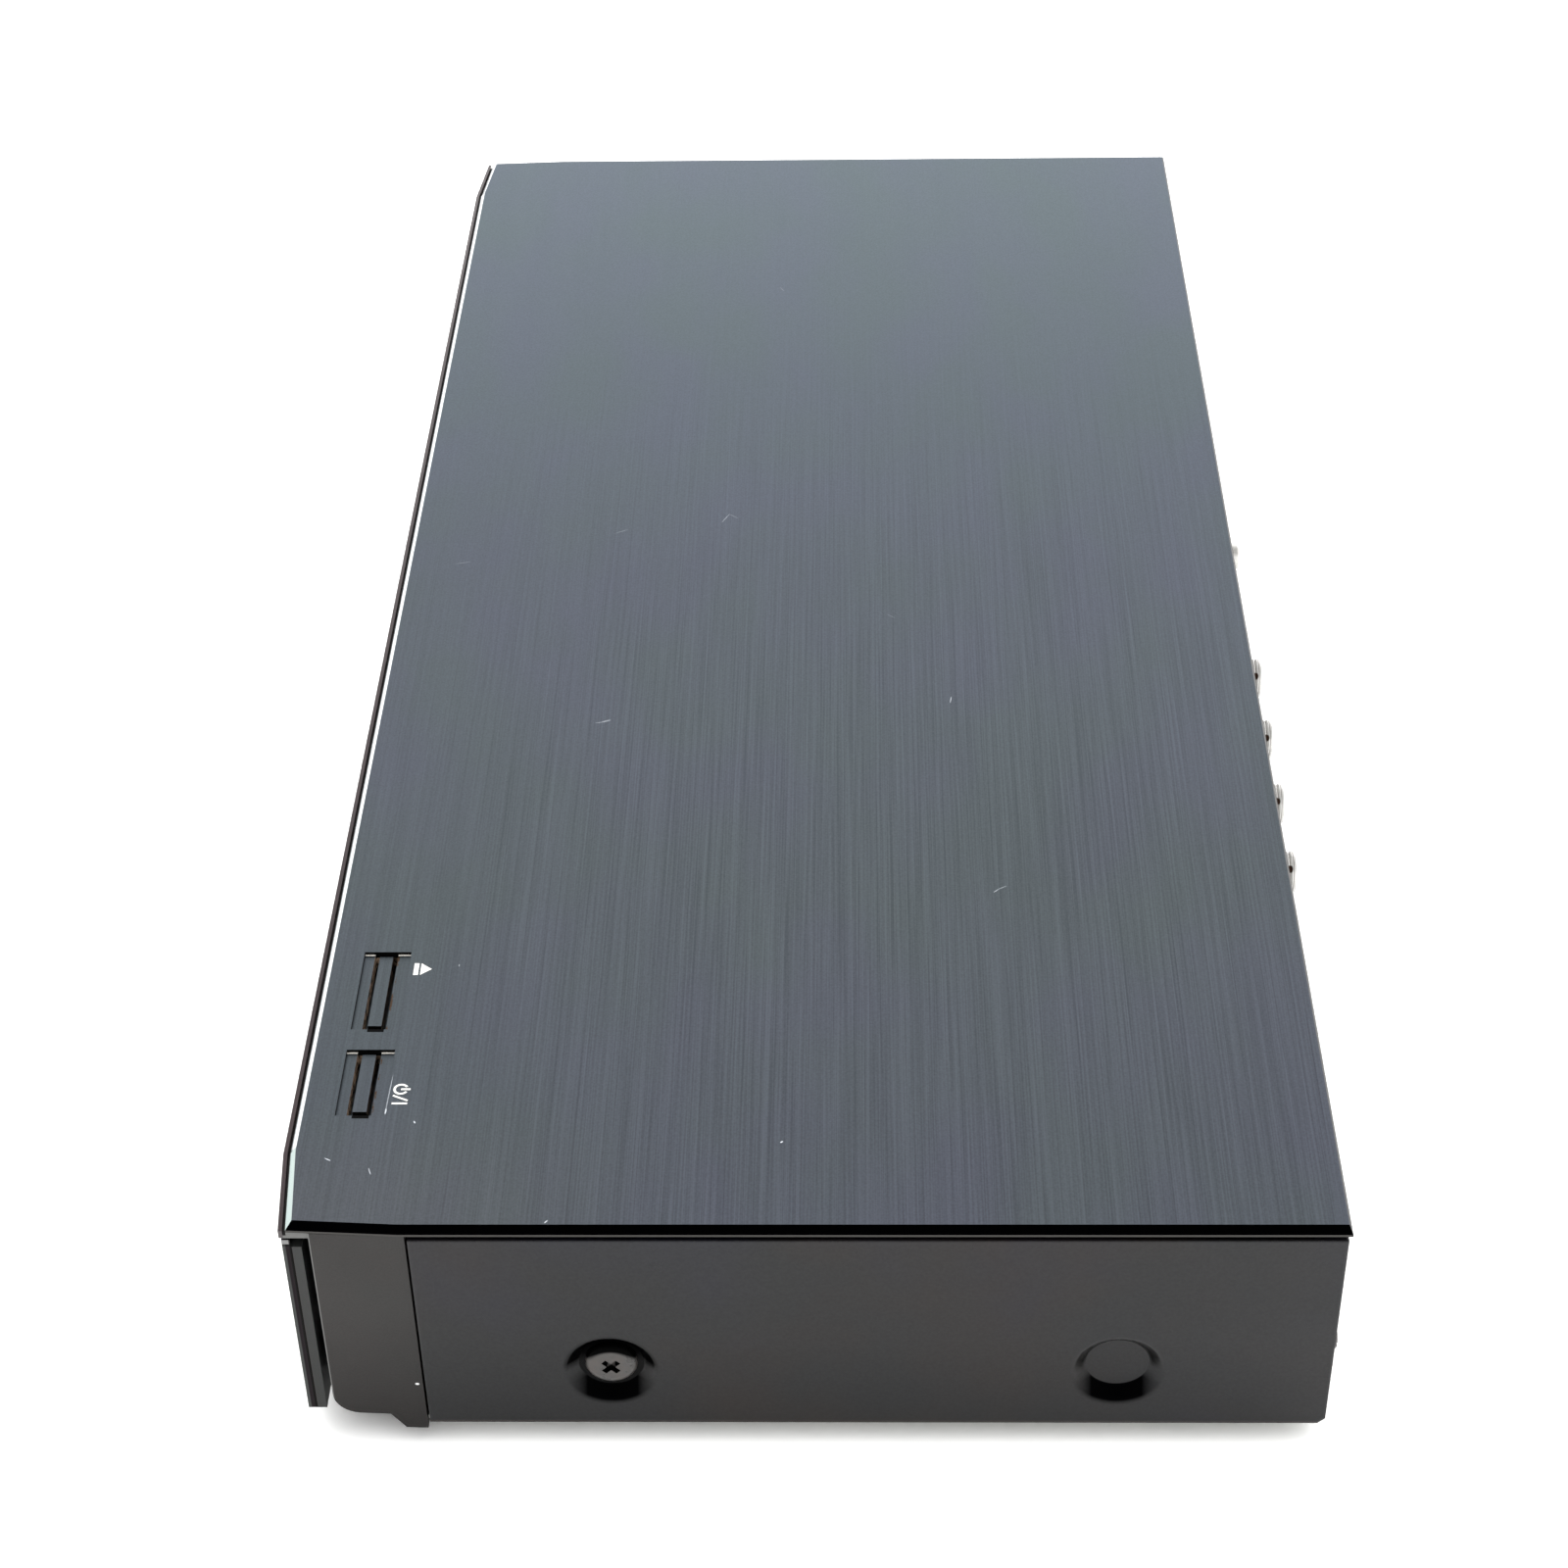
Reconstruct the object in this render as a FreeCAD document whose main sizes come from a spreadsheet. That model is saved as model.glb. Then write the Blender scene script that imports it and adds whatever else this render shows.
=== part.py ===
import FreeCAD, Part
import os
from collections import namedtuple
from types import SimpleNamespace

import Sketcher

# Blu-ray recorder, standing on its feet.
# X runs to the right seen from the front, Y runs to the back, Z runs up.
# The origin lies on the floor, under the middle of the whole box.
# All lengths are in millimetres. "depth" places are measured back from the front of the lip.

SIZES = {
    # Case
    "case_width": 430.0,
    "case_depth": 199.0,
    "case_height": 59.0,
    "connector_reach": 9.4,
    "base_height": 6.0,
    "sheet": 0.8,
    "base_sheet": 1.0,
    "fit_gap": 0.1,
    "run_gap": 0.3,
    # Top panel
    "panel_thickness": 1.6,
    "panel_lift": 1.1,
    "pad_inset": 5.0,
    "edge_drop": 1.1,
    "side_bevel": 1.6,
    "front_bevel": 1.1,
    "rear_bevel": 0.6,
    "panel_front_depth": 1.4,
    "corner_cut_width": 20.0,
    "corner_cut_depth": 1.8,
    "side_taper": 1.1,
    "taper_depth": 24.0,
    # Lip strip along the front of the top panel
    "lip_thickness": 0.8,
    "lip_height": 1.9,
    "lip_drop": 1.2,
    # Front moulding with its two ears
    "wall_depth": 7.3,
    "ear_depth": 25.2,
    "bezel_wall": 2.2,
    "ear_bottom": 4.3,
    "ear_raise": 8.0,
    "ear_radius": 4.8,
    "slope_front_depth": 18.1,
    "slope_rear_depth": 20.9,
    "seam_gap": 0.45,
    # Door, its hinge and the fixed fascia beside it
    "door_face_depth": 0.3,
    "door_skin": 1.55,
    "door_back_depth": 5.7,
    "door_bottom": 8.6,
    "door_top_gap": 0.8,
    "backing_drop": 1.8,
    "door_end_inset": 0.3,
    "door_drive_gap": 5.0,
    "door_side_gap": 0.5,
    "hinge_depth": 12.1,
    "hinge_height": 12.9,
    "hinge_pin_radius": 1.0,
    "hinge_bore_gap": 0.15,
    "hinge_lug_radius": 2.6,
    "hinge_lug_width": 6.0,
    "hinge_notch_gap": 0.6,
    "hinge_pin_length": 14.0,
    "hinge_left_inset": 5.5,
    "hinge_right_inset": 12.0,
    "fascia_peg_radius": 2.0,
    "fascia_peg_inset": 7.0,
    "fascia_rib": 2.0,
    "fascia_skin": 2.0,
    # Button recesses and bars in the top panel
    "recess_front_depth": 8.7,
    "recess_width": 9.5,
    "recess_drop": 0.7,
    "eject_inset": 77.6,
    "eject_length": 23.1,
    "power_inset": 48.6,
    "power_length": 18.4,
    "bar_width": 2.7,
    "bar_gap": 1.0,
    "bar_end_gap": 0.7,
    "bar_near_gap": 1.7,
    "bar_front_depth": 11.8,
    "button_flange_height": 1.6,
    "button_flange_overhang": 1.4,
    "stem_size": 2.4,
    "button_travel": 0.6,
    # Key board with its two switches
    "key_board_thickness": 1.2,
    "key_board_left_inset": 83.0,
    "key_board_right_inset": 25.0,
    "key_board_drop": 13.0,
    "key_board_front_depth": 9.9,
    "key_board_rear_depth": 22.0,
    "switch_size": 6.0,
    "switch_body_height": 3.5,
    "plunger_radius": 1.7,
    "plunger_height": 0.8,
    "key_post_radius": 2.2,
    # Dimples in the sides of the cover and their screws
    "dimple_height": 21.2,
    "dimple_front_depth": 61.5,
    "dimple_rear_depth": 158.0,
    "dimple_radius": 8.6,
    "dimple_floor_radius": 6.3,
    "dimple_drop": 2.0,
    "dimple_round": 1.2,
    "side_screw_head_radius": 4.7,
    "side_screw_head_height": 1.7,
    "side_screw_radius": 1.45,
    "side_screw_length": 4.5,
    "cross_width": 0.9,
    "cross_length": 4.2,
    "cross_drop": 0.9,
    "cover_corner_cut": 1.4,
    # Chassis
    "rail_height": 27.0,
    "rail_thickness": 1.0,
    "rail_setback": 5.0,
    "standoff_radius": 3.5,
    "drive_post_inset": 6.0,
    "drive_post_front_depth": 47.0,
    "board_height": 12.0,
    "board_thickness": 1.6,
    "vent_length": 30.0,
    "vent_width": 3.0,
    "vent_pitch": 7.0,
    "vent_left_shift": 12.0,
    "vent_right_inset": 95.0,
    "vent_front_depth": 70.0,
    # Feet
    "foot_radius": 13.0,
    "foot_top_radius": 14.5,
    "foot_inset_x": 32.0,
    "foot_front_depth": 44.0,
    "foot_rear_depth": 176.0,
    "foot_hollow_radius": 4.5,
    "foot_hollow_depth": 2.5,
    "foot_rim": 1.0,
    # Rear panel
    "rear_inset": 0.8,
    "grille_slot": 2.4,
    "grille_pitch": 4.2,
    "grille_height": 33.0,
    "rear_screw_head_radius": 3.2,
    "rear_screw_head_height": 2.4,
    "rear_screw_radius": 1.45,
    "screw_length": 4.5,
    "rear_screw_inset": 10.0,
    "rear_screw_z": 19.5,
    "top_screw_shift": 21.0,
    "top_screw_drop": 10.0,
    "rear_tab_width": 14.0,
    "rear_tab_inset": 15.0,
    # Antenna connectors and the tuner
    "antenna_height": 19.5,
    "antenna_shift": 31.0,
    "antenna_pitch": 25.0,
    "antenna_radius": 4.7,
    "antenna_bore_radius": 3.6,
    "thread_depth": 0.35,
    "thread_start": 3.0,
    "antenna_recess": 1.2,
    "antenna_hole_radius": 0.6,
    "antenna_hole_floor": 3.0,
    "tuner_side": 9.0,
    "tuner_front_depth": 176.0,
    "tuner_height": 15.0,
    "can_wall": 0.6,
    # Other rear sockets
    "av_inset": 29.0,
    "av_pitch": 13.0,
    "av_height": 19.5,
    "av_ring_radius": 4.1,
    "av_bore_radius": 1.6,
    "av_reach": 7.4,
    "av_block_height": 14.0,
    "av_block_length": 13.0,
    "hdmi_inset": 119.0,
    "hdmi_width": 15.0,
    "hdmi_height": 5.6,
    "hdmi_wall": 0.5,
    "hdmi_length": 12.0,
    "tongue_inset": 2.4,
    "lan_inset": 149.0,
    "lan_width": 16.0,
    "lan_height": 13.4,
    "lan_wall": 1.2,
    "lan_length": 15.0,
    "lan_mouth_width": 11.8,
    "lan_mouth_height": 7.4,
    "lan_notch_width": 6.0,
    "inlet_inset": 31.0,
    "inlet_width": 26.0,
    "inlet_height": 17.0,
    "inlet_length": 20.0,
    "inlet_mouth_width": 17.0,
    "inlet_mouth_height": 8.4,
    "inlet_mouth_length": 13.0,
    "inlet_pin_radius": 1.2,
    "inlet_pin_pitch": 8.6,
    "inlet_pin_length": 9.0,
    # Fan
    "fan_size": 40.0,
    "fan_thickness": 10.0,
    "fan_height": 31.0,
    "fan_bore_radius": 18.6,
    "fan_hole_inset": 4.0,
    "fan_hole_radius": 1.6,
    "fan_hub_radius": 9.0,
    "fan_hub_cap": 1.4,
    "fan_stator_radius": 7.5,
    "fan_blade_gap": 0.9,
    "fan_blade_thickness": 1.2,
    "fan_blade_lean": 3.0,
    "fan_blade_root": 0.6,
    "fan_strut_width": 3.0,
    "fan_strut_thickness": 1.5,
    # Disc drive
    "drive_inset": 10.0,
    "drive_width": 146.0,
    "drive_front_depth": 12.4,
    "drive_rear_depth": 174.0,
    "drive_top": 38.0,
    "drive_wall": 2.0,
    "drive_front_wall_top": 24.8,
    "ledge_width": 4.0,
    "ledge_thickness": 2.0,
    "spindle_depth": 76.0,
    "opening_half_width": 36.0,
    "opening_front_depth": 55.0,
    "opening_rear_depth": 172.0,
    # Disc tray and its lid
    "tray_width": 132.0,
    "tray_bottom": 28.0,
    "tray_thickness": 2.8,
    "tray_rim": 5.2,
    "tray_rim_width": 2.5,
    "tray_rear_depth": 171.0,
    "disc_radius": 60.8,
    "disc_recess": 1.2,
    "small_disc_radius": 40.5,
    "small_disc_recess": 0.8,
    "hub_opening_radius": 18.0,
    "slot_half_width": 15.0,
    "slot_length": 62.0,
    "rack_width": 3.0,
    "rack_drop": 2.0,
    "rack_inset": 6.0,
    "rack_front_depth": 16.0,
    "lid_bottom": 21.0,
    "lid_top": 41.0,
    "lid_width": 136.0,
    "lid_gap": 0.5,
    "lid_thickness": 3.9,
    "lid_chamfer": 0.4,
    "bezel_opening_gap": 1.6,
    # Traverse with spindle motor, turntable and pickup
    "frame_height": 17.0,
    "frame_thickness": 1.5,
    "frame_half_width": 42.0,
    "frame_front_depth": 58.0,
    "frame_rear_depth": 168.0,
    "window_half_width": 28.0,
    "window_front_depth": 89.3,
    "pad_size": 5.0,
    "motor_radius": 12.5,
    "motor_top": 23.6,
    "turntable_radius": 14.0,
    "turntable_seat": 25.6,
    "turntable_top": 27.3,
    "turntable_cone_radius": 7.3,
    "cone_narrowing": 0.8,
    "rod_offset": 23.0,
    "rod_radius": 1.5,
    "rod_height": 13.6,
    "rod_front_depth": 86.0,
    "rod_rear_depth": 155.0,
    "tab_thickness": 1.5,
    "lens_start_radius": 24.0,
    "sled_front_gap": 1.5,
    "sled_length": 26.0,
    "sled_half_width": 26.0,
    "sled_bottom": 11.6,
    "sled_top": 21.4,
    "fork_length": 6.0,
    "fork_thickness": 1.2,
    "lens_radius": 3.6,
    "lens_height": 1.4,
    "lens_float": 0.6,
    "lens_crown": 0.4,
    "screw_offset": 30.5,
    "screw_radius": 1.2,
    "screw_height": 12.6,
    "lead_front_depth": 88.0,
    "sled_motor_radius": 3.9,
    "sled_motor_length": 10.0,
    # Clamper in the drive cover
    "clamper_hole_radius": 13.0,
    "clamper_flange_radius": 15.5,
    "clamper_hub_radius": 12.0,
    "traverse_lift": 5.5,
    "disc_thickness": 1.2,
    "clamper_flange_thickness": 1.2,
    "clamper_recess": 2.6,
    "cover_flange_drop": 7.0,
    # Loading gears
    "tooth_depth": 1.6,
    "rack_pitch": 2.8,
    "tray_gear_radius": 8.0,
    "tray_gear_depth": 30.0,
    "gear_thickness": 1.7,
    "pinion_radius": 4.5,
    "belt_wheel_radius": 11.0,
    "belt_wheel_height": 20.0,
    "belt_wheel_thickness": 2.6,
    "belt_size": 1.2,
    "motor_pulley_radius": 3.2,
    "belt_span": 34.0,
    "gear_post_radius": 1.5,
    "loading_motor_radius": 10.0,
    "shaft_radius": 1.0,
    "shaft_stub": 4.0,
    # Hard disk and its bracket
    "hdd_drive_gap": 11.2,
    "hdd_width": 101.6,
    "hdd_length": 147.0,
    "hdd_height": 26.1,
    "hdd_front_depth": 23.0,
    "hdd_bottom": 27.2,
    "hdd_wall": 3.5,
    "hdd_floor": 6.0,
    "hdd_lid": 1.0,
    "platter_radius": 44.0,
    "platter_thickness": 1.2,
    "platter_gap": 4.0,
    "platter_hub_radius": 14.0,
    "platter_rim_gap": 1.5,
    "arm_pivot_shift": 26.0,
    "arm_pivot_depth": 138.0,
    "arm_pivot_radius": 6.0,
    "arm_length": 52.0,
    "arm_width": 9.0,
    "arm_tip_width": 3.0,
    "coil_length": 15.0,
    "coil_width": 22.0,
    "arm_thickness": 1.2,
    "bracket_sheet": 1.2,
    "bracket_foot": 14.0,
    "bracket_leg_gap": 1.0,
    "bracket_rim": 16.0,
    "bracket_leg_inset": 5.0,
    "bracket_toe": 8.0,
    # Boards and what they carry
    "main_board_front_depth": 10.4,
    "main_board_drive_gap": 18.0,
    "main_board_width": 92.0,
    "main_board_strip_inset": 21.0,
    "board_gap": 2.0,
    "board_screw_inset": 5.0,
    "main_screw_front_depth": 40.0,
    "strip_screw_shift": 8.0,
    "strip_screw_inset": 3.8,
    "main_board_strip_length": 19.4,
    "main_board_rear_gap": 1.0,
    "sd_slot_shift": 15.0,
    "sd_slot_width": 28.0,
    "sd_slot_height": 3.6,
    "sd_slot_length": 26.0,
    "sd_mouth_width": 24.6,
    "sd_mouth_height": 2.5,
    "card_reader_shift": 61.0,
    "card_reader_width": 60.0,
    "card_reader_height": 7.0,
    "card_reader_length": 20.0,
    "card_mouth_width": 54.6,
    "card_mouth_height": 1.6,
    "socket_back": 2.0,
    "heat_sink_size": 44.0,
    "heat_sink_depth": 95.0,
    "heat_sink_base": 3.0,
    "heat_sink_height": 9.0,
    "processor_size": 30.0,
    "memory_size": 12.0,
    "memory_shift": 32.0,
    "controller_shift": 40.0,
    "chip_height": 2.0,
    "fin_thickness": 1.2,
    "power_board_gap": 27.0,
    "power_board_inset": 10.0,
    "power_board_front_depth": 34.0,
    "power_board_rear_depth": 182.0,
    "transformer_shift": 52.0,
    "transformer_depth": 95.0,
    "transformer_width": 34.0,
    "transformer_length": 28.0,
    "transformer_height": 26.0,
    "core_leg": 7.0,
    "capacitor_radius": 9.0,
    "capacitor_height": 30.0,
    "can_groove": 0.6,
    "can_neck": 2.0,
    "capacitor_depth": 60.0,
    "capacitor_shift": 22.0,
    "capacitor_pitch": 24.0,
    "front_board_overlap": 16.0,
    "front_board_inset": 25.0,
    "front_board_bottom": 13.0,
    "front_board_top": 44.0,
    "front_board_depth": 14.6,
    "front_post_inset": 4.0,
    "front_post_radius": 2.5,
    "display_inset": 10.0,
    "display_width": 76.0,
    "display_bottom": 24.0,
    "display_height": 16.0,
    "window_margin": 4.0,
    "window_thickness": 1.5,
    "window_rebate": 2.0,
    # Flat cables
    "ribbon_inset": 4.0,
    "ribbon_rise": 9.0,
    "drive_ribbon_rise": 10.0,
    "ribbon_bend": 2.5,
    "front_ribbon_shift": 22.0,
    "drive_ribbon_shift": 8.0,
    "hdd_ribbon_inset": 8.8,
    "bridge_rise": 8.0,
    "bridge_depth": 100.0,
    "ribbon_thickness": 0.6,
    "ribbon_width": 14.0,
}

NODE_LIMIT = 60
FULL_TURN = 360
CUT_OVERRUN = 1.0
ANTENNA_COUNT = 4
AV_COUNT = 6
VENT_COUNT = 12
GRILLE_COUNT = 9
FIN_COUNT = 10
CAPACITOR_COUNT = 3
BLADE_COUNT = 7
THREAD_COUNT = 8
RACK_TOOTH_COUNT = 54
TRAY_GEAR_TEETH = 18
PINION_TEETH = 10
TOOTH_GAP_SHARE = 1.5
ARM_COUNT = 3

doc = FreeCAD.newDocument("recorder")
sheet = doc.addObject("Spreadsheet::Sheet", "Sizes")
nodes = []
Circle = namedtuple("Circle", "across up radius")


# Sizes that know their sheet expression

class Size:
    """A length, known as a number and as the sheet expression that gives it."""

    def __init__(self, value, text):
        self.value = float(value)
        self.text = text

    def __add__(self, other):
        other = as_size(other)
        return Size(self.value + other.value, f"({self.text} + {other.text})")

    def __sub__(self, other):
        other = as_size(other)
        return Size(self.value - other.value, f"({self.text} - {other.text})")

    def __mul__(self, other):
        other = as_size(other)
        return Size(self.value * other.value, f"({self.text} * {other.text})")

    def __truediv__(self, other):
        other = as_size(other)
        return Size(self.value / other.value, f"({self.text} / {other.text})")

    def __radd__(self, other):
        return as_size(other) + self

    def __rsub__(self, other):
        return as_size(other) - self

    def __rmul__(self, other):
        return as_size(other) * self

    def __neg__(self):
        return as_size(0) - self


def as_size(number):
    """A plain number as a Size, or a Size as it is."""
    if isinstance(number, Size):
        return number
    return Size(number, f"{float(number):.6f}")


def fill_sheet():
    """Write every driving size into the sheet and hand them back by name."""
    held = {}
    for row, (name, value) in enumerate(SIZES.items(), start=1):
        cell = f"B{row}"
        sheet.set(f"A{row}", name)
        sheet.set(cell, str(value))
        sheet.setAlias(cell, name)
        held[name] = Size(value, f"Sizes.{name}")
    doc.recompute()
    return SimpleNamespace(**held)


def bind(thing, prop, size):
    """Tie one property of an object to the expression of a size."""
    thing.setExpression(prop, as_size(size).text)


def place(thing, x, y, z, axis="z"):
    """Turn an object's own Z axis along an axis of the part and tie its place."""
    turn = {
        "z": FreeCAD.Rotation(),
        "x": FreeCAD.Rotation(FreeCAD.Vector(0, 1, 0), 90),
        "y": FreeCAD.Rotation(FreeCAD.Vector(1, 0, 0), -90),
        "-y": FreeCAD.Rotation(FreeCAD.Vector(1, 0, 0), 90),
        "-x": FreeCAD.Rotation(FreeCAD.Vector(0, 1, 0), -90),
        "-z": FreeCAD.Rotation(FreeCAD.Vector(1, 0, 0), 180),
    }[axis]
    thing.Placement = FreeCAD.Placement(FreeCAD.Vector(), turn)
    bind(thing, "Placement.Base.x", x)
    bind(thing, "Placement.Base.y", y)
    bind(thing, "Placement.Base.z", z)


def node(name, thing):
    """Name a finished sub-part."""
    thing.Label = name
    nodes.append((name, thing))
    return thing


# Solids from primitives

def box(x_low, x_high, y_low, y_high, z_low, z_high):
    """A block between three pairs of places."""
    x_low, y_low, z_low = as_size(x_low), as_size(y_low), as_size(z_low)
    block = doc.addObject("Part::Box", "block")
    bind(block, "Length", as_size(x_high) - x_low)
    bind(block, "Width", as_size(y_high) - y_low)
    bind(block, "Height", as_size(z_high) - z_low)
    place(block, x_low, y_low, z_low)
    return block


def rod(x, y, z, radius, length, axis="z"):
    """A round rod from one end, along an axis."""
    turned = doc.addObject("Part::Cylinder", "rod")
    bind(turned, "Radius", radius)
    bind(turned, "Height", length)
    place(turned, x, y, z, axis)
    return turned


def join(parts):
    """Several solids made into one."""
    if len(parts) == 1:
        return parts[0]
    whole = doc.addObject("Part::MultiFuse", "joined")
    whole.Shapes = parts
    return whole


def cut(base, tools):
    """A solid with others taken away."""
    rest = doc.addObject("Part::Cut", "cut")
    rest.Base = base
    rest.Tool = join(tools)
    return rest


def group(parts):
    """Separate solids that share one node."""
    together = doc.addObject("Part::Compound", "group")
    together.Links = parts
    return together


# Bodies from sketches

PLANES = {"XY": ("XY_Plane", 1), "XZ": ("XZ_Plane", -1), "YZ": ("YZ_Plane", 1)}


def new_body():
    """An empty body."""
    return doc.addObject("PartDesign::Body", "body")


def rect(left, right, low, high):
    """The four corners of a rectangle."""
    return [(left, low), (right, low), (right, high), (left, high)]


def hold_point(sketch, index, corner, across, up):
    """Tie one point of a sketch to its two distances from the origin."""
    for kind, size in (("DistanceX", across), ("DistanceY", up)):
        size = as_size(size)
        row = sketch.addConstraint(Sketcher.Constraint(kind, -1, 1, index, corner, size.value))
        sketch.setExpression(f"Constraints[{row}]", size.text)


def draw_circle(sketch, shape):
    """A circle tied to its centre and radius."""
    radius = as_size(shape.radius)
    middle = FreeCAD.Vector(as_size(shape.across).value, as_size(shape.up).value, 0)
    index = sketch.addGeometry(Part.Circle(middle, FreeCAD.Vector(0, 0, 1), radius.value), False)
    hold_point(sketch, index, 3, shape.across, shape.up)
    row = sketch.addConstraint(Sketcher.Constraint("Radius", index, radius.value))
    sketch.setExpression(f"Constraints[{row}]", radius.text)


def draw_polygon(sketch, corners):
    """A closed run of straight lines, each corner tied to the origin."""
    spots = [FreeCAD.Vector(as_size(a).value, as_size(b).value, 0) for a, b in corners]
    first = sketch.GeometryCount
    count = len(spots)
    for i in range(count):
        sketch.addGeometry(Part.LineSegment(spots[i], spots[(i + 1) % count]), False)
    for i in range(count):
        after = first + (i + 1) % count
        sketch.addConstraint(Sketcher.Constraint("Coincident", first + i, 2, after, 1))
        hold_point(sketch, first + i, 1, *corners[i])


def draw(body, plane, shapes, offset, centre=(0, 0)):
    """A sketch on one of the body's planes, moved out along the plane's normal."""
    role = PLANES[plane][0]
    support = next(item for item in body.Origin.OriginFeatures if item.Role == role)
    sketch = body.newObject("Sketcher::SketchObject", "sketch")
    sketch.AttachmentSupport = [(support, "")]
    sketch.MapMode = "FlatFace"
    bind(sketch, "AttachmentOffset.Base.x", centre[0])
    bind(sketch, "AttachmentOffset.Base.y", centre[1])
    bind(sketch, "AttachmentOffset.Base.z", offset)
    for shape in shapes:
        if isinstance(shape, Circle):
            draw_circle(sketch, shape)
        else:
            draw_polygon(sketch, shape)
    return sketch


def pad(body, plane, shapes, low, high):
    """Material between two levels along the plane's normal."""
    low, high = as_size(low), as_size(high)
    offset = low if PLANES[plane][1] > 0 else -high
    feature = body.newObject("PartDesign::Pad", "pad")
    feature.Profile = draw(body, plane, shapes, offset)
    bind(feature, "Length", high - low)
    body.Tip = feature
    return feature


def pocket(body, plane, shapes, low, high):
    """Material taken away between two levels along the plane's normal."""
    low, high = as_size(low), as_size(high)
    offset = high if PLANES[plane][1] > 0 else -low
    feature = body.newObject("PartDesign::Pocket", "pocket")
    feature.Profile = draw(body, plane, shapes, offset)
    feature.Type = 0
    feature.Reversed = False
    bind(feature, "Length", high - low)
    body.Tip = feature
    return feature


def repeat(body, feature, axis, count, pitch):
    """Equal copies of a feature along an axis."""
    pattern = body.newObject("PartDesign::LinearPattern", "pattern")
    pattern.Originals = [feature]
    line = next(item for item in body.Origin.OriginFeatures if item.Role == f"{axis}_Axis")
    pattern.Direction = (line, [""])
    pattern.Occurrences = count
    bind(pattern, "Length", pitch * (count - 1))
    body.Tip = pattern
    return pattern


def spin(body, outline):
    """A round solid turned about the body's own Z axis."""
    feature = body.newObject("PartDesign::Revolution", "turned")
    sketch = draw(body, "XZ", [outline], as_size(0))
    feature.Profile = sketch
    feature.ReferenceAxis = (sketch, ["V_Axis"])
    feature.Angle = FULL_TURN
    body.Tip = feature
    return feature


def around(body, feature, count):
    """Equal copies of a feature about the body's own Z axis."""
    pattern = body.newObject("PartDesign::PolarPattern", "ring")
    pattern.Originals = [feature]
    line = next(item for item in body.Origin.OriginFeatures if item.Role == "Z_Axis")
    pattern.Axis = (line, [""])
    pattern.Angle = FULL_TURN
    pattern.Occurrences = count
    body.Tip = pattern
    return pattern


def dress(body, kind, size, choose):
    """A fillet or chamfer on the edges that a rule picks."""
    doc.recompute()
    base = body.Tip
    names = [f"Edge{i}" for i, edge in enumerate(base.Shape.Edges, start=1) if choose(edge)]
    if not names:
        raise RuntimeError(f"no edge found for a {kind} in {body.Name}")
    feature = body.newObject(f"PartDesign::{kind}", kind.lower())
    feature.Base = (base, names)
    bind(feature, "Radius" if kind == "Fillet" else "Size", size)
    body.Tip = feature
    return feature


def near(value, target, slack=0.02):
    """Whether two numbers agree closely."""
    return abs(value - as_size(target).value) < slack


# Places shared by the sub-parts

def case_places(s):
    """The planes of the case that several sub-parts line up on."""
    half = s.case_width / 2
    front = -(s.case_depth + s.connector_reach) / 2
    rear_edge = front + s.case_depth
    metal_rear = rear_edge - s.rear_bevel
    plate_bottom = s.case_height - s.panel_thickness
    metal_top = plate_bottom - s.panel_lift
    floor_top = s.base_height + s.base_sheet
    rear_outer = rear_edge - s.rear_inset
    lip_top = s.case_height - s.lip_drop
    return SimpleNamespace(
        half=half,
        front=front,
        rear_edge=rear_edge,
        metal_rear=metal_rear,
        plate_bottom=plate_bottom,
        metal_top=metal_top,
        roof=metal_top - s.sheet,
        floor_top=floor_top,
        rear_outer=rear_outer,
        rear_inner=rear_outer - s.sheet,
        inner_side=half - s.sheet,
        wall=front + s.wall_depth,
        wall_inner=front + s.wall_depth + s.bezel_wall,
        ear_rear=front + s.ear_depth,
        cover_front=front + s.ear_depth + s.seam_gap,
        lip_top=lip_top,
        lip_bottom=lip_top - s.lip_height,
        panel_front=front + s.panel_front_depth,
        door_face=front + s.door_face_depth,
        door_inner=front + s.door_back_depth,
        door_top=lip_top - s.lip_height - s.door_top_gap,
        door_right=half - s.side_taper - s.door_end_inset,
        hinge_y=front + s.hinge_depth,
        rail_outer=half - s.dimple_drop - s.sheet - s.fit_gap,
        board_top=s.board_height + s.board_thickness,
        spindle_y=front + s.spindle_depth,
        tray_top=s.tray_bottom + s.tray_thickness,
        bezel_floor=s.ear_raise + s.bezel_wall,
        key_board_height=s.case_height - s.key_board_drop,
        top_screw_z=s.case_height - s.top_screw_drop,
    )


def add_left_places(s, p):
    """Places of what keeps to the left side: disc drive, hard disk, main board."""
    p.drive_x = s.drive_inset + s.drive_width / 2 - p.half
    drive_right = p.drive_x + s.drive_width / 2
    p.door_left = drive_right + s.door_drive_gap
    p.vent_left_x = p.drive_x + s.vent_left_shift
    p.drive_ribbon_x = p.drive_x - s.drive_ribbon_shift
    p.hdd_left = drive_right + s.hdd_drive_gap
    p.hdd_x = p.hdd_left + s.hdd_width / 2
    p.hdd_ribbon_x = p.hdd_left + s.hdd_ribbon_inset
    p.main_board_left = drive_right + s.main_board_drive_gap
    p.main_board_right = p.main_board_left + s.main_board_width
    p.main_board_strip_left = s.main_board_strip_inset - p.half
    p.main_board_rear = p.rear_inner - s.main_board_rear_gap
    p.board_strip = p.main_board_rear - s.main_board_strip_length
    p.sd_slot_x = p.main_board_left + s.sd_slot_shift
    p.card_reader_x = p.main_board_left + s.card_reader_shift
    p.top_screw_x = p.main_board_left + s.top_screw_shift
    p.antenna_first_x = p.main_board_left + s.antenna_shift
    p.av_first_x = s.av_inset - p.half
    p.hdmi_x = s.hdmi_inset - p.half
    p.lan_x = s.lan_inset - p.half


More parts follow.
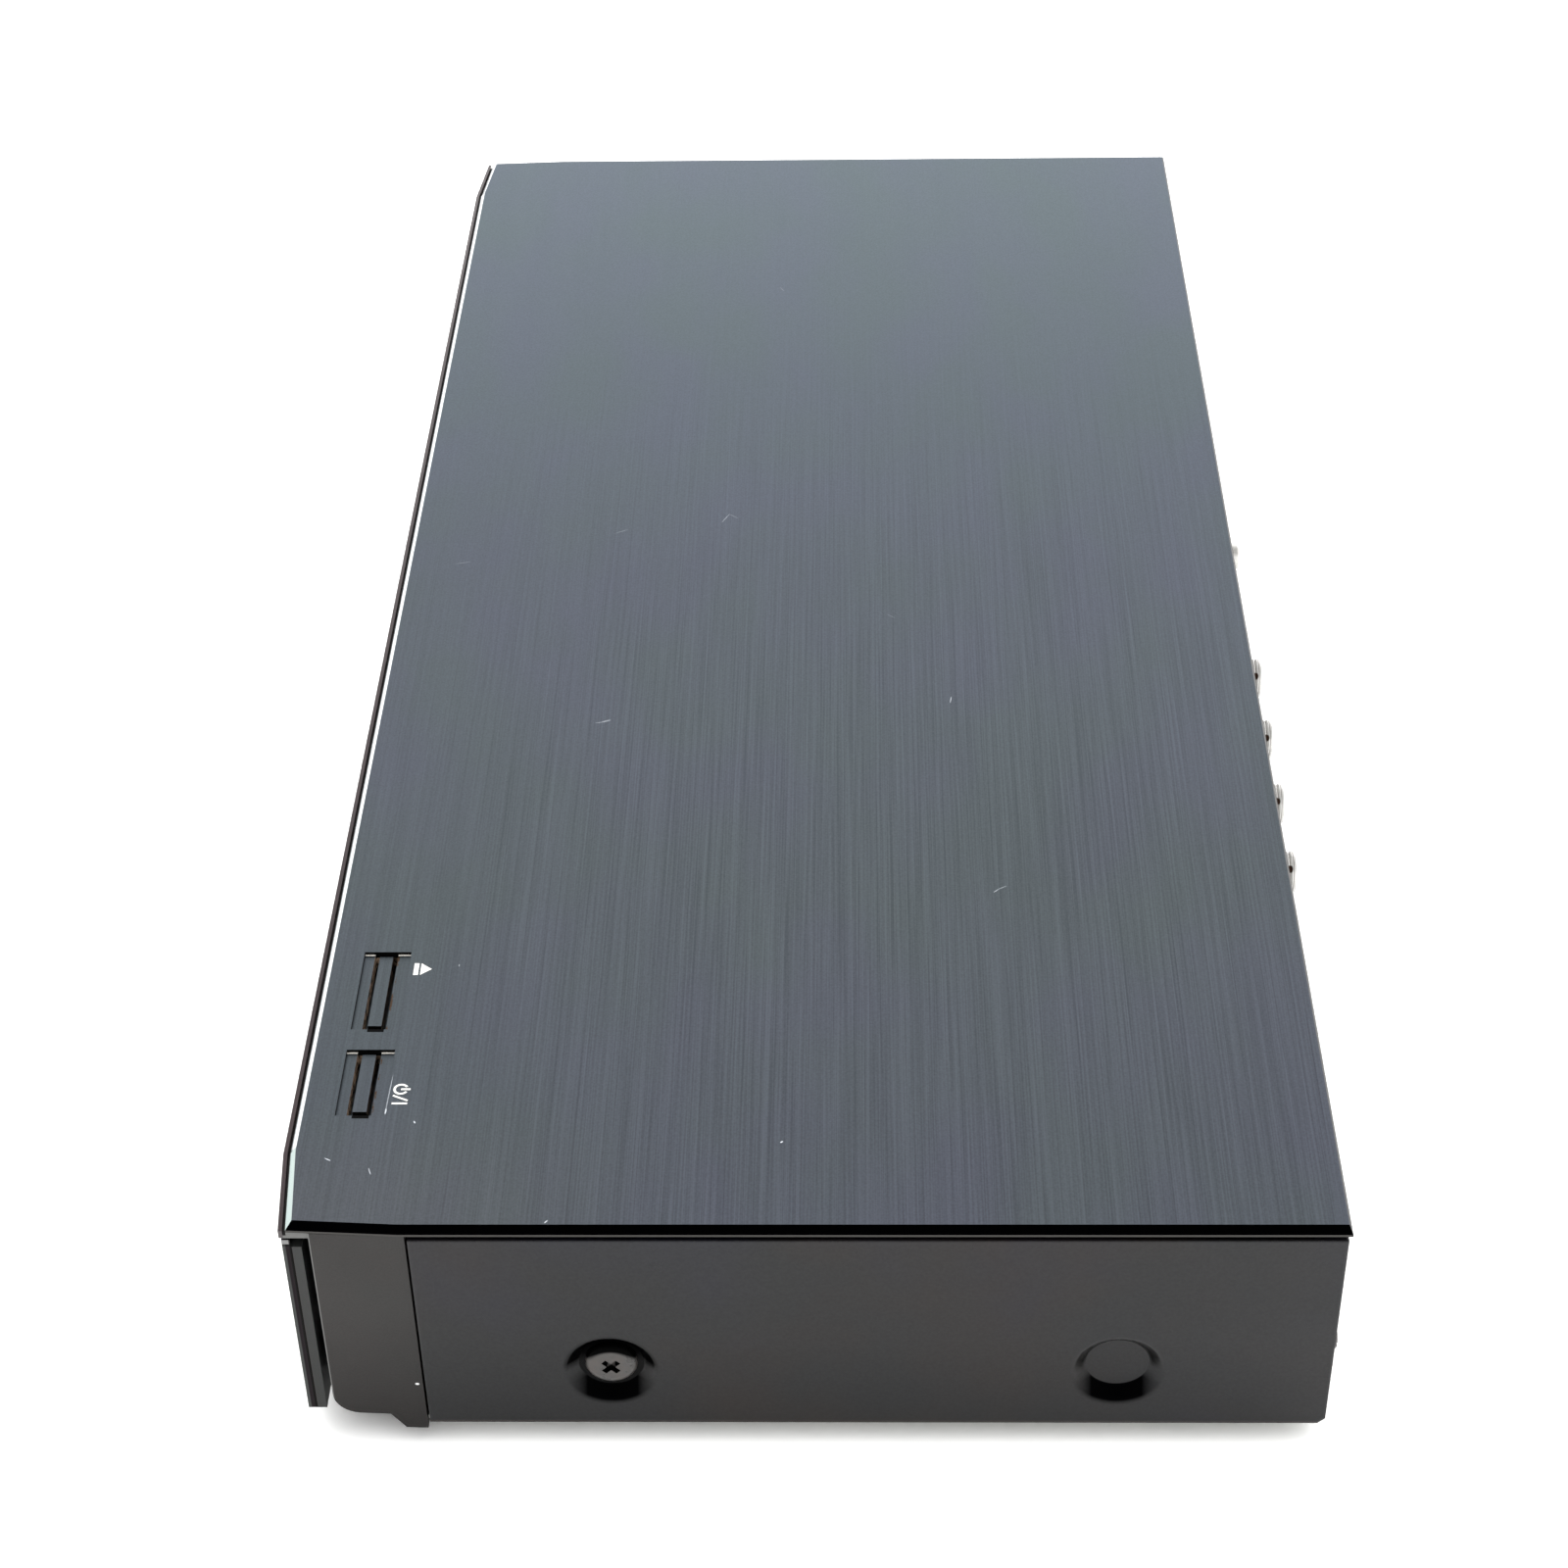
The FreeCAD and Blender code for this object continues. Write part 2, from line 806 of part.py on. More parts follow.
def add_right_places(s, p):
    """Places of what keeps to the right side: power supply, buttons, fan."""
    p.power_board_left = p.main_board_right + s.power_board_gap
    p.power_board_right = p.half - s.power_board_inset
    p.main_board_strip_right = p.power_board_left - s.board_gap
    p.transformer_x = p.power_board_left + s.transformer_shift
    p.capacitor_first_x = p.power_board_left + s.capacitor_shift
    p.front_board_left = p.power_board_left - s.front_board_overlap
    p.front_board_right = p.half - s.front_board_inset
    p.front_ribbon_x = p.power_board_left + s.front_ribbon_shift
    p.display_left = p.front_board_left + s.display_inset
    p.eject_left = p.half - s.eject_inset
    p.power_left = p.half - s.power_inset
    p.key_board_left = p.half - s.key_board_left_inset
    p.key_board_right = p.half - s.key_board_right_inset
    p.vent_right_x = p.half - s.vent_right_inset
    p.rear_screw_x = p.half - s.rear_screw_inset
    p.rear_tab_inner = p.half - s.rear_tab_inset
    p.inlet_x = p.half - s.inlet_inset
    p.tuner_left = p.antenna_first_x - s.tuner_side
    p.tuner_right = p.antenna_first_x + s.antenna_pitch * (ANTENNA_COUNT - 1) + s.tuner_side
    p.fan_x = (p.tuner_right + p.inlet_x - s.inlet_width / 2) / 2


def shared_places(s):
    """Work out the places that several sub-parts line up on."""
    p = case_places(s)
    add_left_places(s, p)
    add_right_places(s, p)
    return p


def outline(s, p, front, rear, inset=0.0, edge=0.0):
    """The plan of the case: cut front corners, tapered ears, straight sides."""
    side = p.half - inset
    narrow = side - s.side_taper
    cut_in = p.half - s.side_taper - s.corner_cut_width
    cut_back = front + s.corner_cut_depth
    taper_back = p.front + s.taper_depth
    rear = as_size(rear) - edge
    right = [(cut_in, front), (narrow, cut_back), (side, taper_back), (side, rear)]
    left = [(-x, y) for x, y in reversed(right)]
    return right + left


def ear_plan(s, p, front, rear):
    """The plan of the front moulding behind the door: tapered ears only."""
    slope = s.side_taper * (front - p.front - s.taper_depth) / (s.corner_cut_depth - s.taper_depth)
    narrow = p.half - slope
    right = [(narrow, front), (p.half, p.front + s.taper_depth), (p.half, rear)]
    left = [(-x, y) for x, y in reversed(right)]
    return right + left


# Casing

def make_top_panel(s, p):
    """Brushed plate over the whole top, bevelled, with two button recesses."""
    body = new_body()
    bevel_low = s.case_height - s.edge_drop
    pad(body, "XY", [outline(s, p, p.panel_front, p.rear_edge)], p.plate_bottom, bevel_low)
    loft = body.newObject("PartDesign::AdditiveLoft", "bevel")
    lower = draw(body, "XY", [outline(s, p, p.panel_front, p.rear_edge)], bevel_low)
    upper_front = p.panel_front + s.front_bevel
    upper = draw(body, "XY", [outline(s, p, upper_front, p.rear_edge, s.side_bevel, s.rear_bevel)],
                 s.case_height)
    loft.Profile = lower
    loft.Sections = [upper]
    loft.Ruled = True
    body.Tip = loft
    inner = p.half - s.pad_inset
    pad(body, "XY", [rect(-inner, inner, p.cover_front + s.pad_inset, p.metal_rear - s.pad_inset)],
        p.metal_top, p.plate_bottom)
    for left, length in ((p.eject_left, s.eject_length), (p.power_left, s.power_length)):
        recess_front = p.front + s.recess_front_depth
        pocket(body, "XY", [rect(left, left + length, recess_front, recess_front + s.recess_width)],
               s.case_height - s.recess_drop, s.case_height + CUT_OVERRUN)
        slot_front = p.front + s.bar_front_depth - s.bar_gap
        slot_rear = p.front + s.bar_front_depth + s.bar_width + s.bar_gap
        pocket(body, "XY", [rect(left, left + length, slot_front, slot_rear)],
               p.plate_bottom - CUT_OVERRUN, s.case_height)
    return node("top_panel", body)


def make_front_bezel(s, p):
    """Front moulding: two ears, front wall, top flange and floor."""
    body = new_body()
    pad(body, "XY", [ear_plan(s, p, p.wall, p.ear_rear)], s.ear_bottom, p.plate_bottom)
    pocket(body, "YZ", [[(p.wall - CUT_OVERRUN, s.ear_bottom - CUT_OVERRUN),
                         (p.front + s.slope_rear_depth, s.ear_bottom - CUT_OVERRUN),
                         (p.front + s.slope_rear_depth, s.ear_bottom),
                         (p.front + s.slope_front_depth, s.ear_raise),
                         (p.wall - CUT_OVERRUN, s.ear_raise)]],
           -p.half - CUT_OVERRUN, p.half + CUT_OVERRUN)
    dress(body, "Fillet", s.ear_radius,
          lambda e: near(e.BoundBox.YMin, p.wall) and near(e.BoundBox.YMax, p.wall)
          and near(e.BoundBox.ZMin, s.ear_raise) and near(e.BoundBox.ZMax, s.ear_raise))
    inner = p.half - s.side_taper - s.bezel_wall
    pocket(body, "YZ", [rect(p.wall_inner, p.ear_rear + CUT_OVERRUN, p.bezel_floor,
                             p.plate_bottom - s.bezel_wall)], -inner, inner)
    back = p.panel_front + s.corner_cut_depth
    side = p.half - s.side_taper
    cut_in = side - s.corner_cut_width
    pad(body, "XY", [[(-side, p.wall), (-side, back), (-cut_in, p.panel_front),
                      (cut_in, p.panel_front), (side, back), (side, p.wall)]],
        p.lip_bottom, p.plate_bottom)
    lip_back = p.front + s.lip_thickness
    ledge_back = lip_back + s.corner_cut_depth
    pad(body, "XY", [[(-side, ledge_back), (-cut_in, lip_back), (cut_in, lip_back), (side, ledge_back),
                      (side, back), (cut_in, p.panel_front), (-cut_in, p.panel_front), (-side, back)]],
        p.lip_bottom, (p.lip_bottom + p.plate_bottom) / 2)
    cut_front_openings(s, p, body)
    add_hinges(s, p, body)
    cut_button_slots(s, p, body)
    add_key_posts(s, p, body)
    add_board_posts(s, p, body)
    return node("front_bezel", body)


def cut_front_openings(s, p, body):
    """Openings through the front wall: tray, display, card slots."""
    half_tray = s.tray_width / 2 + s.bezel_opening_gap
    low = s.tray_bottom - s.rack_drop - s.bezel_opening_gap
    high = s.tray_bottom + s.tray_rim + s.bezel_opening_gap
    pocket(body, "XZ", [rect(p.drive_x - half_tray, p.drive_x + half_tray, low, high)],
           p.wall - CUT_OVERRUN, p.wall_inner + CUT_OVERRUN)
    left, right = p.display_left, p.display_left + s.display_width
    bottom, top = s.display_bottom, s.display_bottom + s.display_height
    edge = s.window_margin - s.window_rebate
    pocket(body, "XZ", [rect(left - edge, right + edge, bottom - edge, top + edge)],
           p.wall - CUT_OVERRUN, p.wall_inner + CUT_OVERRUN)
    edge = s.window_margin
    pocket(body, "XZ", [rect(left - edge, right + edge, bottom - edge, top + edge)],
           p.wall - CUT_OVERRUN, p.wall + s.window_thickness)
    for x, width, height in ((p.sd_slot_x, s.sd_slot_width, s.sd_slot_height),
                             (p.card_reader_x, s.card_reader_width, s.card_reader_height)):
        gap = s.fit_gap
        pocket(body, "XZ", [rect(x - width / 2 - gap, x + width / 2 + gap,
                                 p.board_top - gap, p.board_top + height + gap)],
               p.wall - CUT_OVERRUN, p.wall_inner + CUT_OVERRUN)


def hinge_places(s, p):
    """The middle X of the two hinge lugs."""
    return (p.door_left + s.hinge_left_inset, p.door_right - s.hinge_right_inset)


def add_hinges(s, p, body):
    """Blocks that carry the hinge pins, each with a notch for the door's lug."""
    reach = s.hinge_lug_radius + s.hinge_notch_gap
    half_notch = s.hinge_lug_width / 2 + s.hinge_notch_gap
    half_pin = s.hinge_pin_length / 2
    for x in hinge_places(s, p):
        pad(body, "YZ", [rect(p.wall_inner, p.hinge_y + reach, p.bezel_floor, s.hinge_height + reach)],
            x - half_pin, x + half_pin)
        pocket(body, "YZ", [rect(p.wall - CUT_OVERRUN, p.hinge_y + reach + CUT_OVERRUN,
                                 s.ear_raise - CUT_OVERRUN, s.hinge_height + reach + CUT_OVERRUN)],
               x - half_notch, x + half_notch)
        pocket(body, "YZ", [Circle(p.hinge_y, s.hinge_height, s.hinge_pin_radius)],
               x - half_pin, x + half_pin)


def cut_button_slots(s, p, body):
    """Slots through the top flange for the two button bars."""
    for left, length in ((p.eject_left, s.eject_length), (p.power_left, s.power_length)):
        slot_front = p.front + s.bar_front_depth - s.bar_gap
        slot_rear = p.front + s.bar_front_depth + s.bar_width + s.bar_gap
        pocket(body, "XY", [rect(left, left + length, slot_front, slot_rear)],
               p.plate_bottom - s.bezel_wall - CUT_OVERRUN, p.plate_bottom + CUT_OVERRUN)


def add_key_posts(s, p, body):
    """Posts under the top flange that carry the key board."""
    low = p.key_board_height + s.key_board_thickness
    y = p.front + s.key_board_rear_depth - s.key_post_radius
    for x in (p.key_board_left + s.key_post_radius, p.key_board_right - s.key_post_radius):
        pad(body, "XY", [Circle(x, y, s.key_post_radius)], low, p.plate_bottom - s.bezel_wall)


def add_board_posts(s, p, body):
    """Posts on the front wall that carry the front board."""
    inset = s.front_post_inset
    for x in (p.front_board_left + inset, p.front_board_right - inset):
        for z in (s.front_board_bottom + inset, s.front_board_top - inset):
            pad(body, "XZ", [Circle(x, z, s.front_post_radius)], p.wall_inner,
                p.front + s.front_board_depth)


def make_lip_trim(s, p):
    """Glossy strip that runs along the front edge and follows the cut corners."""
    side = p.half - s.side_taper
    cut_in = side - s.corner_cut_width
    back = p.front + s.lip_thickness
    body = new_body()
    pad(body, "XY", [[(-side, back + s.corner_cut_depth), (-side, p.front + s.corner_cut_depth),
                      (-cut_in, p.front), (cut_in, p.front), (side, p.front + s.corner_cut_depth),
                      (side, back + s.corner_cut_depth), (cut_in, back), (-cut_in, back)]],
        p.lip_bottom, p.lip_top)
    return node("lip_trim", body)


def door_plan(s, p, face, back, left, right):
    """The plan of a layer of the door, its right end behind the cut corner."""
    cut_in = p.half - s.side_taper - s.corner_cut_width
    drop = s.corner_cut_depth
    return [(left, back), (left, face), (cut_in, face), (right, face + drop), (right, back + drop),
            (cut_in, back)]


def make_door_panel(s, p):
    """Glossy outer layer of the drop-down door."""
    body = new_body()
    back = p.door_face + s.door_skin
    pad(body, "XY", [door_plan(s, p, p.door_face, back, p.door_left, p.door_right)],
        s.door_bottom, p.door_top)
    return node("door_panel", body)


def make_door_backing(s, p):
    """Inner layer of the door, with its two hinge lugs."""
    cut_in = p.half - s.side_taper - s.corner_cut_width
    face = p.door_face + s.door_skin
    body = new_body()
    pad(body, "XY", [[(p.door_left, p.door_inner), (p.door_left, face), (cut_in, face),
                      (p.door_right, face + s.corner_cut_depth), (p.door_right, p.door_inner)]],
        s.door_bottom, p.door_top - s.backing_drop)
    low = s.hinge_height - s.hinge_lug_radius
    high = s.hinge_height + s.hinge_lug_radius
    half_lug = s.hinge_lug_width / 2
    for x in hinge_places(s, p):
        pad(body, "YZ", [rect(p.door_inner, p.hinge_y, low, high)], x - half_lug, x + half_lug)
        pad(body, "YZ", [Circle(p.hinge_y, s.hinge_height, s.hinge_lug_radius)], x - half_lug, x + half_lug)
        pocket(body, "YZ", [Circle(p.hinge_y, s.hinge_height, s.hinge_pin_radius + s.hinge_bore_gap)],
               x - half_lug - CUT_OVERRUN, x + half_lug + CUT_OVERRUN)
    return node("door_backing", body)


def make_hinge_pins(s, p):
    """Steel pins that the door swings on, pressed into the front moulding."""
    pins = []
    for x in hinge_places(s, p):
        start = x - s.hinge_pin_length / 2
        pins.append(rod(start, p.hinge_y, s.hinge_height, s.hinge_pin_radius, s.hinge_pin_length, "x"))
    return node("hinge_pins", group(pins))


def make_front_fascia(s, p):
    """Fixed glossy panel left of the door, open for the tray's lid."""
    left = -p.door_right
    right = p.door_left - s.door_side_gap
    cut_in = p.half - s.side_taper - s.corner_cut_width
    body = new_body()
    pad(body, "XY", [[(right, p.door_inner), (left, p.door_inner), (left, p.door_face + s.corner_cut_depth),
                      (-cut_in, p.door_face), (right, p.door_face)]], s.door_bottom, p.door_top)
    half_lid = s.lid_width / 2 + s.lid_gap
    pocket(body, "XZ", [rect(p.drive_x - half_lid, p.drive_x + half_lid,
                             s.lid_bottom - s.lid_gap, s.lid_top + s.lid_gap)],
           p.front - CUT_OVERRUN, p.wall)
    rib = s.fascia_rib
    hollow_front = p.door_face + s.fascia_skin
    for low, high in ((s.door_bottom + rib, s.lid_bottom - s.lid_gap - rib),
                      (s.lid_top + s.lid_gap + rib, p.door_top - rib)):
        pocket(body, "XZ", [rect(-cut_in, right - rib, low, high)], hollow_front,
               p.door_inner + CUT_OVERRUN)
    for x in (left + s.fascia_peg_inset, right - s.fascia_peg_inset / 2):
        for z in (s.door_bottom + s.fascia_peg_inset, p.door_top - s.fascia_peg_inset):
            pad(body, "XZ", [Circle(x, z, s.fascia_peg_radius)], p.door_inner, p.wall)
    return node("front_fascia", body)


def make_tray_lid(s, p):
    """Glossy front of the disc tray, in its opening in the fascia."""
    body = new_body()
    half_lid = s.lid_width / 2
    pad(body, "XZ", [rect(p.drive_x - half_lid, p.drive_x + half_lid, s.lid_bottom, s.lid_top)],
        p.door_face, p.door_face + s.lid_thickness)
    dress(body, "Chamfer", s.lid_chamfer, lambda e: near(e.BoundBox.YMax, p.door_face))
    return node("tray_lid", body)


def make_display_window(s, p):
    """Smoked window let into the front wall before the display."""
    edge = s.window_margin - s.fit_gap
    plate = box(p.display_left - edge, p.display_left + s.display_width + edge, p.wall,
                p.wall + s.window_thickness, s.display_bottom - edge,
                s.display_bottom + s.display_height + edge)
    return node("display_window", plate)


def dimple_places(s, p):
    """Both depths of the dimples and whether each holds a screw."""
    return ((p.front + s.dimple_front_depth, True), (p.front + s.dimple_rear_depth, False))


def spin_along_x(body, kind, outline, y, z):
    """A round feature about a line along X through a place on the side."""
    feature = body.newObject(f"PartDesign::{kind}", kind.lower())
    sketch = draw(body, "XY", [outline], z, (0, y))
    feature.Profile = sketch
    feature.ReferenceAxis = (sketch, ["H_Axis"])
    feature.Angle = FULL_TURN
    body.Tip = feature
    return feature


def make_wrap_cover(s, p):
    """Painted steel cover: roof, two sides with dimples, one rear tab."""
    body = new_body()
    low = s.base_height
    inner = p.inner_side
    pad(body, "XZ", [[(-p.half, low), (-p.half, p.metal_top), (p.half, p.metal_top), (p.half, low),
                      (inner, low), (inner, p.roof), (-inner, p.roof), (-inner, low)]],
        p.cover_front, p.metal_rear)
    dress(body, "Chamfer", s.cover_corner_cut,
          lambda e: near(e.BoundBox.YMin, p.metal_rear) and near(e.BoundBox.YMax, p.metal_rear)
          and near(e.BoundBox.ZMin, low) and near(e.BoundBox.ZMax, low))
    half_tab = s.rear_tab_width / 2
    pad(body, "XZ", [rect(p.top_screw_x - half_tab, p.top_screw_x + half_tab,
                          p.top_screw_z - half_tab, p.roof)], p.rear_inner - s.sheet, p.rear_inner)
    pocket(body, "XZ", [Circle(p.top_screw_x, p.top_screw_z, s.rear_screw_radius)],
           p.rear_inner - s.sheet - CUT_OVERRUN, p.rear_inner + CUT_OVERRUN)
    for side in (1, -1):
        for y, has_screw in dimple_places(s, p):
            add_dimple(s, p, body, side, y, has_screw)
    dress(body, "Fillet", s.dimple_round,
          lambda e: near(abs(e.BoundBox.XMin), p.half) and near(abs(e.BoundBox.XMax), p.half)
          and near(e.BoundBox.YLength, s.dimple_radius * 2))
    return node("wrap_cover", body)


def add_dimple(s, p, body, side, y, has_screw):
    """One dimple drawn inwards from a side of the cover."""
    floor_x = (p.half - s.dimple_drop) * side
    back_x = (p.half - s.dimple_drop - s.sheet) * side
    spin_along_x(body, "Revolution",
                 [(back_x, 0), (back_x, s.dimple_floor_radius + s.sheet),
                  (p.inner_side * side, s.dimple_radius + s.sheet), (p.inner_side * side, 0)],
                 y, s.dimple_height)
    spin_along_x(body, "Groove",
                 [(floor_x, 0), (floor_x, s.dimple_floor_radius), (p.half * side, s.dimple_radius),
                  ((p.half + CUT_OVERRUN) * side, s.dimple_radius), ((p.half + CUT_OVERRUN) * side, 0)],
                 y, s.dimple_height)
    if has_screw:
        ends = (back_x - CUT_OVERRUN, floor_x + CUT_OVERRUN)
        if side < 0:
            ends = (floor_x - CUT_OVERRUN, back_x + CUT_OVERRUN)
        pocket(body, "YZ", [Circle(y, s.dimple_height, s.side_screw_radius + s.fit_gap)], *ends)


def board_screw_places(s, p):
    """Where the boards and the drive are screwed to the chassis."""
    inset = s.board_screw_inset
    main_front = p.front + s.main_screw_front_depth
    main_rear = p.board_strip
    power_front = p.front + s.power_board_front_depth + inset
    power_rear = p.front + s.power_board_rear_depth - inset
    return [
        (p.main_board_left + inset, main_front),
        (p.main_board_right - inset, main_front),
        (p.main_board_left - s.strip_screw_shift, main_rear + s.strip_screw_inset),
        (p.main_board_strip_left + inset, main_rear + s.strip_screw_inset),
        (p.power_board_left + inset, power_front),
        (p.power_board_right - inset, power_front),
        (p.power_board_left + inset, power_rear - inset),
        (p.power_board_right - inset, power_rear - s.inlet_length),
    ]


def drive_post_places(s, p):
    """The four posts under the disc drive."""
    inset = s.drive_post_inset
    half_drive = s.drive_width / 2
    front = p.front + s.drive_post_front_depth
    rear = p.front + s.drive_rear_depth - inset
    return [(p.drive_x + side * (half_drive - inset), y) for side in (-1, 1) for y in (front, rear)]


def foot_places(s, p):
    """The four feet."""
    x = p.half - s.foot_inset_x
    depths = (s.foot_front_depth, s.foot_rear_depth)
    return [(side * x, p.front + depth) for side in (-1, 1) for depth in depths]


def make_chassis_base(s, p):
    """Steel floor with side rails, rear tabs, vents and posts."""
    body = new_body()
    side = p.inner_side - s.fit_gap
    pad(body, "XY", [rect(-side, side, p.ear_rear + s.fit_gap, p.rear_outer)], s.base_height, p.floor_top)
    rail_inner = p.rail_outer - s.rail_thickness
    rail_front = p.cover_front + s.rail_setback
    rail_rear = p.rear_inner - s.base_sheet
    for low, high in ((-p.rail_outer, -rail_inner), (rail_inner, p.rail_outer)):
        pad(body, "XY", [rect(low, high, rail_front, rail_rear)], p.floor_top, s.rail_height)
    for low, high in ((-p.rail_outer, -p.rear_tab_inner), (p.rear_tab_inner, p.rail_outer)):
        pad(body, "XY", [rect(low, high, rail_rear, p.rear_inner)], p.floor_top, s.rail_height)
    for x in (-p.rear_screw_x, p.rear_screw_x):
        pocket(body, "XZ", [Circle(x, s.rear_screw_z, s.rear_screw_radius)],
               rail_rear - CUT_OVERRUN, p.rear_inner + CUT_OVERRUN)
    y = p.front + s.dimple_front_depth
    for low, high in ((-p.rail_outer, -rail_inner), (rail_inner, p.rail_outer)):
        pocket(body, "YZ", [Circle(y, s.dimple_height, s.side_screw_radius)],
               low - CUT_OVERRUN, high + CUT_OVERRUN)
    hole = s.rear_screw_radius
    for x, y in board_screw_places(s, p):
        pad(body, "XY", [Circle(x, y, s.standoff_radius)], p.floor_top, s.board_height)
        pocket(body, "XY", [Circle(x, y, hole)], s.board_height - s.screw_length,
               s.board_height + CUT_OVERRUN)
    for x, y in drive_post_places(s, p):
        pad(body, "XY", [Circle(x, y, s.standoff_radius)], p.floor_top, s.board_height)
    for left in (p.vent_left_x, p.vent_right_x):
        front = p.front + s.vent_front_depth
        slot = pocket(body, "XY", [rect(left, left + s.vent_length, front, front + s.vent_width)],
                      s.base_height - CUT_OVERRUN, p.floor_top + CUT_OVERRUN)
        repeat(body, slot, "Y", VENT_COUNT, s.vent_pitch)
    return node("chassis_base", body)


def rear_holes(s, p):
    """Round and square holes in the rear panel, one for each socket and screw."""
    gap = s.fit_gap
    holes = [Circle(p.antenna_first_x + s.antenna_pitch * i, s.antenna_height, s.antenna_radius + s.run_gap)
             for i in range(ANTENNA_COUNT)]
    holes += [Circle(p.av_first_x + s.av_pitch * i, s.av_height, s.av_ring_radius + s.run_gap)
              for i in range(AV_COUNT)]
    for x, width, height in ((p.hdmi_x, s.hdmi_width, s.hdmi_height), (p.lan_x, s.lan_width, s.lan_height),
                             (p.inlet_x, s.inlet_width, s.inlet_height)):
        holes.append(rect(x - width / 2 - gap, x + width / 2 + gap, p.board_top - gap,
                          p.board_top + height + gap))
    for x in (-p.rear_screw_x, p.rear_screw_x):
        holes.append(Circle(x, s.rear_screw_z, s.rear_screw_radius + gap))
    holes.append(Circle(p.top_screw_x, p.top_screw_z, s.rear_screw_radius + gap))
    return holes


def make_rear_panel(s, p):
    """Steel rear panel with the socket holes and the fan's slots."""
    body = new_body()
    side = p.inner_side - s.fit_gap
    pad(body, "XZ", [rect(-side, side, p.floor_top, p.roof - s.fit_gap)], p.rear_inner, p.rear_outer)
    pocket(body, "XZ", rear_holes(s, p), p.rear_inner - CUT_OVERRUN, p.rear_outer + CUT_OVERRUN)
    slot_width = s.grille_slot
    first = p.fan_x - s.grille_pitch * (GRILLE_COUNT - 1) / 2
    half_high = s.grille_height / 2
    slot = pocket(body, "XZ", [rect(first - slot_width / 2, first + slot_width / 2,
                                    s.fan_height - half_high, s.fan_height + half_high)],
                  p.rear_inner - CUT_OVERRUN, p.rear_outer + CUT_OVERRUN)
    repeat(body, slot, "X", GRILLE_COUNT, s.grille_pitch)
    return node("rear_panel", body)


def make_feet(s, p):
    """Four rubber feet, hollow under the middle."""
    feet = []
    for x, y in foot_places(s, p):
        body = new_body()
        rim = s.foot_rim
        spin(body, [(s.foot_hollow_radius, 0), (s.foot_radius - rim, 0), (s.foot_radius, rim),
                    (s.foot_top_radius, s.base_height), (0, s.base_height), (0, s.foot_hollow_depth),
                    (s.foot_hollow_radius, s.foot_hollow_depth)])
        place(body, x, y, 0)
        feet.append(body)
    return node("feet", group(feet))


# Screws

def make_screw(s, head_radius, head_height, radius, length):
    """A pan-head screw with a cross recess, its head standing on its own Z = 0."""
    body = new_body()
    crown = head_height / 2
    spin(body, [(0, -length), (radius, -length), (radius, 0), (head_radius, 0), (head_radius, crown),
                (head_radius - crown, head_height), (0, head_height)])
    reach = s.cross_length / 2
    arm = s.cross_width / 2
    cross = [(-arm, reach), (-arm, arm), (-reach, arm), (-reach, -arm), (-arm, -arm), (-arm, -reach),
             (arm, -reach), (arm, -arm), (reach, -arm), (reach, arm), (arm, arm), (arm, reach)]
    pocket(body, "XY", [cross], head_height - s.cross_drop, head_height + CUT_OVERRUN)
    return body


def make_side_screws(s, p):
    """The broad screw in the front dimple of each side."""
    y = p.front + s.dimple_front_depth
    floor_x = p.half - s.dimple_drop
    screws = []
    for x, axis in ((-floor_x, "-x"), (floor_x, "x")):
        body = make_screw(s, s.side_screw_head_radius, s.side_screw_head_height, s.side_screw_radius,
                          s.side_screw_length)
        place(body, x, y, s.dimple_height, axis)
        screws.append(body)
    return node("side_screws", group(screws))


def make_case_screws(s, p):
    """Equal small screws: three in the rear panel, the rest on the boards."""
    places = [(x, p.rear_outer, s.rear_screw_z, "y") for x in (-p.rear_screw_x, p.rear_screw_x)]
    places.append((p.top_screw_x, p.rear_outer, p.top_screw_z, "y"))
    places += [(x, y, p.board_top, "z") for x, y in board_screw_places(s, p)]
    screws = []
    for x, y, z, axis in places:
        body = make_screw(s, s.rear_screw_head_radius, s.rear_screw_head_height, s.rear_screw_radius,
                          s.screw_length)
        place(body, x, y, z, axis)
        screws.append(body)
    return node("case_screws", group(screws))


# Buttons and the key board

def button_places(s, p):
    """The left end and length of each button bar, by its name."""
    return {"eject_button": (p.eject_left, s.eject_length), "power_button": (p.power_left, s.power_length)}


def make_button(s, p, name):
    """A bar in its slot, with the flange that holds it in and a stem to its switch."""
    left, length = button_places(s, p)[name]
    low = p.plate_bottom - s.bezel_wall - s.run_gap
    front = p.front + s.bar_front_depth
    rear = front + s.bar_width
    over = s.button_flange_overhang
    body = new_body()
    pad(body, "XY", [rect(left + s.bar_end_gap, left + length - s.bar_near_gap, front, rear)],
        low, s.case_height - s.recess_drop)
    flange_low = low - s.button_flange_height
    pad(body, "XY", [rect(left, left + length, front - over, rear + over)], flange_low, low)
    middle = left + length / 2
    half_stem = s.stem_size / 2
    switch_top = p.key_board_height + s.key_board_thickness + s.switch_body_height + s.plunger_height
    pad(body, "XY", [rect(middle - half_stem, middle + half_stem, front, rear)],
        switch_top + s.button_travel + s.fit_gap, flange_low)
    return node(name, body)


def make_key_board(s, p):
    """Small board under the buttons."""
    board = box(p.key_board_left, p.key_board_right, p.front + s.key_board_front_depth,
                p.front + s.key_board_rear_depth, p.key_board_height,
                p.key_board_height + s.key_board_thickness)
    return node("key_board", board)


